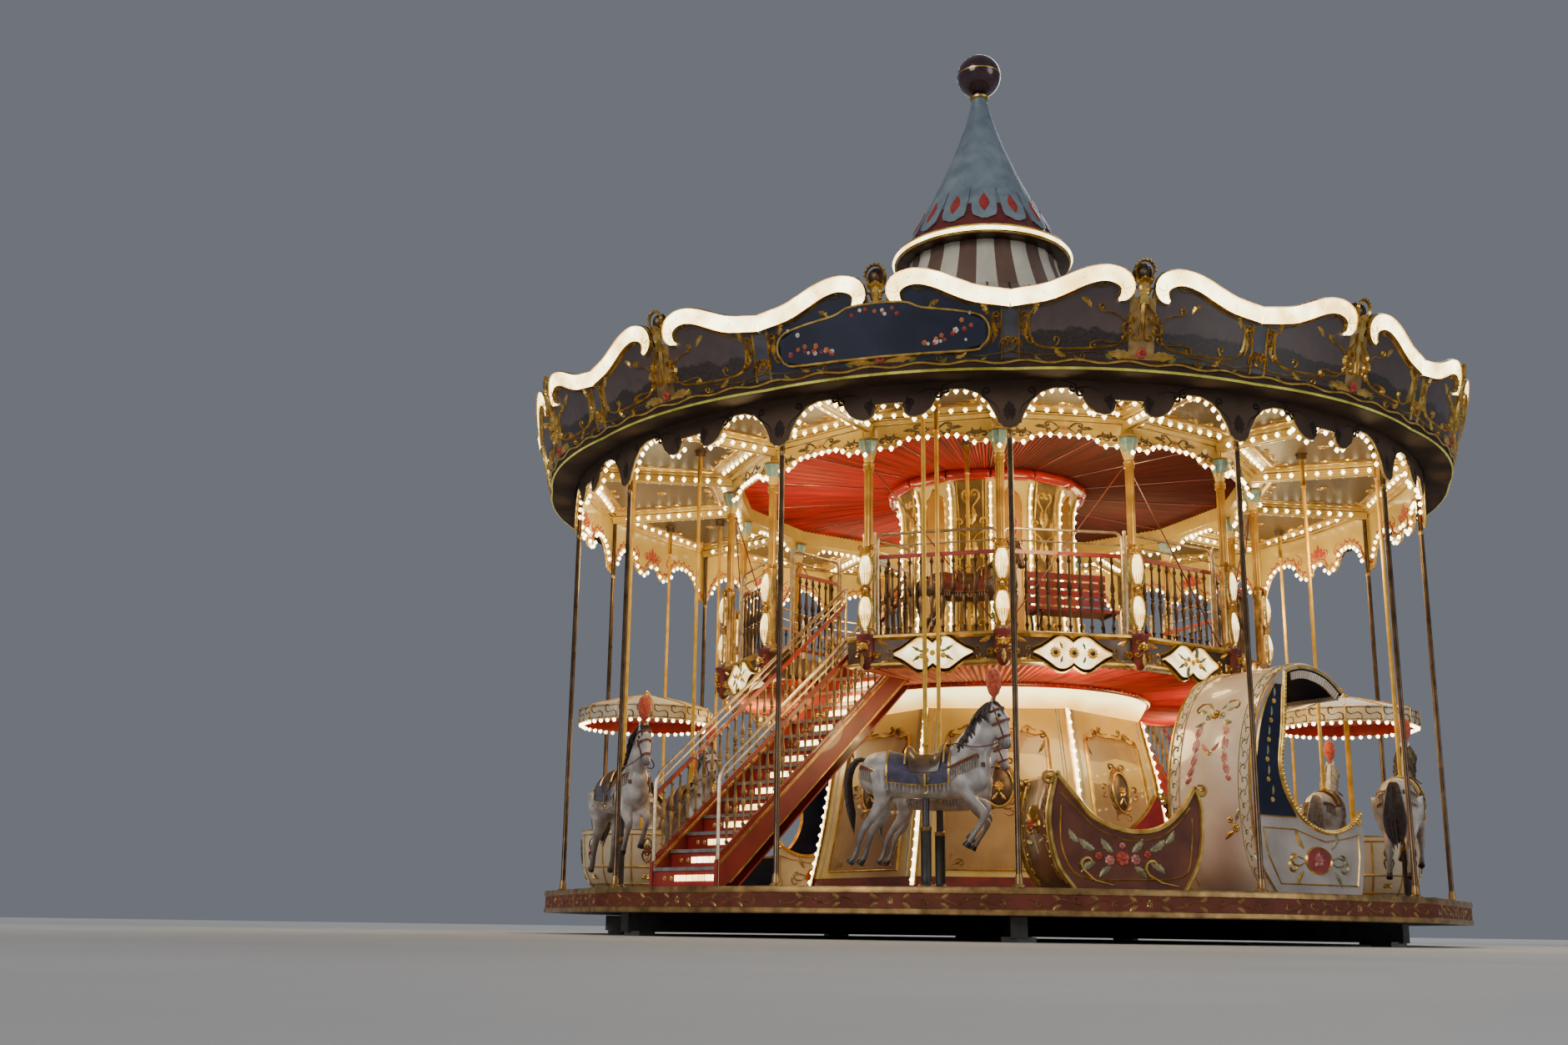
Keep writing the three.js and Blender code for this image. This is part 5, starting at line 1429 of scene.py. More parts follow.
def painted_face():
    """A painted face of the core, framed, with flowers; and the urn that stands below them."""
    frame_line = smooth([(0.0, 3.58), (0.13, 3.60), (0.155, 3.70), (0.148, 4.4), (0.150, 5.2), (0.135, 5.44),
                         (0.06, 5.52), (0.0, 5.60)], 3)
    painted_frame = paired(strand(frame_line, 0.014, 0.018, ends=(1, 1)))
    panel = plate([(u, h) for u, h in frame_line] + [(-u, h) for u, h in frame_line[::-1][1:-1]], 0.0, 0.004)
    urn = lathe([(0.012, 3.98), (0.05, 4.0), (0.025, 4.04), (0.03, 4.08), (0.07, 4.16), (0.075, 4.24),
                 (0.05, 4.30), (0.062, 4.33)],
                12)
    urn = scaled(urn, (1, 0.35, 1))
    rng = np.random.default_rng(11)
    blooms = [(put(rosette(rng.uniform(0.024, 0.042), 6, 0.014), rng.uniform(-0.085, 0.085),
                   4.36 + 0.62 * rng.random() ** 1.3, rng.uniform(0, 60), out=0.006), 4 + i % 2)
              for i in range(16)]
    stems = [(put(leaf(0.20, 0.026, 0.010, b, 3), 0, h, t, out=0.004), 6) for h, t, b in
             ((4.32, 60, 30), (4.32, 120, -30), (4.50, 75, 30), (4.50, 105, -30), (4.72, 90, 10),
              (4.34, 90, 8))]
    return [(panel, 8), (painted_frame, 1)] + stems + blooms, urn


def upper_core():
    """The gallery's core: carved gilt faces and painted ones in turn, with a pilaster on each corner."""
    whole = Relief()
    whole.add(lathe(CORE, MODULES), banded(MODULES, (2, 1, 2, 1) + (0,) * 6) + [0, 0])
    pilaster = sweep(core_corner(), HALF_ROUND, (0.026, 0.022), out=(0, -1, 0))
    gilt = gilt_face()
    painted, urn = painted_face()
    for k in range(MODULES):
        surface = on_faces(CORE, MODULES, middle(k))
        if k % 2:
            whole.lay(surface, *gilt)
        else:
            whole.lay(surface, *painted)
            whole.add(turned(moved(urn, (0, -1.096, 0)), middle(k)), 1)
        whole.add(turned(pilaster, seam(k)), 0)
    finishes = [CREAM, GOLD, DARK_RED, RELIEF_GILT, FLOWER_RED, ORANGE, LEAF_GREEN, CORE_GROUND_AND_PAINTED_SHADE, HONEY]
    piece("gallery_core", whole, finishes, replaces=["upper_core"], slot="cream")


def core_lights():
    """A lit strip with bulbs up each corner of the core."""
    lit = Relief()
    corner = core_corner()
    strip = sweep([p + [0, -0.022, 0] for p in corner], HALF_ROUND, (0.013, 0.010), out=(0, -1, 0))
    for angle in SEAMS:
        lit.add(turned(strip, angle))
    piece("core_light_strips", lit, [LED], slot="cream")
    spots = spaced(corner, 0.125) + [0, -0.034, 0]
    bulb_piece("core_bulbs", np.concatenate([swung(spots, angle) for angle in SEAMS]), 0.026)


def drum_panel():
    """Half outline of the framed panel on a side of the drum."""
    sides = [(0.685 * np.interp(h, [z for _, z in DRUM],
                                [r for r, _ in DRUM]) * math.sin(math.pi / DRUM_SIDES), h)
             for h in (0.78, 1.3, 1.9, 2.30)]
    top = sides[-1][0]
    return [(0, 0.78)] + sides + [(top - 0.03, 2.37), (top - 0.16, 2.35), (top - 0.30, 2.40), (0.12, 2.385),
                                  (0, 2.40)]


def lower_drum():
    """The drum in the middle of the platform, with a framed panel and a medallion on each side."""
    whole = Relief()
    whole.add(lathe(DRUM, DRUM_SIDES, STEP), banded(DRUM_SIDES, (2, 2) + (0,) * 6) + [0, 0])
    half = drum_panel()
    outline = half[1:] + [(-u, h) for u, h in half[::-1][1:-1]]
    panel = plate(outline, -0.012, 0.010)
    rim = paired(strand(np.array(half), 0.016, 0.026, ends=(1, 1)))
    inner_rim = paired(strand(np.array([(u * 0.93, 0.78 + (h - 0.78) * 0.965 + 0.03) for u, h in half]),
                              0.006, 0.014, ends=(1, 1)))
    trim = paired(dense([
        scroll((0.46, 2.42), 175, [(-40, 0.14, 0.10), (320, 0.055, 0.016)], 0.018, 0.028),
        scroll((0.50, 2.41), 0, [(-60, 0.07, 0.06), (-260, 0.040, 0.014)], 0.016, 0.026),
        scroll((0.05, 2.44), 10, [(-30, 0.2, 0.15), (60, 0.10, 0.08), (260, 0.04, 0.014)], 0.014, 0.024),
        put(leaf(0.20, 0.035, 0.024, -30, 4), 0.56, 2.32, -100),
        put(leaf(0.24, 0.040, 0.024, 30, 4), 0.60, 0.82, 98),
        put(leaf(0.22, 0.036, 0.022, -30, 4), 0.60, 0.82, 170),
        scroll((0.55, 0.86), 130, [(50, 0.12, 0.10), (270, 0.045, 0.014)], 0.014, 0.022),
    ]))
    medal_line = [(0.17 * math.cos(t), 1.74 + 0.235 * math.sin(t), 0.012)
                  for t in round_turns(32)]
    turns = np.linspace(0, 0.5 * math.pi, 6)
    medal = skin([[(0.165 * math.cos(t) * math.cos(a), 1.74 + 0.23 * math.cos(t) * math.sin(a),
                    0.010 + 0.035 * math.sin(t))
                   for a in round_turns(28)] for t in turns[:-1]])
    wreath = paired(dense(
        [put(leaf(0.13, 0.026, 0.016, 30, 3), 0.19 * math.cos(a), 1.74 + 0.26 * math.sin(a),
             math.degrees(a) + 70, out=0.008)
         for a in np.linspace(-1.35, 1.35, 8)]
        + [scroll((0.04, 2.03), 60, [(-70, 0.10, 0.08), (-250, 0.04, 0.014)], 0.013, 0.02),
           scroll((0.04, 1.45), -60, [(70, 0.10, 0.08), (250, 0.04, 0.014)], 0.013, 0.02),
           scroll((0.27, 1.80), 40, [(-60, 0.10, 0.08), (-250, 0.035, 0.012)], 0.011, 0.016),
           scroll((0.27, 1.68), -40, [(60, 0.10, 0.08), (250, 0.035, 0.012)], 0.011, 0.016)]))
    bloom = dense([put(rosette(0.07, 8, 0.03), 0, 1.74, out=0.042),
                   put(leaf(0.14, 0.03, 0.014, 30, 3), 0, 1.70, -70, out=0.034),
                   put(leaf(0.14, 0.03, 0.014, -30, 3), 0, 1.70, -110, out=0.034)])
    lines = [paired(strand([(0.905 * r * math.sin(math.pi / DRUM_SIDES) * f, h) for r, h in DRUM[2:]], 0.006,
                           0.006, ends=(1, 1))) for f in (0.93, 0.97)]
    medal_rim = sweep(medal_line, HALF_ROUND, (0.014, 0.022), closed=True, out=(0, 0, 1))
    for j in range(DRUM_SIDES):
        whole.lay(on_faces(DRUM, DRUM_SIDES, 2 * STEP * j), (panel, 3), (rim, 1), (inner_rim, 1), (trim, 4),
                  (medal, 5), (wreath, 4), (bloom, 1), (lines[0], 6), (lines[1], 1), (medal_rim, 1))
    piece("drum_body", whole, [DRUM_CREAM, GOLD, DARK_RED, TAN, OLD_GOLD, BRONZE, TEAL],
          replaces=["lower_drum"], slot="cream")


def drum_lights():
    """A lit strip with bulbs on a gilt bed, up each corner of the drum."""
    lit = Relief()
    line = np.array([(0, -(r + 0.004), h) for r, h in DRUM[1:]])
    bed = sweep(line, HALF_ROUND, (0.040, 0.014), out=(0, -1, 0))
    strip = sweep(line + [0, -0.012, 0], HALF_ROUND, (0.024, 0.016), out=(0, -1, 0))
    spots = spaced(line, 0.118) + [0, -0.030, 0]
    bulbs = []
    for j in range(DRUM_SIDES):
        angle = STEP * (2 * j + 1)
        lit.add(turned(bed, angle), 1)
        lit.add(turned(strip, angle), 0)
        bulbs.append(swung(spots, angle))
    piece("drum_light_strips", lit, [LED, GOLD], slot="cream")
    bulb_piece("drum_bulbs", np.concatenate(bulbs), 0.028)


def drum_cove():
    """Band of painted glow, dimming downwards, that widens from the drum's seven sides to a round rim, under
    a red ring with gilt studs.
    """
    whole = Relief()
    steps = 84
    rows = []
    for height, radius in ((2.682, 1.885), (2.73, 1.915), (2.79, 1.950), (2.85, 1.975), (2.90, 1.985),
                           (2.905, 1.80), (2.69, 1.70)):
        blend = np.clip((height - 2.682) / 0.2, 0, 1)
        row = []
        for a in round_turns(steps):
            part = ((a - STEP) / (2 * STEP)) % 1 - 0.5
            flat = math.cos(STEP) / math.cos(part * 2 * STEP)
            row.append(on_circle(radius * (blend + (1 - blend) * flat), a, height))
        rows.append(row)
    whole.add(skin(rows, loop=True))
    piece("lit_cove", whole, [COVE_PAINTED_GLOW], replaces=["drum_cornice"], slot="gold")
    rail = Relief()
    rail.add(sweep(ring(2.005, 2.925, steps), FINE_ROUND, 0.030, closed=True, out=(0, 0, 1)), 0)
    studs = [on_circle(2.034, a, 2.925 + 0.010 * (i % 2)) for i, a in enumerate(round_turns(140))]
    rail.add(beads(studs, 0.010), 1)
    piece("cove_ring", rail, [RED, GOLD], slot="red")


def soffit():
    """Pleated red cloth under the upper deck, cut round the two stair wells, with painted highlights and
    shade on its folds.
    """
    well_half, well_start = 0.535, 2.232
    edge = flats(3.232)

    def offset(angle):
        return min(abs((angle - middle(bay) + math.pi) % (2 * math.pi) - math.pi) for bay in STAIR_BAYS)

    inner_share = math.atan2(well_half, well_start)

    def outer(angle):
        near = offset(angle)
        return well_start / math.cos(near) if near < inner_share else edge(angle)

    whole = Relief()
    folds = 36 * MODULES
    whole.add(*pleated(lambda a: 1.96, outer, (2.952, 2.948), 0.011, round_turns(folds)))
    turns = np.linspace(math.radians(9.5), inner_share, 21)
    for bay in STAIR_BAYS:
        for side in (-1, 1):
            part = pleated(lambda a: well_half / math.sin(offset(a)), edge, (2.948, 2.948), 0.008,
                           middle(bay) + side * turns, loop=False)
            whole.add(*part)
    made = piece("soffit_cloth", whole, [SOFFIT_PAINTED_HIGHLIGHTS, RED_PLEATS_PAINTED_LIGHT], replaces=["soffit_lining"], slot="red",
                 sharp=20.0)
    cloth_area(whole)


# Gallery, columns and stairs


def copy_of(made, name, angle, replaces=()):
    """Another object with the same mesh, turned about the axis."""
    return settle(name, made.data, made["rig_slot"], replaces=replaces, matrix=Matrix.Rotation(angle, 4, "Z"))


def facing(distance):
    """An upright plane that faces -Y at a distance from the axis."""
    def surface(across, up, out):
        return np.column_stack([across, -(distance + out), up])
    return surface


def shell_lamp(bottom, top, half_width):
    """An oval lit shell, ribbed at its foot, and the gilt rim round it."""
    share = np.linspace(0.0, 1.0, 11)
    widths = half_width * np.sin(math.pi * (0.06 + 0.86 * share)) ** 0.55 * (0.72 + 0.28 * share)
    depth = 0.062 * np.sin(math.pi * (0.05 + 0.88 * share)) ** 0.6
    across = np.linspace(-1, 1, 11) * math.pi / 2
    rows = []
    for t, w, d in zip(share, widths, depth):
        rib = 1 + 0.20 * (1 - 0.6 * t) * np.cos(across * 10)
        height = bottom + t * (top - bottom)
        front = [(w * math.sin(s), height, 0.012 + d * math.cos(s) * r) for s, r in zip(across, rib)]
        rows.append(front + [(w, height, 0.0), (-w, height, 0.0)])
    edge = np.array([(w, bottom + t * (top - bottom), 0.012) for t, w in zip(share, widths)])
    rim = Relief()
    rim.add(paired(strand(edge + [0.006, 0, 0], 0.015, 0.026, ends=(1, 1))))
    for turn in np.linspace(-1.2, 1.2, 6):
        line = [(np.interp(t, share, widths) * math.sin(turn), bottom + t * (top - bottom),
                 0.018 + np.interp(t, share, depth) * math.cos(turn)) for t in np.linspace(0.02, 0.46, 6)]
        rim.add(sweep(line, circle(4), 0.0045, out=(0, 0, 1)))
    rim.add(beads([(s * (x + 0.012), z, 0.022) for x, z, _ in spaced(edge, 0.044) for s in (-1, 1)], 0.011))
    return skin(rows), rim.part()


def column_shaft():
    """Foot, fluted shaft, collar and tulip capital."""
    whole = Relief()

    def flutes(angle, height):
        return 1 - 0.13 * abs(math.sin(6 * angle))

    def petals(angle, height):
        return 1 - 0.16 * (1 - abs(math.cos(4 * angle))) * np.clip((height - 5.36) / 0.15, 0, 1)

    whole.add(lathe([(0.088, 3.302), (0.088, 3.345), (0.076, 3.36), (0.062, 3.40), (0.062, 4.20),
                     (0.074, 4.25), (0.074, 4.285), (0.058, 4.305), (0.050, 4.34)], 16), 1)
    whole.add(lathe([(0.050, 4.33), (0.0485, 4.8), (0.051, 5.26)], 24, wave=flutes), 0)
    whole.add(lathe([(0.050, 5.235), (0.062, 5.245), (0.066, 5.27), (0.060, 5.29), (0.066, 5.305),
                     (0.062, 5.325), (0.046, 5.335)], 20), 0)
    cup = [(0.046, 5.33), (0.055, 5.355), (0.062, 5.39), (0.070, 5.43), (0.086, 5.48), (0.106, 5.535),
           (0.118, 5.578), (0.110, 5.594), (0.070, 5.600)]
    whole.add(lathe(cup, 16, wave=petals), banded(16, (3, 3, 3, 2, 2, 2, 2, 2)) + [2, 2])
    whole.add(lathe([(0.098, 5.598), (0.120, 5.602), (0.120, 5.614), (0.098, 5.6195)], 20), 0)
    for j in range(8):
        line = [on_circle(r + 0.003, j * math.pi / 4, h) for r, h in cup[1:7]]
        whole.add(sweep(line, circle(4), np.array([0.003, 0.004, 0.005, 0.005, 0.006, 0.004])), 3)
    whole.add(moved(lathe([(0.016, 5.395), (0.030, 5.400), (0.030, 5.412), (0.016, 5.414)], 10),
                    (0, -0.075, 0)), 0)
    return whole


def columns():
    """Fourteen columns, with two lit shells one over the other on the foot of each."""
    whole = column_shaft()
    front = facing(0.058)
    lit = Relief()
    for bottom, top in ((3.36, 3.735), (3.835, 4.215)):
        shade, rim = shell_lamp(bottom, top, 0.082)
        lit.lay(front, (shade, 0))
        leaves = [put(leaf(0.12, 0.022, 0.014, 35, 3), 0.085, bottom + up, turn)
                  for up, turn in ((0.05, 60), (0.15, 75), (0.25, 85))]
        whole.lay(front, (rim, 0), (paired(dense(leaves)), 4))
    trim = dense([
        put(fan(0.085, 7, 0.035, 110), 0, 4.235, out=0.015),
        put(rosette(0.030, 6, 0.02), 0, 4.255, out=0.03),
        paired(scroll((0.03, 4.29), 75, [(-50, 0.08, 0.06), (-240, 0.028, 0.010)], 0.011, 0.018)),
        put(rosette(0.036, 8, 0.03), 0, 3.785, out=0.035), put(fan(0.060, 5, 0.03, 100), 0, 3.735, out=0.03),
        put(fan(0.060, 5, 0.03, 100), 0, 3.835, out=0.03),
        paired(scroll((0.035, 3.785), 30, [(60, 0.05, 0.04), (220, 0.022, 0.010)], 0.010, 0.022)),
        paired(scroll((0.035, 3.785), -30, [(-60, 0.05, 0.04), (-220, 0.022, 0.010)], 0.010, 0.022)),
        put(fan(0.050, 5, 0.025, 100), 0, 3.37, out=0.02),
    ])
    whole.lay(front, (trim, 0))
    place = (0, -COLUMN_RADIUS, 0)
    first = piece("column_00_carved", shifted(whole, place),
                  [COLUMN_GILT, OLD_GOLD, TEAL, CREAM, LEAF_GREEN], replaces=["column_00"], slot="gold")
    shells = piece("column_00_shells", shifted(lit, place), [LAMP], slot="cream")
    for k in range(1, MODULES):
        copy_of(first, f"column_{k:02d}_carved", seam(k), [f"column_{k:02d}"])
        copy_of(shells, f"column_{k:02d}_shells", seam(k))
    bulb_piece("capital_bulbs", [on_circle(COLUMN_RADIUS + 0.088, angle, 5.405) for angle in SEAMS], 0.030)


def shifted(relief, offset):
    relief.points = [points + np.asarray(offset, float) for points in relief.points]
    return relief


# Half of a fascia cartouche's upper edge, from its waist to its tip; the lower edge mirrors it
CARTOUCHE_MIDDLE = 3.065
CARTOUCHE = smooth([(0.0, 3.165), (0.035, 3.195), (0.10, 3.230), (0.18, 3.226), (0.26, 3.170), (0.35, 3.108),
                    (0.44, 3.066)], 2)


def cartouche():
    """The bowed lit field of a cartouche, and its rims as parts with their finishes."""
    edge = np.concatenate([CARTOUCHE[::-1] * [-1, 1], CARTOUCHE[1:]])
    rows = []
    for u, top in edge:
        half = max(top - CARTOUCHE_MIDDLE, 0.003)
        bow = [(u, CARTOUCHE_MIDDLE + half * t, 0.030 + 0.024 * (1 - t * t) * min(1, half / 0.08))
               for t in (-1, -0.6, 0, 0.6, 1)]
        rows.append([(u, CARTOUCHE_MIDDLE - half, 0)] + bow + [(u, CARTOUCHE_MIDDLE + half, 0)])
    rims = []
    for grow, width, height, kind in ((0.010, 0.015, 0.052, 0), (0.029, 0.010, 0.036, 2),
                                      (0.044, 0.011, 0.036, 0)):
        line = np.array([(u * (1 + grow * 0.8), top + grow) for u, top in CARTOUCHE])
        rim = paired(strand(line, width, height, ends=(1, 1)))
        for flip in (1, -1):
            rims.append((moved(scaled(rim, (1, flip, 1)), (0, (1 - flip) * CARTOUCHE_MIDDLE, 0)), kind))
    return skin(rows), rims


def fascia_flowers():
    """What a cartouche carries: three daisies, or a spray of leaves with small blooms."""
    daisies = [(put(rosette(0.072, 11, 0.020), u, CARTOUCHE_MIDDLE, out=0.050), 5) for u in (-0.21, 0, 0.21)]
    daisies += [(bead(0.026, (u, CARTOUCHE_MIDDLE, 0.068), 0.5, 8), 6) for u in (-0.21, 0, 0.21)]
    daisies += [(put(leaf(0.10, 0.020, 0.010, 30 * s, 3), u, CARTOUCHE_MIDDLE + 0.02 * s, 90 * s, out=0.046),
                 3)
                for u in (-0.13, 0.13) for s in (1, -1)]
    spray = [(put(leaf(0.19, 0.034, 0.014, b, 3), s * u, CARTOUCHE_MIDDLE + v, t, out=0.046), 3)
             for s, u, v, t, b in ((1, 0.06, 0, 10, 30), (1, 0.06, 0, -12, -30), (1, -0.06, 0, 170, -30),
                                   (1, -0.06, 0, -168, 30), (1, 0.05, 0.02, 62, 40),
                                   (1, -0.05, -0.02, -118, 40))]
    spray += [(put(rosette(0.036, 6, 0.016), u, CARTOUCHE_MIDDLE + v, out=0.052), 5)
              for u, v in ((0, 0), (-0.07, 0.03), (0.07, 0.03), (-0.12, -0.03), (0.12, -0.03))]
    return daisies, spray


def fascia_bracket():
    """The bracket below a column, and the carving on its face."""
    bracket = lathe([(0.03, 2.905), (0.065, 2.935), (0.090, 3.00), (0.100, 3.10), (0.104, 3.25),
                     (0.116, 3.27), (0.116, 3.302)],
                    14)
    crest = [
        (put(fan(0.078, 7, 0.03, 110), 0, 3.135), 0), (put(rosette(0.03, 6, 0.02), 0, 3.14, out=0.02), 0),
        (paired(scroll((0.02, 3.08), -60, [(50, 0.08, 0.06), (240, 0.030, 0.011)], 0.011, 0.018)), 0),
        (put(leaf(0.15, 0.030, 0.018, 1, 3), 0, 3.08, -90), 0),
        (paired(scroll((0.03, 3.22), 20, [(-30, 0.08, 0.06), (-220, 0.022, 0.010)], 0.009, 0.016)), 0),
    ]
    return bracket, crest


def fascia():
    """Dark fascia of the upper deck in two runs between the stairs, with lit bow-shaped cartouches."""
    profile = [(3.24, 2.945), (3.40, 2.945), (3.424, 2.952), (3.424, 2.975), (FASCIA_FACE, 2.990),
               (FASCIA_FACE, 3.235), (3.428, 3.248), (3.444, 3.262), (3.444, 3.288), (3.430, 3.298),
               (3.24, 3.298)]
    kinds = (2, 0, 0, 0, 2, 0, 0, 0, 0, 2, 2)
    panel, rims = cartouche()
    roundel = dense([
        scroll((0.60, 3.02), 100, [(-40, 0.10, 0.08), (-300, 0.045, 0.014)], 0.013, 0.022),
        scroll((0.60, 3.11), -100, [(40, 0.10, 0.08), (300, 0.045, 0.014)], 0.013, 0.022),
        scroll((0.49, 3.065), 20, [(60, 0.05, 0.04), (240, 0.028, 0.010)], 0.010, 0.018),
        scroll((0.49, 3.065), -20, [(-60, 0.05, 0.04), (-240, 0.028, 0.010)], 0.010, 0.018),
        put(leaf(0.15, 0.028, 0.018, 30, 3), 0.52, 3.18, 12),
        put(leaf(0.15, 0.028, 0.018, -30, 3), 0.52, 2.995, -12),
    ])
    daisies, spray = fascia_flowers()
    bracket, crest = fascia_bracket()
    for name, first in RUNS:
        name = f"fascia_{name}"
        whole = Relief()
        lit = Relief()
        full = [(k, None) for k in range(first, first + 7)]
        stations = [(first - 1, 0.532)] + full + [(first + 6, -0.532)]
        rows = []
        for k, offset in stations:
            row = [(-d * math.tan(STEP / 2) if offset is None else offset, -d, h) for d, h in profile]
            rows.append(swung(row, middle(k)))
        whole.add(skin(rows), kinds * (len(rows) - 1) + (2, 2))
        for k in range(first, first + 6):
            surface = on_wall(FASCIA_FACE, middle(k))
            lit.lay(surface, (panel, 0))
            whole.lay(surface, *rims, (paired(roundel), 0), *(spray if k % 2 else daisies))
        for k in range(first, first + 7):
            centre = on_circle(3.47, seam(k))
            whole.add(moved(turned(bracket, seam(k)), centre), 1)
            surface = on_cylinder(0.103, seam(k))
            for item, kind in crest:
                whole.add(moved(laid(surface, item), centre), kind)
        piece(f"{name}_carved", whole,
              [GOLD, DARK_RED, FASCIA_BROWN, LEAF_GREEN, ORANGE, YELLOW, BRONZE, PALE], replaces=[name],
              slot="gold")
        piece(f"{name}_cartouches", lit, [CARTOUCHE_LIT], slot="cream")


SPINDLE = [(0.0, 0.013), (0.04, 0.013), (0.075, 0.025), (0.11, 0.011), (0.33, 0.017), (0.43, 0.029),
           (0.48, 0.014), (0.50, 0.026), (0.52, 0.014), (0.57, 0.029), (0.67, 0.017), (0.89, 0.011),
           (0.925, 0.025), (0.96, 0.013), (1.0, 0.013)]


def spindle(bottom, top):
    return lathe([(radius, bottom + share * (top - bottom)) for share, radius in SPINDLE], 5)


def rail_panel(whole, start, end):
    """A stretch of gallery railing between two places on the deck."""
    start, end = np.array(start, float), np.array(end, float)
    length = np.linalg.norm(end - start)
    along = (end - start) / length

    def at(distance, height):
        return [*(start + along * distance), height]

    inset = 0.040
    corner = [(inset, 3.225), (inset, 4.43), (inset + 0.008, 4.465), (inset + 0.030, 4.497),
              (inset + 0.065, 4.51)]
    path = corner + [(length - s, h) for s, h in corner[::-1]]
    whole.add(sweep([at(s, h) for s, h in path], circle(8), 0.018), 0)
    whole.add(bar(at(inset, 4.37), at(length - inset, 4.37), 0.012), 0)
    for height, size in ((4.24, (0.011, 0.022)), (3.325, (0.010, 0.018))):
        whole.add(sweep([at(inset, height), at(length - inset, height)], SQUARE, size, out=(0, 0, 1)), 1)
    count = max(2, round(length / 0.128))
    rod = spindle(3.342, 4.220)
    for distance in np.linspace(inset, length - inset, count + 1)[1:-1]:
        whole.add(moved(rod, [*at(distance, 0)]), 2)


def railings():
    """Two runs of gallery railing, each round one side and back beside the stair wells."""
    edge = 3.27 * math.cos(STEP / 2)
    guard = 0.575
    post = lathe([(0.026, 3.222), (0.026, 3.235), (0.017, 3.245), (0.017, 4.50), (0.024, 4.515),
                  (0.020, 4.54), (0.006, 4.55)], 8)

    def beside(bay, distance, offset):
        return swung((offset, -distance, 0), middle(bay))[:2]

    for name, first in RUNS:
        whole = Relief()
        before, after = first - 1, first + 6
        points = [beside(before, 2.295, guard), beside(before, edge, guard)]
        points += [on_circle(3.27, seam(k))[:2] for k in range(first, first + 7)]
        points += [beside(after, edge, -guard), beside(after, 2.295, -guard)]
        for start, end in zip(points, points[1:]):
            if np.linalg.norm(end - start) > 0.3:
                rail_panel(whole, start, end)
        for point in points:
            whole.add(moved(post, [*point, 0]), 0)
        piece(f"railing_{name}_turned", whole, [RAIL_METAL, RED, BRONZE], replaces=[f"railing_{name}"],
              slot="bronze")


def stays():
    """Thin red rods from the head of every second column to the feet of its neighbours."""
    whole = Relief()
    for k in range(1, MODULES, 2):
        for side in (-1, 1):
            bay = k if side > 0 else k - 1
            if any((bay - stair) % MODULES == 0 for stair in STAIR_BAYS):
                continue
            head = on_circle(COLUMN_RADIUS - 0.055, seam(k) + side * 0.012, 5.27)
            foot = on_circle(COLUMN_RADIUS - 0.09, seam(k + side) - side * 0.012, 3.36)
            whole.add(bar(head, foot, 0.008))
    piece("column_stays", whole, [DARK_RED], slot="red")


RISERS = 14
GOING = 0.235
STAIR_TOP = 2.30
RISE = (UPPER_DECK_TOP - DECK_TOP) / RISERS
SLOPE = RISE / GOING
RUN = (RISERS - 1) * GOING
STAIR_FOOT = STAIR_TOP + RUN
STRINGER = 0.48


def beside_stair(x):
    """A side view drawn as (along the climb, up), standing at an offset across the stair."""
    def surface(across, up, out):
        return np.column_stack([x + out, -STAIR_FOOT + across, DECK_TOP + up])
    return surface


def stair_steps():
    """Dark treads with metal nosings between red stringers, and the lit blocks on the risers."""
    steps = Relief()
    lit = Relief()
    for i in range(RISERS):
        near, foot, top = -STAIR_FOOT + i * GOING, DECK_TOP + i * RISE, DECK_TOP + (i + 1) * RISE
        far = near + (GOING if i < RISERS - 1 else 0.058)
        steps.add(block((-0.458, near, foot + 0.001), (0.458, near + 0.018, top - 0.028)), 0)
        steps.add(block((-0.458, near - 0.018, top - 0.030), (0.458, far, top - 0.0005)), 1)
        steps.add(block((-0.456, near - 0.024, top - 0.034), (0.456, near - 0.016, top + 0.001)), 2)
        steps.add(block((-0.456, near - 0.024, top - 0.001), (0.456, near + 0.012, top + 0.002)), 2)
        for x in np.arange(-0.105, 0.44, 0.090):
            lit.add(block((x - 0.037, near - 0.008, foot + 0.055), (x + 0.037, near + 0.001, foot + 0.115)))
        for x in (-0.30, -0.20):
            steps.add(laid(facing(-near), put(rosette(0.030, 6, 0.010), x, foot + 0.085)), 4)
    under = [(0.34, 0.006), (RUN + 0.05, RUN * SLOPE - 0.165), (RUN + 0.05, RUN * SLOPE - 0.145),
             (0.33, 0.026)]
    steps.add(laid(beside_stair(0), plate(under, -0.458, 0.458)), 0)
    low, high = RISE + 0.06, RISE * RISERS + 0.06
    web = [(-0.03, 0.0005), (-0.03, low), (RUN, high), (RUN, high - 0.33), ((0.33 - low) / SLOPE, 0.0005)]
    lines = []
    for flip in (-1, 1):
        for inset in (0.022, 0.045):
            for ends in ([(0.0, low - inset, 0.020), (RUN - 0.01, high - inset, 0.020)],
                         [(0.13 + inset, 0.03 + inset * 0.3, 0.020),
                          (RUN - 0.01, high - 0.33 + inset, 0.020)]):
                line = sweep(ends, HALF_ROUND, (0.006, 0.006), out=(0, 0, 1))
                lines.append((scaled(line, (1, 1, flip)), 4))
    caps = []
    for i in range(RISERS):
        along = i * GOING + 0.045
        ends = [(a, RISE + 0.064 + a * SLOPE, 0) for a in (along, along + 0.105)]
        caps.append((sweep(ends, SQUARE, (0.006, 0.018), out=(0, 0, 1)), 5))
    for x in (-STRINGER, STRINGER):
        steps.lay(beside_stair(x), (plate(web, -0.02, 0.02), 3), *lines, *caps)
    return steps, lit


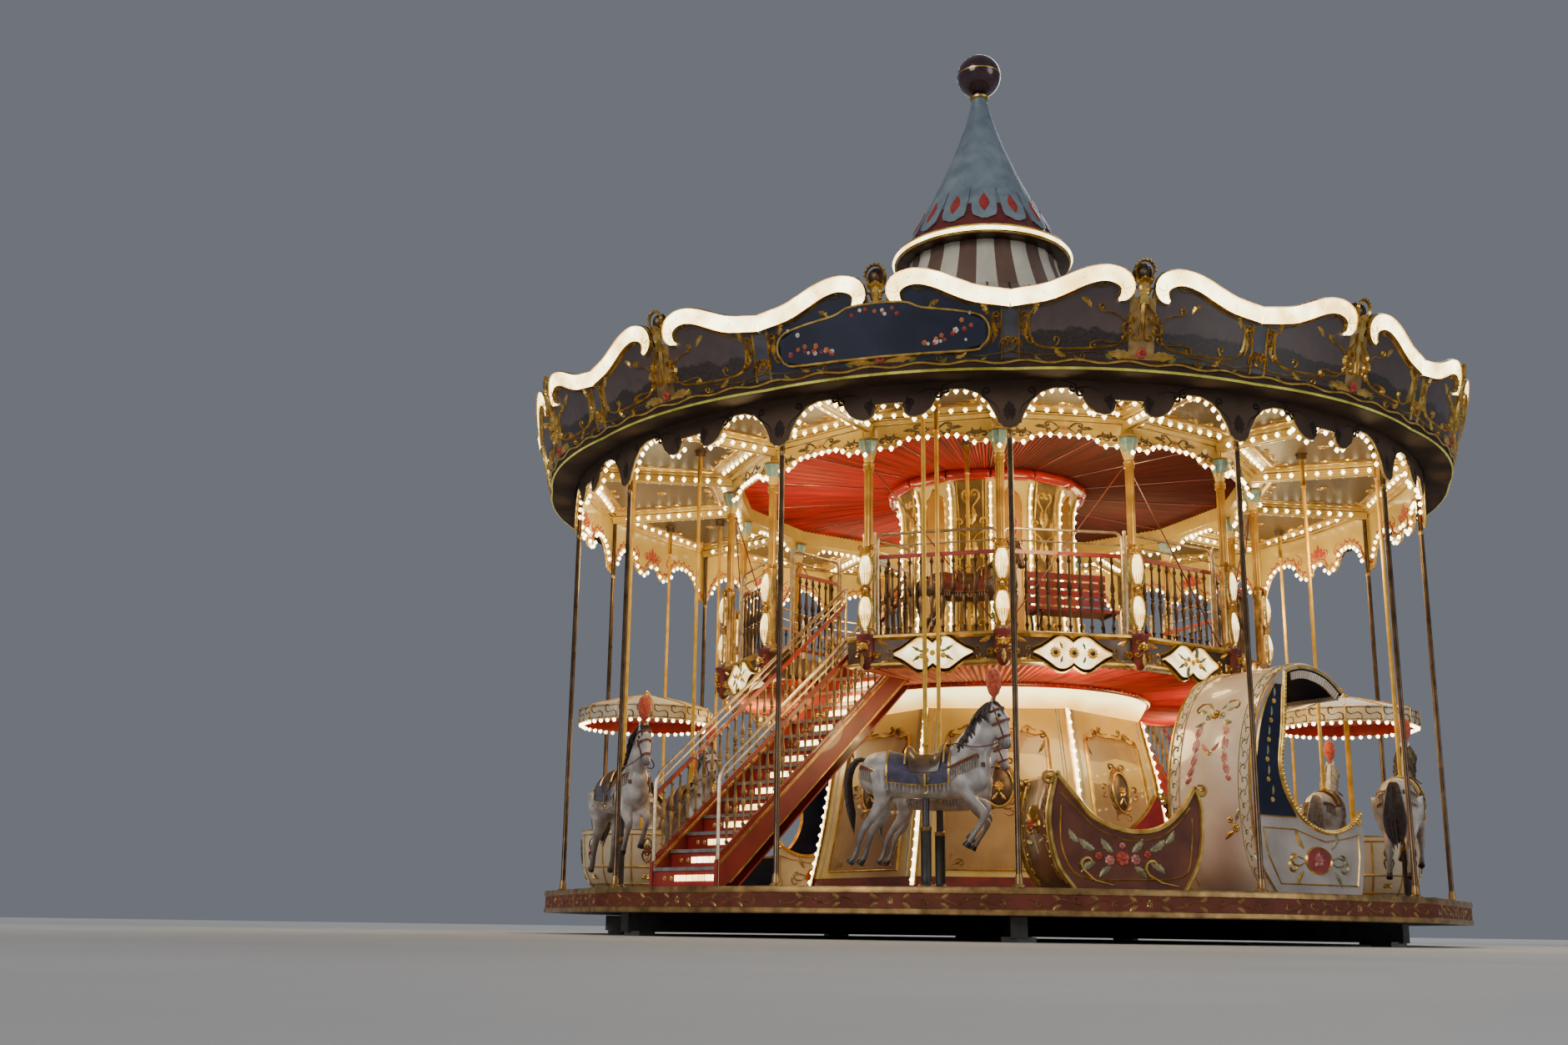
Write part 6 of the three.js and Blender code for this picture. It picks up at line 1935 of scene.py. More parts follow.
def stair_rails():
    """Hand rails on turned balusters, over the stringers."""
    rails = Relief()
    for x in (-STRINGER, STRINGER):
        surface = beside_stair(x)
        hand_rail = [(0.0, 0.001), (0.0, RISE + 0.86), (0.012, RISE + 0.915),
                     (0.05, RISE + 0.96 + 0.05 * SLOPE), (RUN - 0.04, RISE + 0.96 + (RUN - 0.04) * SLOPE),
                     (RUN + 0.02, RISE + 0.96 + RUN * SLOPE)]
        rails.add(laid(surface, sweep([(a, h, 0) for a, h in hand_rail], circle(8), 0.021)), 0)
        second = [(0.02, RISE + 0.885, 0), (RUN, RISE + 0.865 + RUN * SLOPE, 0)]
        rails.add(laid(surface, sweep(second, ROUND, 0.011)), 0)
        for lift, size in ((0.76, (0.022, 0.011)), (0.100, (0.014, 0.010))):
            ends = [(0.0, RISE + lift, 0), (RUN, RISE + lift + RUN * SLOPE, 0)]
            rails.add(laid(surface, sweep(ends, SQUARE, size, out=(0, 0, 1))), 1)
        top_post = [(RUN, RISE * RISERS, 0), (RUN, RISE + 0.965 + RUN * SLOPE, 0)]
        rails.add(laid(surface, sweep(top_post, circle(8), 0.019)), 0)
        for j in range(2 * (RISERS - 1) - 1):
            along = (j + 1) * GOING / 2
            low = DECK_TOP + RISE + 0.105 + along * SLOPE
            rails.add(moved(spindle(low, low + 0.645), (x, -STAIR_FOOT + along, 0)), 2)
    return rails


def stairs():
    """Two flights, each with its steps, lights and rails."""
    steps, lit = stair_steps()
    kit = (("steps", steps, [RED, TREAD, STEEL_LIGHT, RED_STRINGER, GOLD, PALE], "red"),
           ("lights", lit, [LED], "cream"), ("rails", stair_rails(), [RAIL_METAL, RED, OLD_GOLD], "bronze"))
    for number, bay in enumerate(STAIR_BAYS, 1):
        for name, relief, finishes, slot in kit:
            copy = Relief()
            copy.add(turned(relief.part(), middle(bay)), relief.finishes)
            piece(f"stair_{number}_{name}", copy, finishes, slot=slot,
                  replaces=[f"stair_{number}"] if name == "steps" else ())


def platform():
    """The platform with its skirt, the outer poles, and the floor sleeves of the horses."""
    deck = Relief()
    grow = 1 / math.cos(STEP / 2)
    profile = [(0.20, 0.242), (5.30, 0.242), (5.452, 0.242), (5.459, 0.252), (5.459, 0.292), (5.446, 0.302),
               (5.446, 0.432), (5.459, 0.442), (5.459, 0.480), (5.450, 0.4995), (0.10, 0.4995)]
    deck.add(lathe([(d * grow, h) for d, h in profile], MODULES),
             banded(MODULES, (1, 1, 3, 3, 3, 2, 3, 3, 3, 0)) + [1, 0])
    reach = np.linspace(0.08, 1.18, 25)
    stem = strand(np.column_stack([reach, 0.367 + 0.030 * np.sin(reach * 17)]), 0.008, 0.010,
                  ends=(0.8, 0.4))
    sprigs = [put(leaf(0.10, 0.020, 0.010, 30 * side, 3), u, 0.367 + 0.022 * side, 18 * side)
              for u in (0.12, 0.49, 0.86) for side in (1, -1)]
    curls = [scroll((u, 0.367), 60 * side, [(-170 * side, 0.036, 0.030), (-150 * side, 0.024, 0.012)], 0.008,
                    0.010)
             for u, side in ((0.30, 1), (0.67, -1), (1.03, 1))]
    vine = paired(dense([stem] + sprigs + curls))
    for k in range(MODULES):
        deck.add(turned(block((-0.030, -5.59, 0.4990), (0.030, -2.42, 0.5015)), seam(k)), 1)
        deck.lay(on_wall(5.446, middle(k)), (vine, 3), (put(rosette(0.045, 8, 0.014), 0, 0.367), 3))
    sleeve = lathe([(0.0368, 0.522), (0.0368, 1.089), (0.050, 1.089), (0.058, 1.080), (0.058, 1.055),
                    (0.0535, 1.045), (0.0535, 0.56), (0.075, 0.530), (0.090, 0.515), (0.090, 0.4995)], 14,
                   closed=True)
    for k in HORSE_MODULES:
        for radius, _, _ in ROWS.values():
            deck.add(moved(sleeve, on_circle(radius, middle(k) + HORSE_LEAD)),
                     banded(14, (1, 3, 3, 3, 3, 1, 1, 3, 3, 1)))
    piece("platform_deck", deck, [DECK, STEEL, SKIRT, OLD_GOLD], replaces=["lower_deck"], slot="boards")
    poles = Relief()
    pole = lathe([(0.065, 0.5015), (0.065, 0.516), (0.042, 0.530), (0.038, 0.60), (0.0285, 0.625),
                  (0.0282, 4.90), (0.036, 4.915), (0.036, 4.935), (0.0282, 4.95), (0.0282, 5.699)], 12)
    for angle in SEAMS:
        poles.add(moved(pole, on_circle(POLE_RADIUS, angle)),
                  banded(12, (1, 1, 1, 1, 0, 1, 1, 1, 0)) + [0, 0])
    piece("outer_poles", poles, [POLE_BRONZE, OLD_GOLD], slot="bronze")


# Horses


def standing(radius, angle, height=0.0, size=1.0):
    """Where a riding figure stands: on a circle round the axis, facing its direction of travel."""
    return (Matrix.Translation(on_circle(radius, angle, height)) @ Matrix.Rotation(angle, 4, "Z")
            @ Matrix.Scale(size, 4))


def recoloured(mesh, finishes):
    """The same mesh in other finishes."""
    again = mesh.copy()
    for index, material in enumerate(finishes):
        again.materials[index] = material
    return again


def limb(stations):
    """A rounded body through stations of (x, y, z, half width, half depth), smoothed between them."""
    line = smooth(stations, 3)
    path, sizes = line[:, :3], np.maximum(line[:, 3:], 0.004)
    return sweep(path, circle(14), sizes)


def one_skin(parts, voxel, rounds, keep):
    """One closed skin round overlapping parts."""
    relief = dense(parts)
    mesh = bpy.data.meshes.new("skin")
    mesh.from_pydata(relief[0].tolist(), [], relief[1])
    work = bmesh.new()
    work.from_mesh(mesh)
    bmesh.ops.recalc_face_normals(work, faces=work.faces)
    work.to_mesh(mesh)
    work.free()
    made = bpy.data.objects.new("skin", mesh)
    bpy.context.scene.collection.objects.link(made)
    remesh = made.modifiers.new("skin", "REMESH")
    remesh.mode = "VOXEL"
    remesh.voxel_size = voxel
    softened = made.modifiers.new("soft", "SMOOTH")
    softened.iterations = rounds
    softened.factor = 0.5
    fewer = made.modifiers.new("fewer", "DECIMATE")
    fewer.ratio = keep
    seen = made.evaluated_get(bpy.context.evaluated_depsgraph_get())
    result = bpy.data.meshes.new_from_object(seen)
    points = np.empty(len(result.vertices) * 3)
    result.vertices.foreach_get("co", points)
    faces = [tuple(face.vertices) for face in result.polygons]
    bpy.data.objects.remove(made)
    bpy.data.meshes.remove(mesh)
    bpy.data.meshes.remove(result)
    return points.reshape(-1, 3), faces


# Stations along the barrel of a horse: x, height of the middle, half width, half height
BARREL = smooth([(-0.665, 0.10, 0.045, 0.06), (-0.60, 0.085, 0.145, 0.165), (-0.47, 0.065, 0.200, 0.225),
                 (-0.30, 0.045, 0.212, 0.222), (-0.10, 0.015, 0.200, 0.200), (0.10, 0.015, 0.196, 0.205),
                 (0.28, 0.045, 0.198, 0.235), (0.42, 0.085, 0.180, 0.255), (0.52, 0.13, 0.130, 0.215),
                 (0.575, 0.16, 0.060, 0.12)], 4)


def on_barrel(x, around, lift=0.0):
    """A point on a horse's barrel. around is in degrees from the back, positive to the right."""
    height, half_width, half_height = (np.interp(x, BARREL[:, 0], BARREL[:, i]) for i in (1, 2, 3))
    turn = math.radians(around)
    return (x, -(half_width + lift) * math.sin(turn), height + (half_height + lift) * math.cos(turn))


def girth(x, start, end, width, lift, thick, steps=16, lean=0.0):
    """A strap round the barrel at x, between two angles, leaning along the body by a share."""
    rows = []
    for around in np.linspace(start, end, steps):
        at = x + lean * abs(around) / 90
        rows.append([on_barrel(at - width, around, lift), on_barrel(at - width, around, lift + thick),
                     on_barrel(at + width, around, lift + thick), on_barrel(at + width, around, lift)])
    return skin(rows)


def saddle_part():
    """A saddle over the barrel, raised at both ends and drawn in down its flaps."""
    centre = 0.02
    across = np.linspace(-78, 78, 19)
    along = np.linspace(-0.16, 0.20, 13)

    def height(x, around):
        share = (x + 0.16) / 0.36
        top = max(0.0, math.cos(math.radians(around) * 1.1)) ** 1.6
        rise = (0.070 * math.exp(-((share - 0.02) / 0.13) ** 2)
                + 0.085 * math.exp(-((share - 0.97) / 0.10) ** 2))
        return 0.020 + top * (0.022 + rise)

    def reach(x, around):
        return centre + (x - centre) * (1 - 0.24 * (abs(around) / 78) ** 2)

    front = [[on_barrel(reach(x, a), a, height(x, a)) for a in across] for x in along]
    back = [[on_barrel(reach(x, a), a, 0.004) for a in across] for x in along]
    return closed_sheet(np.array(front), np.array(back))


def blanket_part(x0, x1, angle, lift):
    """A gently rippled blanket between two places along the barrel, down to an angle on each side."""
    across = np.linspace(-angle, angle, 19)
    along = np.linspace(x0, x1, 7)
    front = [[on_barrel(x, a, lift + 0.004 * math.cos(a * 0.22)) for a in across] for x in along]
    back = [[on_barrel(x, a, 0.001) for a in across] for x in along]
    return closed_sheet(np.array(front), np.array(back))


def tassel(top, length, width):
    return moved(lathe([(width * 0.75, 0.0), (width * 0.55, -0.22 * length), (width, -length)], 4), top)


NECK_LINE = [(0.36, 0, 0.12, 0.150, 0.235), (0.46, 0, 0.27, 0.118, 0.200), (0.545, 0, 0.43, 0.092, 0.160),
             (0.605, 0, 0.57, 0.076, 0.128), (0.655, 0, 0.665, 0.066, 0.098),
             (0.700, 0, 0.690, 0.055, 0.070)]
HEAD_LINE = [(0.640, 0, 0.700, 0.050, 0.060), (0.690, 0, 0.650, 0.078, 0.098),
             (0.735, 0, 0.570, 0.074, 0.102), (0.765, 0, 0.480, 0.057, 0.078),
             (0.785, 0, 0.400, 0.045, 0.062), (0.798, 0, 0.335, 0.046, 0.060),
             (0.800, 0, 0.295, 0.034, 0.042)]


def horse_legs():
    legs = []
    for side, knee_lift in ((-1, 0.0), (1, 0.075)):
        y = side * 0.105
        legs.append(limb([(0.36, y * 0.8, 0.02, 0.085, 0.13), (0.41, y, -0.10, 0.070, 0.105),
                          (0.47, y, -0.20, 0.052, 0.075), (0.56, y, -0.29 + knee_lift, 0.042, 0.052),
                          (0.595, y, -0.345 + knee_lift, 0.040, 0.046),
                          (0.55, y, -0.44 + knee_lift, 0.027, 0.032),
                          (0.49, y, -0.53 + knee_lift, 0.026, 0.030),
                          (0.46, y, -0.575 + knee_lift, 0.031, 0.034),
                          (0.43, y, -0.615 + knee_lift, 0.029, 0.032)]))
        legs.append(limb([(0.435, y, -0.605 + knee_lift, 0.032, 0.036),
                          (0.405, y, -0.655 + knee_lift, 0.045, 0.048)]))
    for side, swing in ((-1, 0.0), (1, 0.05)):
        y = side * 0.110
        legs.append(limb([(-0.44, y * 0.75, 0.04, 0.105, 0.200), (-0.42, y, -0.10, 0.090, 0.165),
                          (-0.43, y, -0.22, 0.068, 0.115), (-0.50 + swing, y, -0.35, 0.050, 0.072),
                          (-0.585 + swing, y, -0.455, 0.040, 0.052),
                          (-0.620 + swing, y, -0.52, 0.035, 0.042), (-0.655 + swing, y, -0.64, 0.026, 0.032),
                          (-0.685 + swing, y, -0.735, 0.031, 0.035),
                          (-0.715 + swing, y, -0.785, 0.029, 0.032)]))
        legs.append(limb([(-0.710 + swing, y, -0.775, 0.032, 0.036),
                          (-0.745 + swing, y, -0.818, 0.044, 0.046)]))
    return legs


HOOVES = [(0.405, -0.105, -0.655), (0.405, 0.105, -0.580), (-0.745, -0.11, -0.818), (-0.695, 0.11, -0.818)]


def horse_body():
    """The carved body in one skin, and the finish of each of its faces."""
    barrel = [(x, 0, z, w, h) for x, z, w, h in BARREL]
    body = sweep([b[:3] for b in barrel], circle(20), np.array([b[3:] for b in barrel]))
    ears = [limb([(0.665, s * 0.035, 0.715, 0.020, 0.026), (0.670, s * 0.045, 0.770, 0.018, 0.020),
                  (0.680, s * 0.042, 0.815, 0.005, 0.006)]) for s in (-1, 1)]
    cheeks = [limb([(0.700, s * 0.030, 0.650, 0.020, 0.03), (0.705, s * 0.045, 0.600, 0.036, 0.055),
                    (0.715, s * 0.030, 0.550, 0.018, 0.028)]) for s in (-1, 1)]
    chest = limb([(0.50, 0, 0.30, 0.09, 0.10), (0.545, 0, 0.16, 0.11, 0.12), (0.52, 0, 0.00, 0.08, 0.08)])
    points, faces = one_skin([body, limb(NECK_LINE), limb(HEAD_LINE), chest] + ears + cheeks + horse_legs(),
                             0.013, 7, 0.10)
    centres = np.array([points[list(face)].mean(axis=0) for face in faces])
    far = np.min([np.linalg.norm(centres - np.array(hoof), axis=1) for hoof in HOOVES], axis=0)
    return (points, faces), [1 if distance < 0.062 else 0 for distance in far]


def add_hair(whole):
    """Mane, forelock, tail, eyes and nostrils."""
    draw = random.Random(7)
    crest = smooth([(0.40, 0.40), (0.455, 0.52), (0.515, 0.62), (0.575, 0.705), (0.635, 0.755),
                    (0.680, 0.770)], 4)
    for i, (x, z) in enumerate(crest):
        for side in (-1, 1):
            drop = 0.16 + 0.10 * draw.random()
            back = -0.05 - 0.05 * draw.random()
            y = side * 0.012
            line = smooth([(x, y, z - 0.035), (x - 0.02, side * 0.05, z - 0.02),
                           (x + back * 0.7, side * 0.085, z - 0.4 * drop),
                           (x + back, side * (0.105 + 0.02 * draw.random()), z - 0.75 * drop),
                           (x + back + 0.03, side * 0.10, z - drop)], 1)
            share = np.linspace(0, 1, len(line))
            thick = np.interp(share, [0, 0.3, 0.7, 1], [0.020, 0.024, 0.018, 0.005])
            whole.add(sweep(line, circle(4), np.column_stack([thick, thick * 0.6])), 2)
    for i in range(6):
        y = (i - 2.5) * 0.012
        line = smooth([(0.665, y, 0.765), (0.725, y * 1.4, 0.745), (0.775, y * 1.7, 0.675),
                       (0.790, y * 1.5, 0.600)], 2)
        whole.add(sweep(line, circle(4),
                        np.interp(np.linspace(0, 1, len(line)), [0, 0.5, 1], [0.014, 0.014, 0.004])), 2)
    for i in range(11):
        y = (i - 5) * 0.011
        low = -0.44 - 0.10 * draw.random()
        line = smooth([(-0.60, y * 0.4, 0.20), (-0.69, y * 0.6, 0.20),
                       (-0.755 - abs(y) * 0.3, y * 1.2, 0.06), (-0.775, y * 1.8, -0.14),
                       (-0.755 + 0.02 * draw.random(), y * 1.7, -0.32), (-0.73, y * 0.9, low)], 2)
        whole.add(sweep(line, circle(4), np.interp(np.linspace(0, 1, len(line)), [0, 0.3, 0.75, 1],
                                                   [0.018, 0.026, 0.024, 0.004])), 2)
    for side in (-1, 1):
        whole.add(bead(0.017, (0.742, side * 0.068, 0.612), sides=8), 3)
        whole.add(sweep(smooth([(0.715, side * 0.070, 0.612), (0.742, side * 0.078, 0.632),
                                (0.765, side * 0.066, 0.612)], 3),
                        ROUND, 0.006), 2)
        whole.add(bead(0.008, (0.822, side * 0.027, 0.318), sides=6), 3)


def add_saddle(whole):
    """The blanket with its fringe, the saddle and the stirrups."""
    whole.add(blanket_part(-0.36, 0.27, 112, 0.012), 4)
    for at in (-0.352, 0.262):
        whole.add(girth(at, -112, 112, 0.010, 0.014, 0.006, 24), 5)
    for side in (-1, 1):
        edge = [on_barrel(x, side * 111, 0.017) for x in np.linspace(-0.36, 0.27, 10)]
        whole.add(sweep(edge, ROUND, 0.008), 5)
        for x in np.linspace(-0.345, 0.255, 16):
            whole.add(tassel(on_barrel(x, side * 110, 0.016), 0.085, 0.012), 6)
        flap = ((-0.02, 60), (-0.045, 95), (0.02, 116), (0.085, 95), (0.06, 60))
        whole.add(skin([[on_barrel(x, side * a, lift) for x, a in flap] for lift in (0.002, 0.022)]), 7)
        stirrup = [on_barrel(0.03, side * 84, 0.035), on_barrel(0.03, side * 112, 0.045)]
        whole.add(sweep(stirrup, SQUARE, (0.009, 0.003)), 5)
        centre = np.array(stirrup[1])
        bow = [(centre[0] + 0.032 * math.cos(t), centre[1], centre[2] - 0.035 + 0.036 * math.sin(t))
               for t in round_turns(12)]
        whole.add(sweep(bow, circle(5), 0.005, closed=True), 5)
    whole.add(saddle_part(), 7)
    for x, rise in ((-0.172, 0.075), (0.212, 0.085)):
        edge = [on_barrel(x, a, rise * max(0, math.cos(math.radians(a) * 1.1)) ** 1.6 + 0.022)
                for a in np.linspace(-62, 62, 13)]
        whole.add(sweep(edge, ROUND, 0.010), 5)


def add_harness(whole):
    """Straps with tassels round the breast and the rump, and the bridle with its reins."""
    for lift, start, x, end_x in ((0.014, 78, 0.25, 0.545), (0.014, 100, -0.35, -0.645)):
        for side in (-1, 1):
            line = [on_barrel(x + (end_x - x) * t, side * (start - 12 * t if x > 0 else start - 22 * t),
                              lift)
                    for t in np.linspace(0, 1, 14)]
            whole.add(sweep(line, SQUARE, (0.006, 0.022)), 8)
            whole.add(sweep([np.array(p) + [0, -side * 0.006, 0.019] for p in line], ROUND, 0.005), 5)
            for p in line[1:-1]:
                whole.add(tassel(np.array(p) + [0, -side * 0.008, -0.018], 0.095, 0.013), 6)
    front = [(0.56 + 0.055 * math.cos(t), 0.130 * math.sin(t), 0.135) for t in np.linspace(-1.35, 1.35, 11)]
    whole.add(sweep(front, SQUARE, (0.006, 0.022)), 8)
    whole.add(put_rosette((0.623, 0, 0.135), 0.032), 5)
    for x0, z0, across, depth in ((0.742, 0.548, 0.079, 0.107), (0.783, 0.408, 0.050, 0.068),
                                  (0.700, 0.665, 0.078, 0.096)):
        lean = math.radians(-68)
        band = []
        for t in round_turns(16):
            along_face = depth * math.cos(t)
            band.append((x0 - along_face * math.sin(lean), across * math.sin(t),
                         z0 + along_face * math.cos(lean)))
        whole.add(sweep(band, SQUARE, (0.004, 0.013), closed=True), 8)
    for side in (-1, 1):
        whole.add(bar((0.725, side * 0.082, 0.590), (0.782, side * 0.052, 0.410), 0.008, circle(6)), 8)
        whole.add(bar((0.690, side * 0.078, 0.700), (0.732, side * 0.083, 0.560), 0.008, circle(6)), 8)
        whole.add(put_rosette((0.728, side * 0.086, 0.585), 0.018, side), 5)
        rein = smooth([(0.778, side * 0.056, 0.395), (0.70, side * 0.13, 0.33), (0.52, side * 0.165, 0.30),
                       (0.34, side * 0.10, 0.345), (0.215, side * 0.02, 0.335)], 4)
        whole.add(sweep(rein, circle(5), 0.007), 8)


def horse_shape():
    """The carved body with its mane, tail and harness, facing +X, its barrel round the origin."""
    whole = Relief()
    whole.add(*horse_body())
    add_hair(whole)
    add_saddle(whole)
    add_harness(whole)
    return whole


def put_rosette(centre, radius, side=0):
    """A small boss facing forward, or to one side."""
    points, faces = rosette(radius, 6, 0.014)
    if side:
        points = np.column_stack([points[:, 0], points[:, 2] * side, points[:, 1]])
    else:
        points = np.column_stack([points[:, 2], points[:, 0], points[:, 1]])
    return points + np.array(centre), faces


def plume_shape():
    """A fluffy plume on the head."""
    def fluff(angle, height):
        return 1 + 0.10 * math.sin(7 * angle + 46 * height) + 0.07 * math.sin(11 * angle - 71 * height)

    profile = [(0.010, -0.030), (0.014, 0.0), (0.034, 0.022), (0.046, 0.06), (0.050, 0.10), (0.047, 0.14),
               (0.038, 0.172), (0.022, 0.190), (0.006, 0.195)]
    whole = Relief()
    whole.add(moved(scaled(lathe(profile, 20, wave=fluff), 1.45), (0.690, 0, 0.815)), 0)
    whole.add(moved(lathe([(0.020, -0.045), (0.024, -0.02), (0.012, -0.005), (0.020, 0.006), (0.010, 0.016)],
                          10),
                    (0.690, 0, 0.790)), 1)
    return whole


def horse_pole(height, size, tube, tube_radius, top):
    """The gilt pole through a horse and the plain tube under it."""
    whole = Relief()
    saddle = height + 0.27 * size
    lower = lathe([(tube_radius, tube), (tube_radius, height - 0.16 * size)], 14)
    whole.add(lower, 1 if tube_radius > 0.03 else 0)
    whole.add(lathe([(0.022, height + 0.18 * size), (0.022, saddle + 0.055), (0.034, saddle + 0.065),
                     (0.034, saddle + 0.085), (0.022, saddle + 0.095), (0.022, top - 0.30), (0.0225, top)],
                    14), 0)
    return whole


def horses():
    trim = [GOLD, FRINGE, SADDLE, HARNESS]
    grey = relief_mesh("grey_horse", horse_shape(), [DAPPLE, HOOF, MANE, DARK_GLASS, BLANKET] + trim, 40.0)
    pale = recoloured(grey, [PALE_DAPPLE, HOOF, GREY_MANE, DARK_GLASS, RED_BLANKET])
    bay = recoloured(grey, [BAY, HOOF, MANE, DARK_GLASS, RED_BLANKET])
    plume = relief_mesh("plume", plume_shape(), [PLUME, GOLD])
    places = []
    for row, (radius, height, size) in ROWS.items():
        pole = relief_mesh(f"{row}_pole", horse_pole(height, size, 0.682, 0.036, 5.638),
                           [POLE_GOLD, TUBE_GREY])
        for k in HORSE_MODULES:
            places.append((f"horse_{row}_{k:02d}", grey if row == "outer" else pale, "horse", pole,
                           radius, middle(k) + HORSE_LEAD, height, size))
    radius, height, size = UPPER_ROW
    pole = relief_mesh("upper_pole", horse_pole(height, size, 3.312, 0.022, 5.708), [POLE_GOLD, TUBE_GREY])
    for i, angle in enumerate(UPPER_ANGLES, 1):
        places.append((f"horse_upper_{i}", bay, "brown_horse", pole, radius, angle, height, size))
    for name, coat, slot, pole, radius, angle, height, size in places:
        spot = standing(radius, angle, height, size)
        settle(f"{name}_carved", coat, slot, name, [name], spot)
        settle(f"{name}_plume", plume, "red", name, (), spot)
        settle(f"{name}_pole", pole, "gold", name, (), standing(radius, angle))


# Chariots, cups and benches


def side_on(y, out_sign):
    """A side view drawn as (along, up), standing at a place across a seat and facing outwards."""
    def surface(across, up, out):
        return np.column_stack([across, y + out_sign * out, up])
    return surface


def along_line(line, start=0.0):
    """A surface along a side line of (along, up): across is across the seat, up is along the line."""
    line = np.asarray(line, float)
    steps = np.linalg.norm(np.diff(line, axis=0), axis=1)
    reach = start + np.concatenate([[0], np.cumsum(steps)])
    tangents = np.gradient(line, reach, axis=0)
    tangents /= np.linalg.norm(tangents, axis=1)[:, None]
    normals = np.column_stack([-tangents[:, 1], tangents[:, 0]])

    def surface(across, up, out):
        x, z, nx, nz = (np.interp(up, reach, column) for column in (*line.T, *normals.T))
        return np.column_stack([x + nx * out, across, z + nz * out])
    return surface


def cushion(surface, x0, x1, y0, y1, thick, channels, crown=0.4, rows=17, columns=29):
    """A crowned pad on a surface, with sides that pull in between its corners and sewn channels across."""
    front, back = [], []
    for s in np.linspace(-1, 1, columns):
        line, base = [], []
        for t in np.linspace(-1, 1, rows):
            pull_s = s * (1 - 0.035 * (1 - t * t))
            pull_t = t * (1 - 0.035 * (1 - s * s))
            across = x0 + (x1 - x0) * (pull_s + 1) / 2
            up = y0 + (y1 - y0) * (pull_t + 1) / 2
            edge = (1 - abs(s) ** 8) * (1 - abs(t) ** 8)
            seam_line = 0.25 * abs(math.cos(math.pi * channels * (s + 1) / 2)) ** 12 * edge
            swell = edge ** 0.35 * (1 - crown + crown * (1 - s * s) * (1 - t * t)) - seam_line
            line.append((across, up, 0.006 + thick * max(swell, 0.12)))
            base.append((across, up, 0.004))
        front.append(line)
        back.append(base)
    return laid(surface, closed_sheet(np.array(front), np.array(back)))


def seat_top(height):
    """A level surface over a seat: across is the direction of travel, up is across the seat."""
    def surface(across, up, out):
        return np.column_stack([across, up, height + out])
    return surface


def curved_shell(outer, inner, half_width, kinds):
    """A curved back and floor between two lines of (along, up). kinds: outside, inside, rim."""
    loop = np.concatenate([outer, inner[::-1]])
    middle_line = (np.array(outer) + np.array(inner)) / 2
    centre = np.concatenate([middle_line, middle_line[::-1]])
    rows = []
    for y, keep in ((-half_width, 0.4), (-half_width + 0.008, 0.85), (-half_width + 0.02, 1.0),
                    (half_width - 0.02, 1.0), (half_width - 0.008, 0.85), (half_width, 0.4)):
        rows.append([(x, y, z) for x, z in centre + (loop - centre) * keep])
    size = len(outer)
    around = [kinds[0]] * (size - 1) + [kinds[2]] + [kinds[1]] * (size - 1) + [kinds[2]]
    return skin(rows), around * 5 + [kinds[2]] * 2


def side_panels(whole, outline, half_width, thick, kinds):
    """A plate on each side. kinds: outside, inside, rim."""
    for sign in (-1, 1):
        low, high = sorted((sign * half_width, sign * (half_width - thick)))
        part = laid(side_on(0, 1), plate(outline, low, high))
        faces = [kinds[2]] * len(outline) + ([kinds[0], kinds[1]] if sign < 0 else [kinds[1], kinds[0]])
        whole.add(part, faces)


HOOD_BACK = smooth([(-0.48, ON_DECK), (-0.70, 0.82), (-0.78, 1.30), (-0.76, 1.80), (-0.62, 2.30),
                    (-0.35, 2.68), (0.03, 2.85), (0.42, 2.80), (0.70, 2.62)], 6)
HOOD_INSIDE = smooth([(-0.44, 0.58), (-0.63, 0.86), (-0.705, 1.30), (-0.69, 1.79), (-0.56, 2.26),
                      (-0.32, 2.61), (0.03, 2.77), (0.40, 2.725), (0.66, 2.56)], 6)
HOOD_FRONT = smooth([(-0.20, 2.745), (-0.26, 2.20), (-0.33, 1.70), (-0.12, 1.30), (0.25, 1.13), (0.60, 1.18),
                     (0.82, 1.35)], 5)
HOOD_HALF = 0.575


def chain_scrolls(surface, across, start, end, step, size):
    """A border of small scrolls in turn, with beads between them."""
    parts = []
    for i, up in enumerate(np.arange(start, end, 1.12 * step)):
        flip = 1 if i % 2 else -1
        part = scroll((0, 0), 90 + flip * 50,
                      [(-flip * 95, 0.9 * step, 0.5 * step), (-flip * 200, 0.35 * step, 0.10 * step)],
                      0.10 * step, 0.010)
        parts.append(laid(surface, put(part, across - flip * 0.2 * size, up)))
        parts.append(laid(surface, bead(0.09 * step, (across + flip * 0.45 * size, up + 0.15 * step, 0.003),
                                        0.7)))
    return dense(parts)


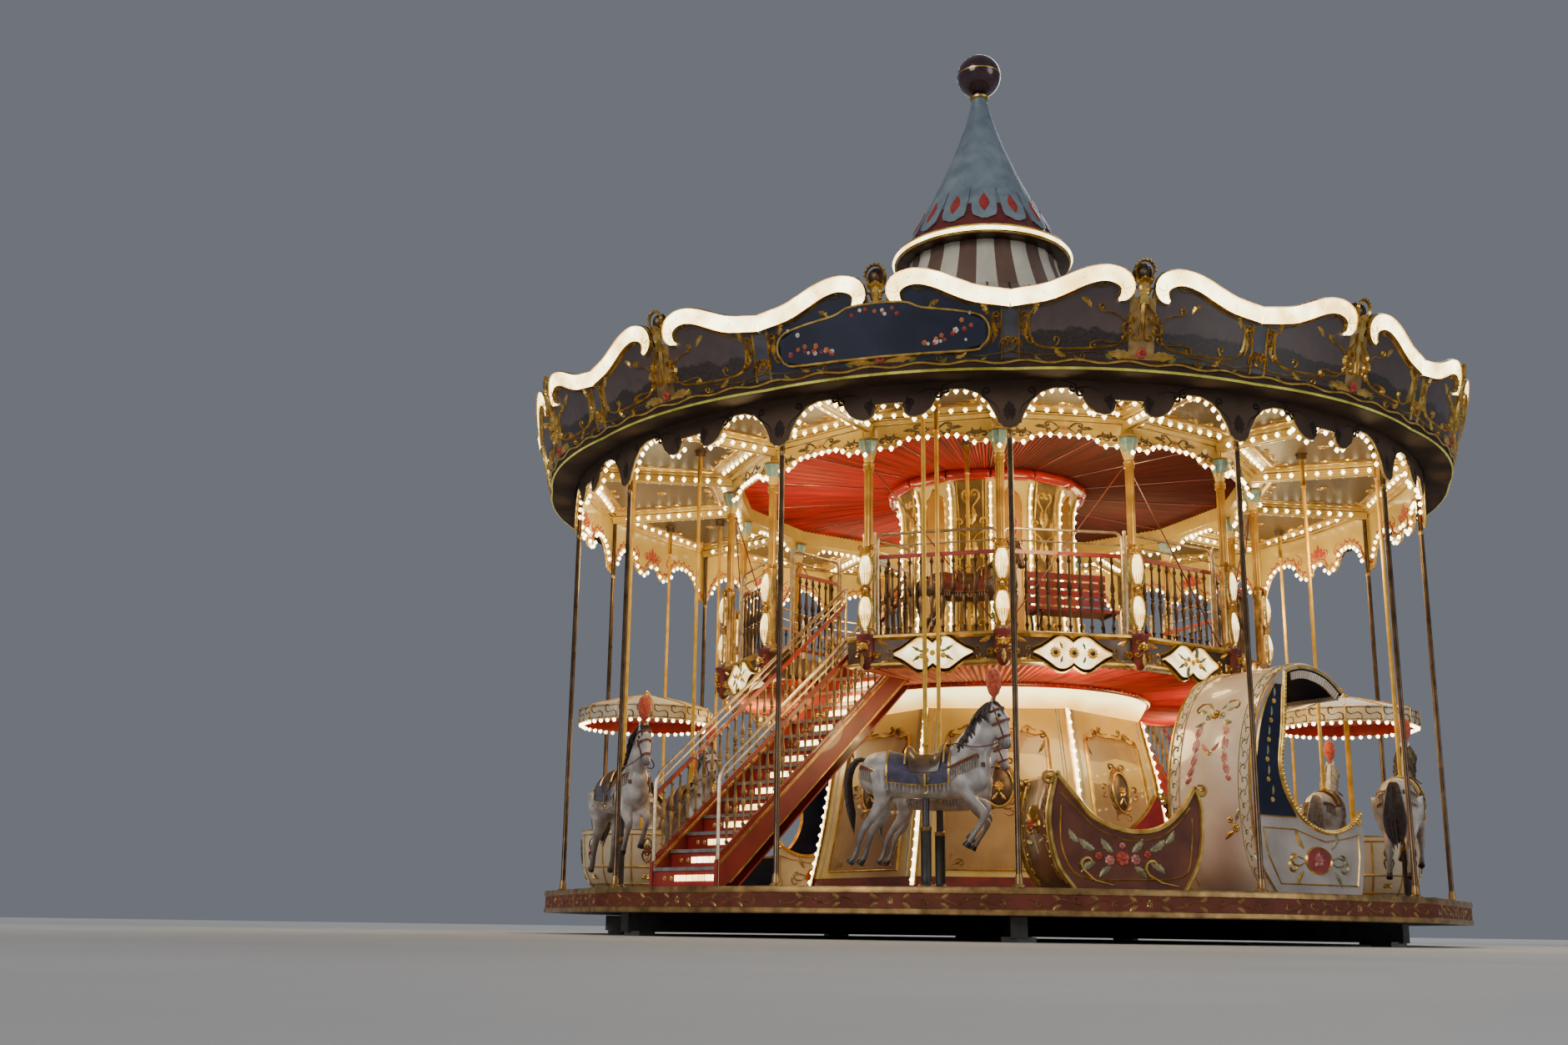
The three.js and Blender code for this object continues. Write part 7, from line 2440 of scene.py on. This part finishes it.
def hood_side(whole, sign):
    """Inlay, borders, medallion, piping and flowers on one side of the hood."""
    heights = np.linspace(1.26, 2.60, 18)
    rear = np.interp(heights, HOOD_BACK[:40, 1], HOOD_BACK[:40, 0]) + 0.055
    order = np.argsort(HOOD_FRONT[:16, 1])
    fore = np.interp(heights, HOOD_FRONT[:16, 1][order], HOOD_FRONT[:16, 0][order]) - 0.045
    inlay = list(zip(rear, heights)) + list(zip(fore[::-1], heights[::-1]))
    lower = [(-0.60, 0.88), (-0.655, 1.14), (-0.20, 1.14), (0.25, 1.03), (0.62, 1.08), (0.76, 1.12),
             (0.76, 0.88), (0.70, 0.60), (-0.44, 0.60)]
    oval = [(0.13 + 0.185 * math.cos(t), 0.84 + 0.130 * math.sin(t))
            for t in np.linspace(0, 2 * math.pi, 29)]
    curls = dense([
        scroll((0.20, 0.0), 35, [(-70, 0.22, 0.16), (-260, 0.085, 0.022)], 0.016, 0.022),
        scroll((0.20, -0.02), -40, [(60, 0.20, 0.16), (240, 0.075, 0.020)], 0.015, 0.020),
        put(leaf(0.24, 0.040, 0.020, 40, 4), 0.22, 0.12, 40),
        put(leaf(0.20, 0.035, 0.018, -40, 4), 0.24, -0.12, -35),
    ])
    rope = spaced(np.column_stack([HOOD_FRONT, np.zeros(len(HOOD_FRONT))]), 0.042)
    items = [
        (plate(inlay, -0.002, 0.006), 1),
        (strand(np.array(inlay + inlay[:1]), 0.010, 0.018, ends=(1, 1)), 2),
        (strand(np.array(lower + lower[:1]), 0.009, 0.014, ends=(1, 1)), 2),
        (strand(HOOD_FRONT, 0.026, 0.022, ends=(1, 1)), 2), (plate(oval[:-1], -0.002, 0.008), 5),
        (strand(np.array(oval), 0.013, 0.024, ends=(1, 1)), 2),
        (put(rosette(0.085, 8, 0.030), 0.13, 0.84, out=0.006), 6),
        (moved(scaled(curls, (0.95, 0.95, 1)), (0.13, 0.84, 0)), 3),
        (moved(scaled(curls, (-0.95, 0.95, 1)), (0.13, 0.84, 0)), 2),
        (beads([(x, z, 0.020) for x, z, _ in rope], 0.013), 2), (put(rosette(0.06, 7, 0.03), 0.78, 1.27), 2),
    ]
    for up in np.arange(1.42, 2.5, 0.20):
        x = (np.interp(up, heights, rear) + np.interp(up, heights, fore)) / 2
        items.append((put(rosette(0.030, 6, 0.012), x, up, out=0.006), 2))
        items.append((put(leaf(0.10, 0.018, 0.010, 30, 3), x + 0.01, up + 0.045, 70, out=0.006), 3))
    whole.lay(side_on(sign * (HOOD_HALF + 0.001), sign), *items)
    lip = spaced([point for point in HOOD_INSIDE if point[0] > -0.14 and point[1] > 2], 0.034)
    for (x0, z0), (x1, z1) in zip(lip[:-1], lip[1:]):
        fall = np.array([z1 - z0, x0 - x1]) * 0.075 / math.hypot(x1 - x0, z1 - z0)
        whole.add(bar((x0, sign * (HOOD_HALF - 0.016), z0 + 0.004),
                      (x0 + fall[0], sign * (HOOD_HALF - 0.030), z0 + fall[1]), 0.0145, circle(6)), 0)


def hood_garland():
    """A ribbon of flowers and leaves down the back of the hood, as parts with their finishes."""
    half = [(put(leaf(0.13, 0.030, 0.016, 30, 4), along, up, turn), 3)
            for along, up, turn in ((0.06, 1.98, 35), (0.14, 1.96, 5), (0.13, 1.84, -30))]
    half.append((scroll((0.10, 2.02), 60, [(-120, 0.12, 0.09), (-200, 0.045, 0.016)], 0.012, 0.016), 2))
    for along, up, turn, size in ((0.15, 1.80, -80, 1.0), (0.18, 1.66, -95, 1.1), (0.17, 1.50, -80, 1.0),
                                  (0.20, 1.37, -70, 0.9), (0.23, 1.26, -60, 0.7)):
        half.append((put(leaf(0.15 * size, 0.036 * size, 0.018, 30, 3), along, up, turn), 6))
        half.append((put(leaf(0.12 * size, 0.026 * size, 0.014, -40, 3), along + 0.02, up - 0.01, turn + 40),
                     6))
    half += [
        (put(rosette(0.052, 8, 0.024), 0.33, 0.72), 2), (put(rosette(0.036, 7, 0.020), 0.27, 0.80), 2),
        (put(leaf(0.15, 0.034, 0.016, 40, 4), 0.30, 0.68, 190), 2),
        (put(leaf(0.15, 0.034, 0.016, -40, 4), 0.34, 0.78, 80), 3),
        (put(leaf(0.13, 0.028, 0.014, 40, 3), 0.02, 1.52, 20), 6),
    ]
    garland = [(put(rosette(0.060, 8, 0.026), 0, 1.92), 2), (put(rosette(0.034, 6, 0.018), 0, 1.50), 2),
               (put(rosette(0.040, 7, 0.022), 0.095, 1.90), 3),
               (put(rosette(0.040, 7, 0.022), -0.095, 1.90), 3)]
    return garland + [(paired(part), kind) for part, kind in half]


def hooded_chariot():
    """A tall hooded seat, open to the front, with an inlaid and gilded outside."""
    outer = [(0.76, ON_DECK)] + list(HOOD_BACK)
    inner = [(0.76, 0.58)] + list(HOOD_INSIDE)
    whole = Relief()
    whole.add(*curved_shell(outer, inner, HOOD_HALF, (0, 1, 2)))
    top = HOOD_BACK[HOOD_BACK[:, 0] < -0.22]
    sill = [(0.85, 1.12), (0.84, 0.90), (0.76, ON_DECK)]
    side = list(top[:np.argmax(top[:, 1]) + 1]) + list(HOOD_FRONT) + sill
    side_panels(whole, side, HOOD_HALF + 0.001, 0.045, (4, 1, 2))
    for sign in (-1, 1):
        hood_side(whole, sign)
    surface = along_line(HOOD_BACK)
    length = np.sum(np.linalg.norm(np.diff(HOOD_BACK, axis=0), axis=1))
    for across in (-0.475, 0.475):
        for shift in (-0.070, 0.070):
            line = np.array([(across + shift, up, 0) for up in np.linspace(0.12, length - 0.05, 32)])
            whole.add(laid(surface, strand(line, 0.006, 0.008, ends=(1, 1))), 2)
        whole.add(chain_scrolls(surface, across, 0.18, length - 0.12, 0.115, 0.10), 3)
    whole.lay(surface, *hood_garland())
    for y in np.linspace(-0.54, 0.54, 40):
        whole.add(bar((0.705, y, 2.628), (0.630, y, 2.520), 0.0135, circle(5)), 0)
    whole.add(bar((0.70, -0.56, 2.635), (0.70, 0.56, 2.635), 0.016, circle(8)), 2)
    whole.add(block((-0.70, -0.53, 0.92), (-0.095, 0.53, 0.985)), 4)
    whole.add(block((-0.11, -0.53, 0.585), (-0.085, 0.53, 0.92)), 1)
    return whole


SLEIGH_BACK = smooth([(-0.48, ON_DECK), (-0.65, 0.76), (-0.72, 1.18), (-0.64, 1.60)], 8)
SLEIGH_INSIDE = smooth([(-0.44, 0.58), (-0.58, 0.79), (-0.645, 1.18), (-0.575, 1.58)], 8)
SLEIGH_TOP = smooth([(-0.64, 1.60), (-0.48, 1.42), (-0.26, 1.18), (0.06, 1.06), (0.38, 1.09), (0.62, 1.28),
                     (0.76, 1.50)], 5)
SLEIGH_BOW = smooth([(0.76, 1.50), (0.82, 1.25), (0.78, 0.82), (0.62, ON_DECK)], 5)
SLEIGH_HALF = 0.55


def sleigh_side():
    """Ornament on a side of the sleigh, as parts with their finishes."""
    inner_top = smooth([(-0.60, 1.42), (-0.45, 1.27), (-0.24, 1.08), (0.06, 0.97), (0.36, 1.00),
                        (0.58, 1.15), (0.70, 1.30)], 4)
    inner_foot = smooth([(-0.60, 1.30), (-0.60, 0.90), (-0.42, 0.62), (0.10, 0.60), (0.60, 0.64),
                         (0.70, 0.90), (0.72, 1.20)], 4)
    items = [(strand(line, width, height, ends=(1, 1)), 2) for line, width, height in (
        (SLEIGH_TOP, 0.028, 0.026), (SLEIGH_BOW, 0.022, 0.026), (SLEIGH_BACK, 0.024, 0.026),
        (inner_top, 0.009, 0.014), (inner_foot, 0.009, 0.014))]
    items += [(scroll(*curve), 2) for curve in (
        ((-0.640, 1.590), 120, [(200, 0.075, 0.05), (260, 0.045, 0.014)], 0.022, 0.030),
        ((0.760, 1.490), 60, [(-200, 0.065, 0.045), (-260, 0.040, 0.014)], 0.020, 0.028),
        ((0.55, 0.545), 180, [(-40, 0.5, 0.4), (-240, 0.09, 0.03)], 0.018, 0.022),
        ((-0.10, 0.545), 180, [(-55, 0.42, 0.30), (-220, 0.08, 0.03)], 0.018, 0.022))]
    items += [(put(rosette(radius, 7, 0.026), x, z, out=0.002), kind) for x, z, radius, kind in (
        (0.0, 0.80, 0.075, 4), (-0.13, 0.78, 0.055, 5), (0.13, 0.79, 0.055, 5), (-0.24, 0.82, 0.040, 4),
        (0.25, 0.84, 0.040, 4), (0.0, 0.92, 0.035, 5))]
    items += [(paired(put(leaf(0.17 * size, 0.036 * size, 0.016, bend, 4), x, z, turn)), 3)
              for x, z, turn, bend, size in ((0.10, 0.86, 35, 30, 1.0), (0.28, 0.88, 15, 40, 1.1),
                                             (0.28, 0.76, -15, -40, 1.0), (0.12, 0.72, -25, -30, 0.9),
                                             (0.44, 0.95, 35, 40, 0.9))]
    return items


def open_sleigh():
    """A low sleigh with scrolled ends and flowers on its sides."""
    whole = Relief()
    outer = [(0.62, ON_DECK)] + list(SLEIGH_BACK)
    inner = [(0.62, 0.58)] + list(SLEIGH_INSIDE)
    whole.add(*curved_shell(outer, inner, SLEIGH_HALF, (0, 1, 2)))
    outline = list(SLEIGH_BACK) + list(SLEIGH_TOP[1:]) + list(SLEIGH_BOW[1:])
    side_panels(whole, outline, SLEIGH_HALF + 0.001, 0.045, (0, 1, 2))
    for sign in (-1, 1):
        whole.lay(side_on(sign * (SLEIGH_HALF + 0.001), sign), *sleigh_side())
    surface = along_line(SLEIGH_BACK)
    for across in (-0.46, 0.46):
        line = np.array([(across, up, 0) for up in np.linspace(0.08, 1.12, 16)])
        whole.add(laid(surface, strand(line, 0.010, 0.014, ends=(1, 1))), 2)
        whole.add(chain_scrolls(surface, across * 0.86, 0.12, 1.05, 0.13, 0.10), 2)
    curls = paired(scroll((0.06, 0.62), -20, [(60, 0.16, 0.12), (230, 0.06, 0.02)], 0.014, 0.018))
    leaves = paired(put(leaf(0.20, 0.038, 0.018, 40, 4), 0.10, 0.52, -10))
    whole.lay(surface, (put(fan(0.20, 9, 0.045, 110), 0, 0.70), 2),
              (put(rosette(0.055, 8, 0.04), 0, 0.69, out=0.02), 4), (curls, 2), (leaves, 3))
    whole.add(bar((-0.614, -0.53, 1.605), (-0.614, 0.53, 1.605), 0.026, circle(10)), 2)
    whole.add(block((-0.61, -0.505, 0.90), (-0.095, 0.505, 0.965)), 1)
    whole.add(block((-0.11, -0.505, 0.585), (-0.09, 0.505, 0.90)), 1)
    return whole


def pads(name, seat_height, x0, x1, half, back_line, start, end, matrix):
    """A seat cushion and a back cushion."""
    seat = Relief()
    seat.add(cushion(seat_top(seat_height), x0, x1, -half, half, 0.060, 4))
    settle(f"{name}_seat_pad", relief_mesh(f"{name}_seat_pad", seat, [SEAT_RED], 60.0), "red",
                     matrix=matrix)
    back = Relief()
    back.add(cushion(along_line(back_line), -half, half, start, end, -0.055, 8))
    settle(f"{name}_back_pad", relief_mesh(f"{name}_back_pad", back, [SEAT_RED], 60.0), "red",
                     matrix=matrix)


def chariots():
    hood = relief_mesh("hooded_chariot", hooded_chariot(),
                       [HOOD_CREAM, NIGHT_BLUE, GOLD, SAGE, CHARIOT_GREY, SEAT_RED, ROSE], 36.0)
    sleigh = relief_mesh("open_sleigh", open_sleigh(),
                         [SLEIGH_BROWN, RED_VINYL, GOLD, SAGE, FLOWER_RED, ROSE], 36.0)
    for i, turn in enumerate((0, math.pi), 1):
        spot = standing(4.45, 1.5 * STEP - math.radians(2) + turn)
        settle(f"chariot_{i}_hood", hood, "cream", replaces=[f"chariot_{i}"], matrix=spot)
        pads(f"chariot_{i}", 0.985, -0.62, -0.10, 0.50, HOOD_INSIDE, 0.48, 1.15, spot)
        spot = standing(4.45, 0.5 * STEP - math.radians(1) + turn)
        settle(f"sleigh_{i}_carved", sleigh, "red", replaces=[f"sleigh_{i}"], matrix=spot)
        pads(f"sleigh_{i}", 0.965, -0.56, -0.10, 0.47, SLEIGH_INSIDE, 0.46, 0.98, spot)


TUB = smooth([(0.42, 0.507), (0.545, 0.530), (0.640, 0.600), (0.700, 0.700), (0.740, 0.810), (0.762, 0.980),
              (0.772, 1.150), (0.778, 1.262)], 2)


CUP_FLAT = math.cos(math.pi / CUP_SIDES)


def on_tub(angle):
    def surface(across, up, out):
        radius = np.interp(up, TUB[:, 1], TUB[:, 0]) + out
        at = angle + across / 0.75
        return np.column_stack([radius * np.sin(at), -radius * np.cos(at), up])
    return surface


def add_tub(whole):
    """The tub with its ribs and painted fields, and the wheel on its post."""
    inside = [(0.735, 1.262), (0.720, 1.10), (0.700, 1.00), (0.515, 0.960), (0.500, 0.93), (0.485, 0.702),
              (0.02, 0.702)]
    profile = [(0.02, 0.507)] + [tuple(p) for p in TUB] + inside
    kinds = [0] * len(TUB) + [2] + [1] * (len(inside) - 1)
    whole.add(lathe(profile, 48), banded(48, kinds) + [0, 0])
    whole.add(lathe([(0.7761, 1.262), (0.780, 1.270), (0.779, 1.280), (0.756, 1.280), (0.733, 1.280),
                     (0.729, 1.268), (0.733, 1.255), (0.770, 1.250)], 48, closed=True), 2)
    for height in (0.612, 0.815, 1.215):
        radius = np.interp(height, TUB[:, 1], TUB[:, 0]) + 0.001
        whole.add(sweep(ring(radius, height, 48), circle(6), 0.011, closed=True), 2)
    motif = [
        (paired(scroll((0.0, 0.86), 30, [(60, 0.13, 0.11), (250, 0.055, 0.018)], 0.013, 0.014)), 3),
        (paired(scroll((0.0, 1.17), -30, [(-60, 0.12, 0.10), (-250, 0.050, 0.016)], 0.012, 0.014)), 3),
        (put(leaf(0.10, 0.024, 0.012, 1, 3), 0, 1.05, 90), 2),
        (put(leaf(0.10, 0.024, 0.012, 1, 3), 0, 0.98, -90), 2),
        (put(fan(0.060, 5, 0.020, 100), 0, 0.675), 2),
    ]
    flower = put(rosette(0.040, 8, 0.018), 0, 1.015)
    for j, angle in enumerate(round_turns(CUP_SIDES)):
        rib = [on_circle(r + 0.002, angle, h) for r, h in TUB[2:-1]]
        whole.add(sweep(rib, circle(6), 0.010), 2)
        whole.lay(on_tub(angle + math.pi / CUP_SIDES), *motif, (flower, 4 if j % 2 else 5))
    whole.add(lathe([(0.034, ON_DECK), (0.034, 1.12), (0.050, 1.135), (0.050, 1.150)], 12), 6)
    whole.add(lathe([(0.050, 1.150), (0.235, 1.152), (0.252, 1.158), (0.260, 1.170), (0.252, 1.184),
                     (0.235, 1.190), (0.040, 1.190)], 32), banded(32, (0, 2, 2, 2, 2, 0)) + [0, 0])
    whole.add(lathe([(0.050, 1.190), (0.050, 1.205), (0.034, 1.225), (0.034, 2.86), (0.060, 2.90),
                     (0.060, 2.95)], 12), 6)


def add_canopy(whole):
    """The canopy with flat sides, gilt ribs and curls, and a knob on top."""
    top = [(0.02, 3.052), (0.12, 3.040), (0.34, 2.995), (0.56, 2.938), (0.75, 2.884), (0.872, 2.846)]
    profile = top + [(0.876, 2.838), (0.876, 2.655), (0.870, 2.6505), (0.852, 2.652), (0.850, 2.81),
                     (0.54, 2.898), (0.10, 2.99), (0.02, 2.995)]
    kinds = [7] * 5 + [2, 0, 2, 2, 1, 1, 1, 1]
    whole.add(lathe(profile, CUP_SIDES, math.pi / CUP_SIDES), banded(CUP_SIDES, kinds) + [7, 1])
    curls = dense([scroll((0, 0), heading, [(-150, 0.050, 0.045), (-150, 0.030, 0.012)], 0.008, 0.008)
                   for heading in (40, 220)])
    trim = dense([put(curls, shift, 2.752, size=1.15) for shift in (-0.115, 0.115)]
                 + [strand([(-0.225, height), (0.225, height)], 0.005, 0.006, ends=(1, 1))
                    for height in (2.678, 2.826)])
    for angle in round_turns(CUP_SIDES):
        corner = angle + math.pi / CUP_SIDES
        rib = [on_circle(r, corner, h + 0.004) for r, h in top[1:]]
        whole.add(sweep(rib, circle(6), 0.010), 2)
        whole.add(bar(on_circle(0.878, corner, 2.655), on_circle(0.878, corner, 2.842), 0.008, circle(6)), 2)
        whole.lay(on_wall(0.876 * CUP_FLAT, angle), (trim, 3))
    whole.add(lathe([(0.02, 3.040), (0.050, 3.046), (0.055, 3.066), (0.030, 3.085), (0.034, 3.102),
                     (0.020, 3.118)], 10), 2)


def cup_ride():
    whole = Relief()
    add_tub(whole)
    add_canopy(whole)
    return whole


def canopy_lining():
    """The pleated red lining under a cup's canopy."""
    rows = []
    for r in (0.06, 0.30, 0.54, 0.70, 0.835):
        level = np.interp(r, [0.10, 0.54, 0.845], [2.980, 2.888, 2.800]) - 0.006
        rows.append([on_circle(r * CUP_FLAT, t, level - 0.008 * (i % 2) * (r / 0.835))
                     for i, t in enumerate(round_turns(144))])
    lower = np.array(rows)
    whole = Relief()
    whole.add(skin(np.concatenate([lower, lower[::-1] + [0, 0, 0.004]]), loop=True))
    return whole


def cup_pads():
    """The padded ring seat and its padded back, sewn in channels."""
    seat_rows, back_rows = [], []
    for t in round_turns(144):
        swell = 0.55 + 0.45 * abs(math.sin(9 * t)) ** 0.45
        seat_rows.append([on_circle(r, t, h) for r, h in (
            (0.505, 0.968), (0.505, 0.985), (0.525, 0.990 + 0.022 * swell), (0.600, 0.998 + 0.034 * swell),
            (0.668, 1.000 + 0.020 * swell), (0.690, 0.992), (0.690, 0.998))])
        back_rows.append([on_circle(r, t, h) for r, h in (
            (0.716, 1.085), (0.700 - 0.010 * swell, 1.060), (0.690 - 0.030 * swell, 1.110),
            (0.694 - 0.032 * swell, 1.180), (0.712 - 0.012 * swell, 1.238), (0.730, 1.240), (0.728, 1.160))])
    seat, back = Relief(), Relief()
    seat.add(skin(seat_rows, loop=True))
    back.add(skin(back_rows, loop=True))
    return (relief_mesh("cup_seat_pad", seat, [SEAT_RED], 60.0),
            relief_mesh("cup_back_pad", back, [SEAT_RED], 60.0))


def cups():
    ride = relief_mesh("cup", cup_ride(),
                       [CUP_CREAM, RED_VINYL, GOLD, SCROLL_BROWN, FLOWER_RED, TEAL, POLE_GOLD, CANOPY_WHITE],
                       34.0)
    lining = relief_mesh("cup_lining", canopy_lining(), [RED_CLOTH], 60.0)
    seat, back = cup_pads()
    lights = Relief()
    places = [swung((across, -0.864 * CUP_FLAT, 2.640), angle) for angle in round_turns(CUP_SIDES)
              for across in (-0.165, -0.055, 0.055, 0.165)]
    lights.add(beads(places, 0.026, 7, 4))
    lamps = relief_mesh("cup_bulbs", lights, [BULB])
    for i, turn in enumerate((0, math.pi), 1):
        name = f"cup_{i}"
        spot = standing(4.5, middle(3) + turn)
        settle(f"{name}_tub", ride, "cream", name, [name, f"{name}_canopy"], spot)
        settle(f"{name}_bulbs", lamps, "cream", name, (), spot)
        cloth = settle(f"{name}_lining", lining, "red", name, (), spot)
        settle(f"{name}_seat_pad", seat, "red", name, (), spot)
        settle(f"{name}_back_pad", back, "red", name, (), spot)


def benches():
    """Slatted red benches on curled iron ends."""
    base = UPPER_DECK_TOP + 0.0005
    whole = Relief()
    for y in np.linspace(-0.160, 0.160, 5):
        whole.add(block((-0.50, y - 0.033, base + 0.418), (0.50, y + 0.033, base + 0.452)), 0)
    for z in np.linspace(0.50, 0.90, 5):
        whole.add(block((-0.50, 0.178, base + z - 0.040), (0.50, 0.202, base + z + 0.034)), 0)
    for x in (-0.44, 0.44):
        foot = smooth([(x, -0.19, base + 0.012), (x, -0.17, base + 0.14), (x, -0.12, base + 0.26),
                       (x, -0.175, base + 0.40)], 4)
        whole.add(sweep(foot, circle(8), 0.014), 1)
        foot = smooth([(x, 0.195, base + 0.012), (x, 0.16, base + 0.14), (x, 0.12, base + 0.26),
                       (x, 0.165, base + 0.40), (x, 0.212, base + 0.60), (x, 0.212, base + 0.93)], 4)
        whole.add(sweep(foot, circle(8), 0.014), 1)
        whole.add(block((x - 0.016, -0.18, base + 0.398), (x + 0.016, 0.20, base + 0.416)), 1)
        whole.add(sweep([(x, -0.14, base + 0.20), (x, 0.0, base + 0.13), (x, 0.14, base + 0.20)], circle(6),
                        0.009), 1)
        for y in (-0.19, 0.195):
            whole.add(moved(lathe([(0.030, 0.0), (0.030, 0.008), (0.014, 0.016)], 10), (x, y, base)), 1)
    made = relief_mesh("gallery_bench", whole, [RED, BRONZE])
    for i, turn in enumerate((0, math.pi), 1):
        settle(f"bench_{i}_slats", made, "red", replaces=[f"bench_{i}"],
               matrix=standing(2.75, 0.5 * STEP + math.radians(5) + turn))


rounding_boards()
crest_band()
crest_finials()
board_ornament()
blue_cartouche()
outer_valance()
valance_bulbs()
canopy_roof()
striped_neck()
crown_brim()
crown_cone()
crown_ball()
inner_valance()
ceiling()
pole_sockets()
core_roll()
red_ceiling()
upper_core()
core_lights()
lower_drum()
drum_lights()
drum_cove()
soffit()
columns()
fascia()
railings()
stays()
stairs()
platform()
horses()
chariots()
cups()
benches()


# Stage, light and camera


def soft_light(name, place, strength, colour):
    """A wide, even light from far off, towards the axis."""
    data = bpy.data.lights.new(name, "SUN")
    data.angle = math.radians(28)
    data.energy = strength
    data.color = colour
    light = bpy.data.objects.new(name, data)
    light.location = place
    light.rotation_euler = (-Vector(place)).to_track_quat("-Z", "Y").to_euler()
    bpy.context.scene.collection.objects.link(light)


def stage_and_light():
    scene = bpy.context.scene
    floor = bpy.data.meshes.new("studio_floor")
    reach = 400
    floor.from_pydata([(-reach, -reach, 0), (reach, -reach, 0), (reach, reach, 0), (-reach, reach, 0)], [],
                      [(0, 1, 2, 3)])
    floor.materials.append(finish("pale_floor", (0.60, 0.59, 0.58), (0.68, 0.67, 0.66), 0.4, (0.7, 0.9),
                                  bump=0.0))
    made = bpy.data.objects.new("studio_floor", floor)
    scene.collection.objects.link(made)
    world = bpy.data.worlds.new("studio")
    world.use_nodes = True
    world.node_tree.nodes["Background"].inputs[0].default_value = (0.40, 0.43, 0.50, 1)
    world.node_tree.nodes["Background"].inputs[1].default_value = 0.40
    scene.world = world
    soft_light("key", (-16, -22, 12.5), 1.05, (1.0, 0.96, 0.9))
    soft_light("fill", (22, -14, 6), 0.55, (0.94, 0.97, 1.0))
    soft_light("rim", (6, 24, 13.5), 0.65, (0.94, 0.97, 1.0))


def warm_lamps():
    """Soft warm lamps that stand for the glow of the bulbs under the ceiling and the upper deck."""
    for name, count, radius, height, power in (("ceiling_glow", 7, 4.5, 4.60, 92),
                                               ("gallery_glow", 4, 2.3, 4.75, 62),
                                               ("deck_glow", 7, 3.0, 2.6, 55)):
        for i in range(count):
            data = bpy.data.lights.new(f"{name}_{i}", "POINT")
            data.energy = power
            data.color = (1.0, 0.76, 0.34)
            data.shadow_soft_size = 0.35
            light = bpy.data.objects.new(f"{name}_{i}", data)
            light.location = on_circle(radius, (i + 0.25) * 2 * math.pi / count, height)
            bpy.context.scene.collection.objects.link(light)


def camera():
    """At the photograph's place, 21 m off and near the ground, looking up a little."""
    data = bpy.data.cameras.new("camera")
    data.lens = 36.94
    data.sensor_width = 36
    data.clip_end = 1000
    made = bpy.data.objects.new("camera", data)
    heading = Matrix.Rotation(math.radians(4.786), 4, "Z")
    pitch = Matrix.Rotation(math.radians(90 + 14.153), 4, "X")
    roll = Matrix.Rotation(math.radians(0.833), 4, "Z")
    made.matrix_world = Matrix.Translation((-0.958, -20.978, 0.10)) @ heading @ pitch @ roll
    bpy.context.scene.collection.objects.link(made)
    bpy.context.scene.camera = made


for node, material in {
    "ground_frame": STEEL, "lower_deck": DECK, "lower_drum": CREAM, "drum_cornice": COVE_PAINTED_GLOW,
    "soffit_lining": RED_CLOTH, "upper_deck": DECK, "fascia_right": BRONZE, "fascia_left": BRONZE,
    "ring_beam": CREAM, "upper_core": CREAM, "canopy_ceiling": CREAM, "railing_right": BRONZE,
    "railing_left": BRONZE, "stair_1": RED, "stair_2": RED, "chariot_1": PALE, "chariot_2": PALE,
    "sleigh_1": GOLD, "sleigh_2": GOLD, "cup_1": PALE, "cup_2": PALE, "bench_1": RED, "bench_2": RED,
}.items():
    dress(node, material)
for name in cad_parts:
    if name.startswith("column"):
        dress(name, GOLD)
    if name.startswith("horse"):
        dress(name, PALE)

stage_and_light()
warm_lamps()
camera()
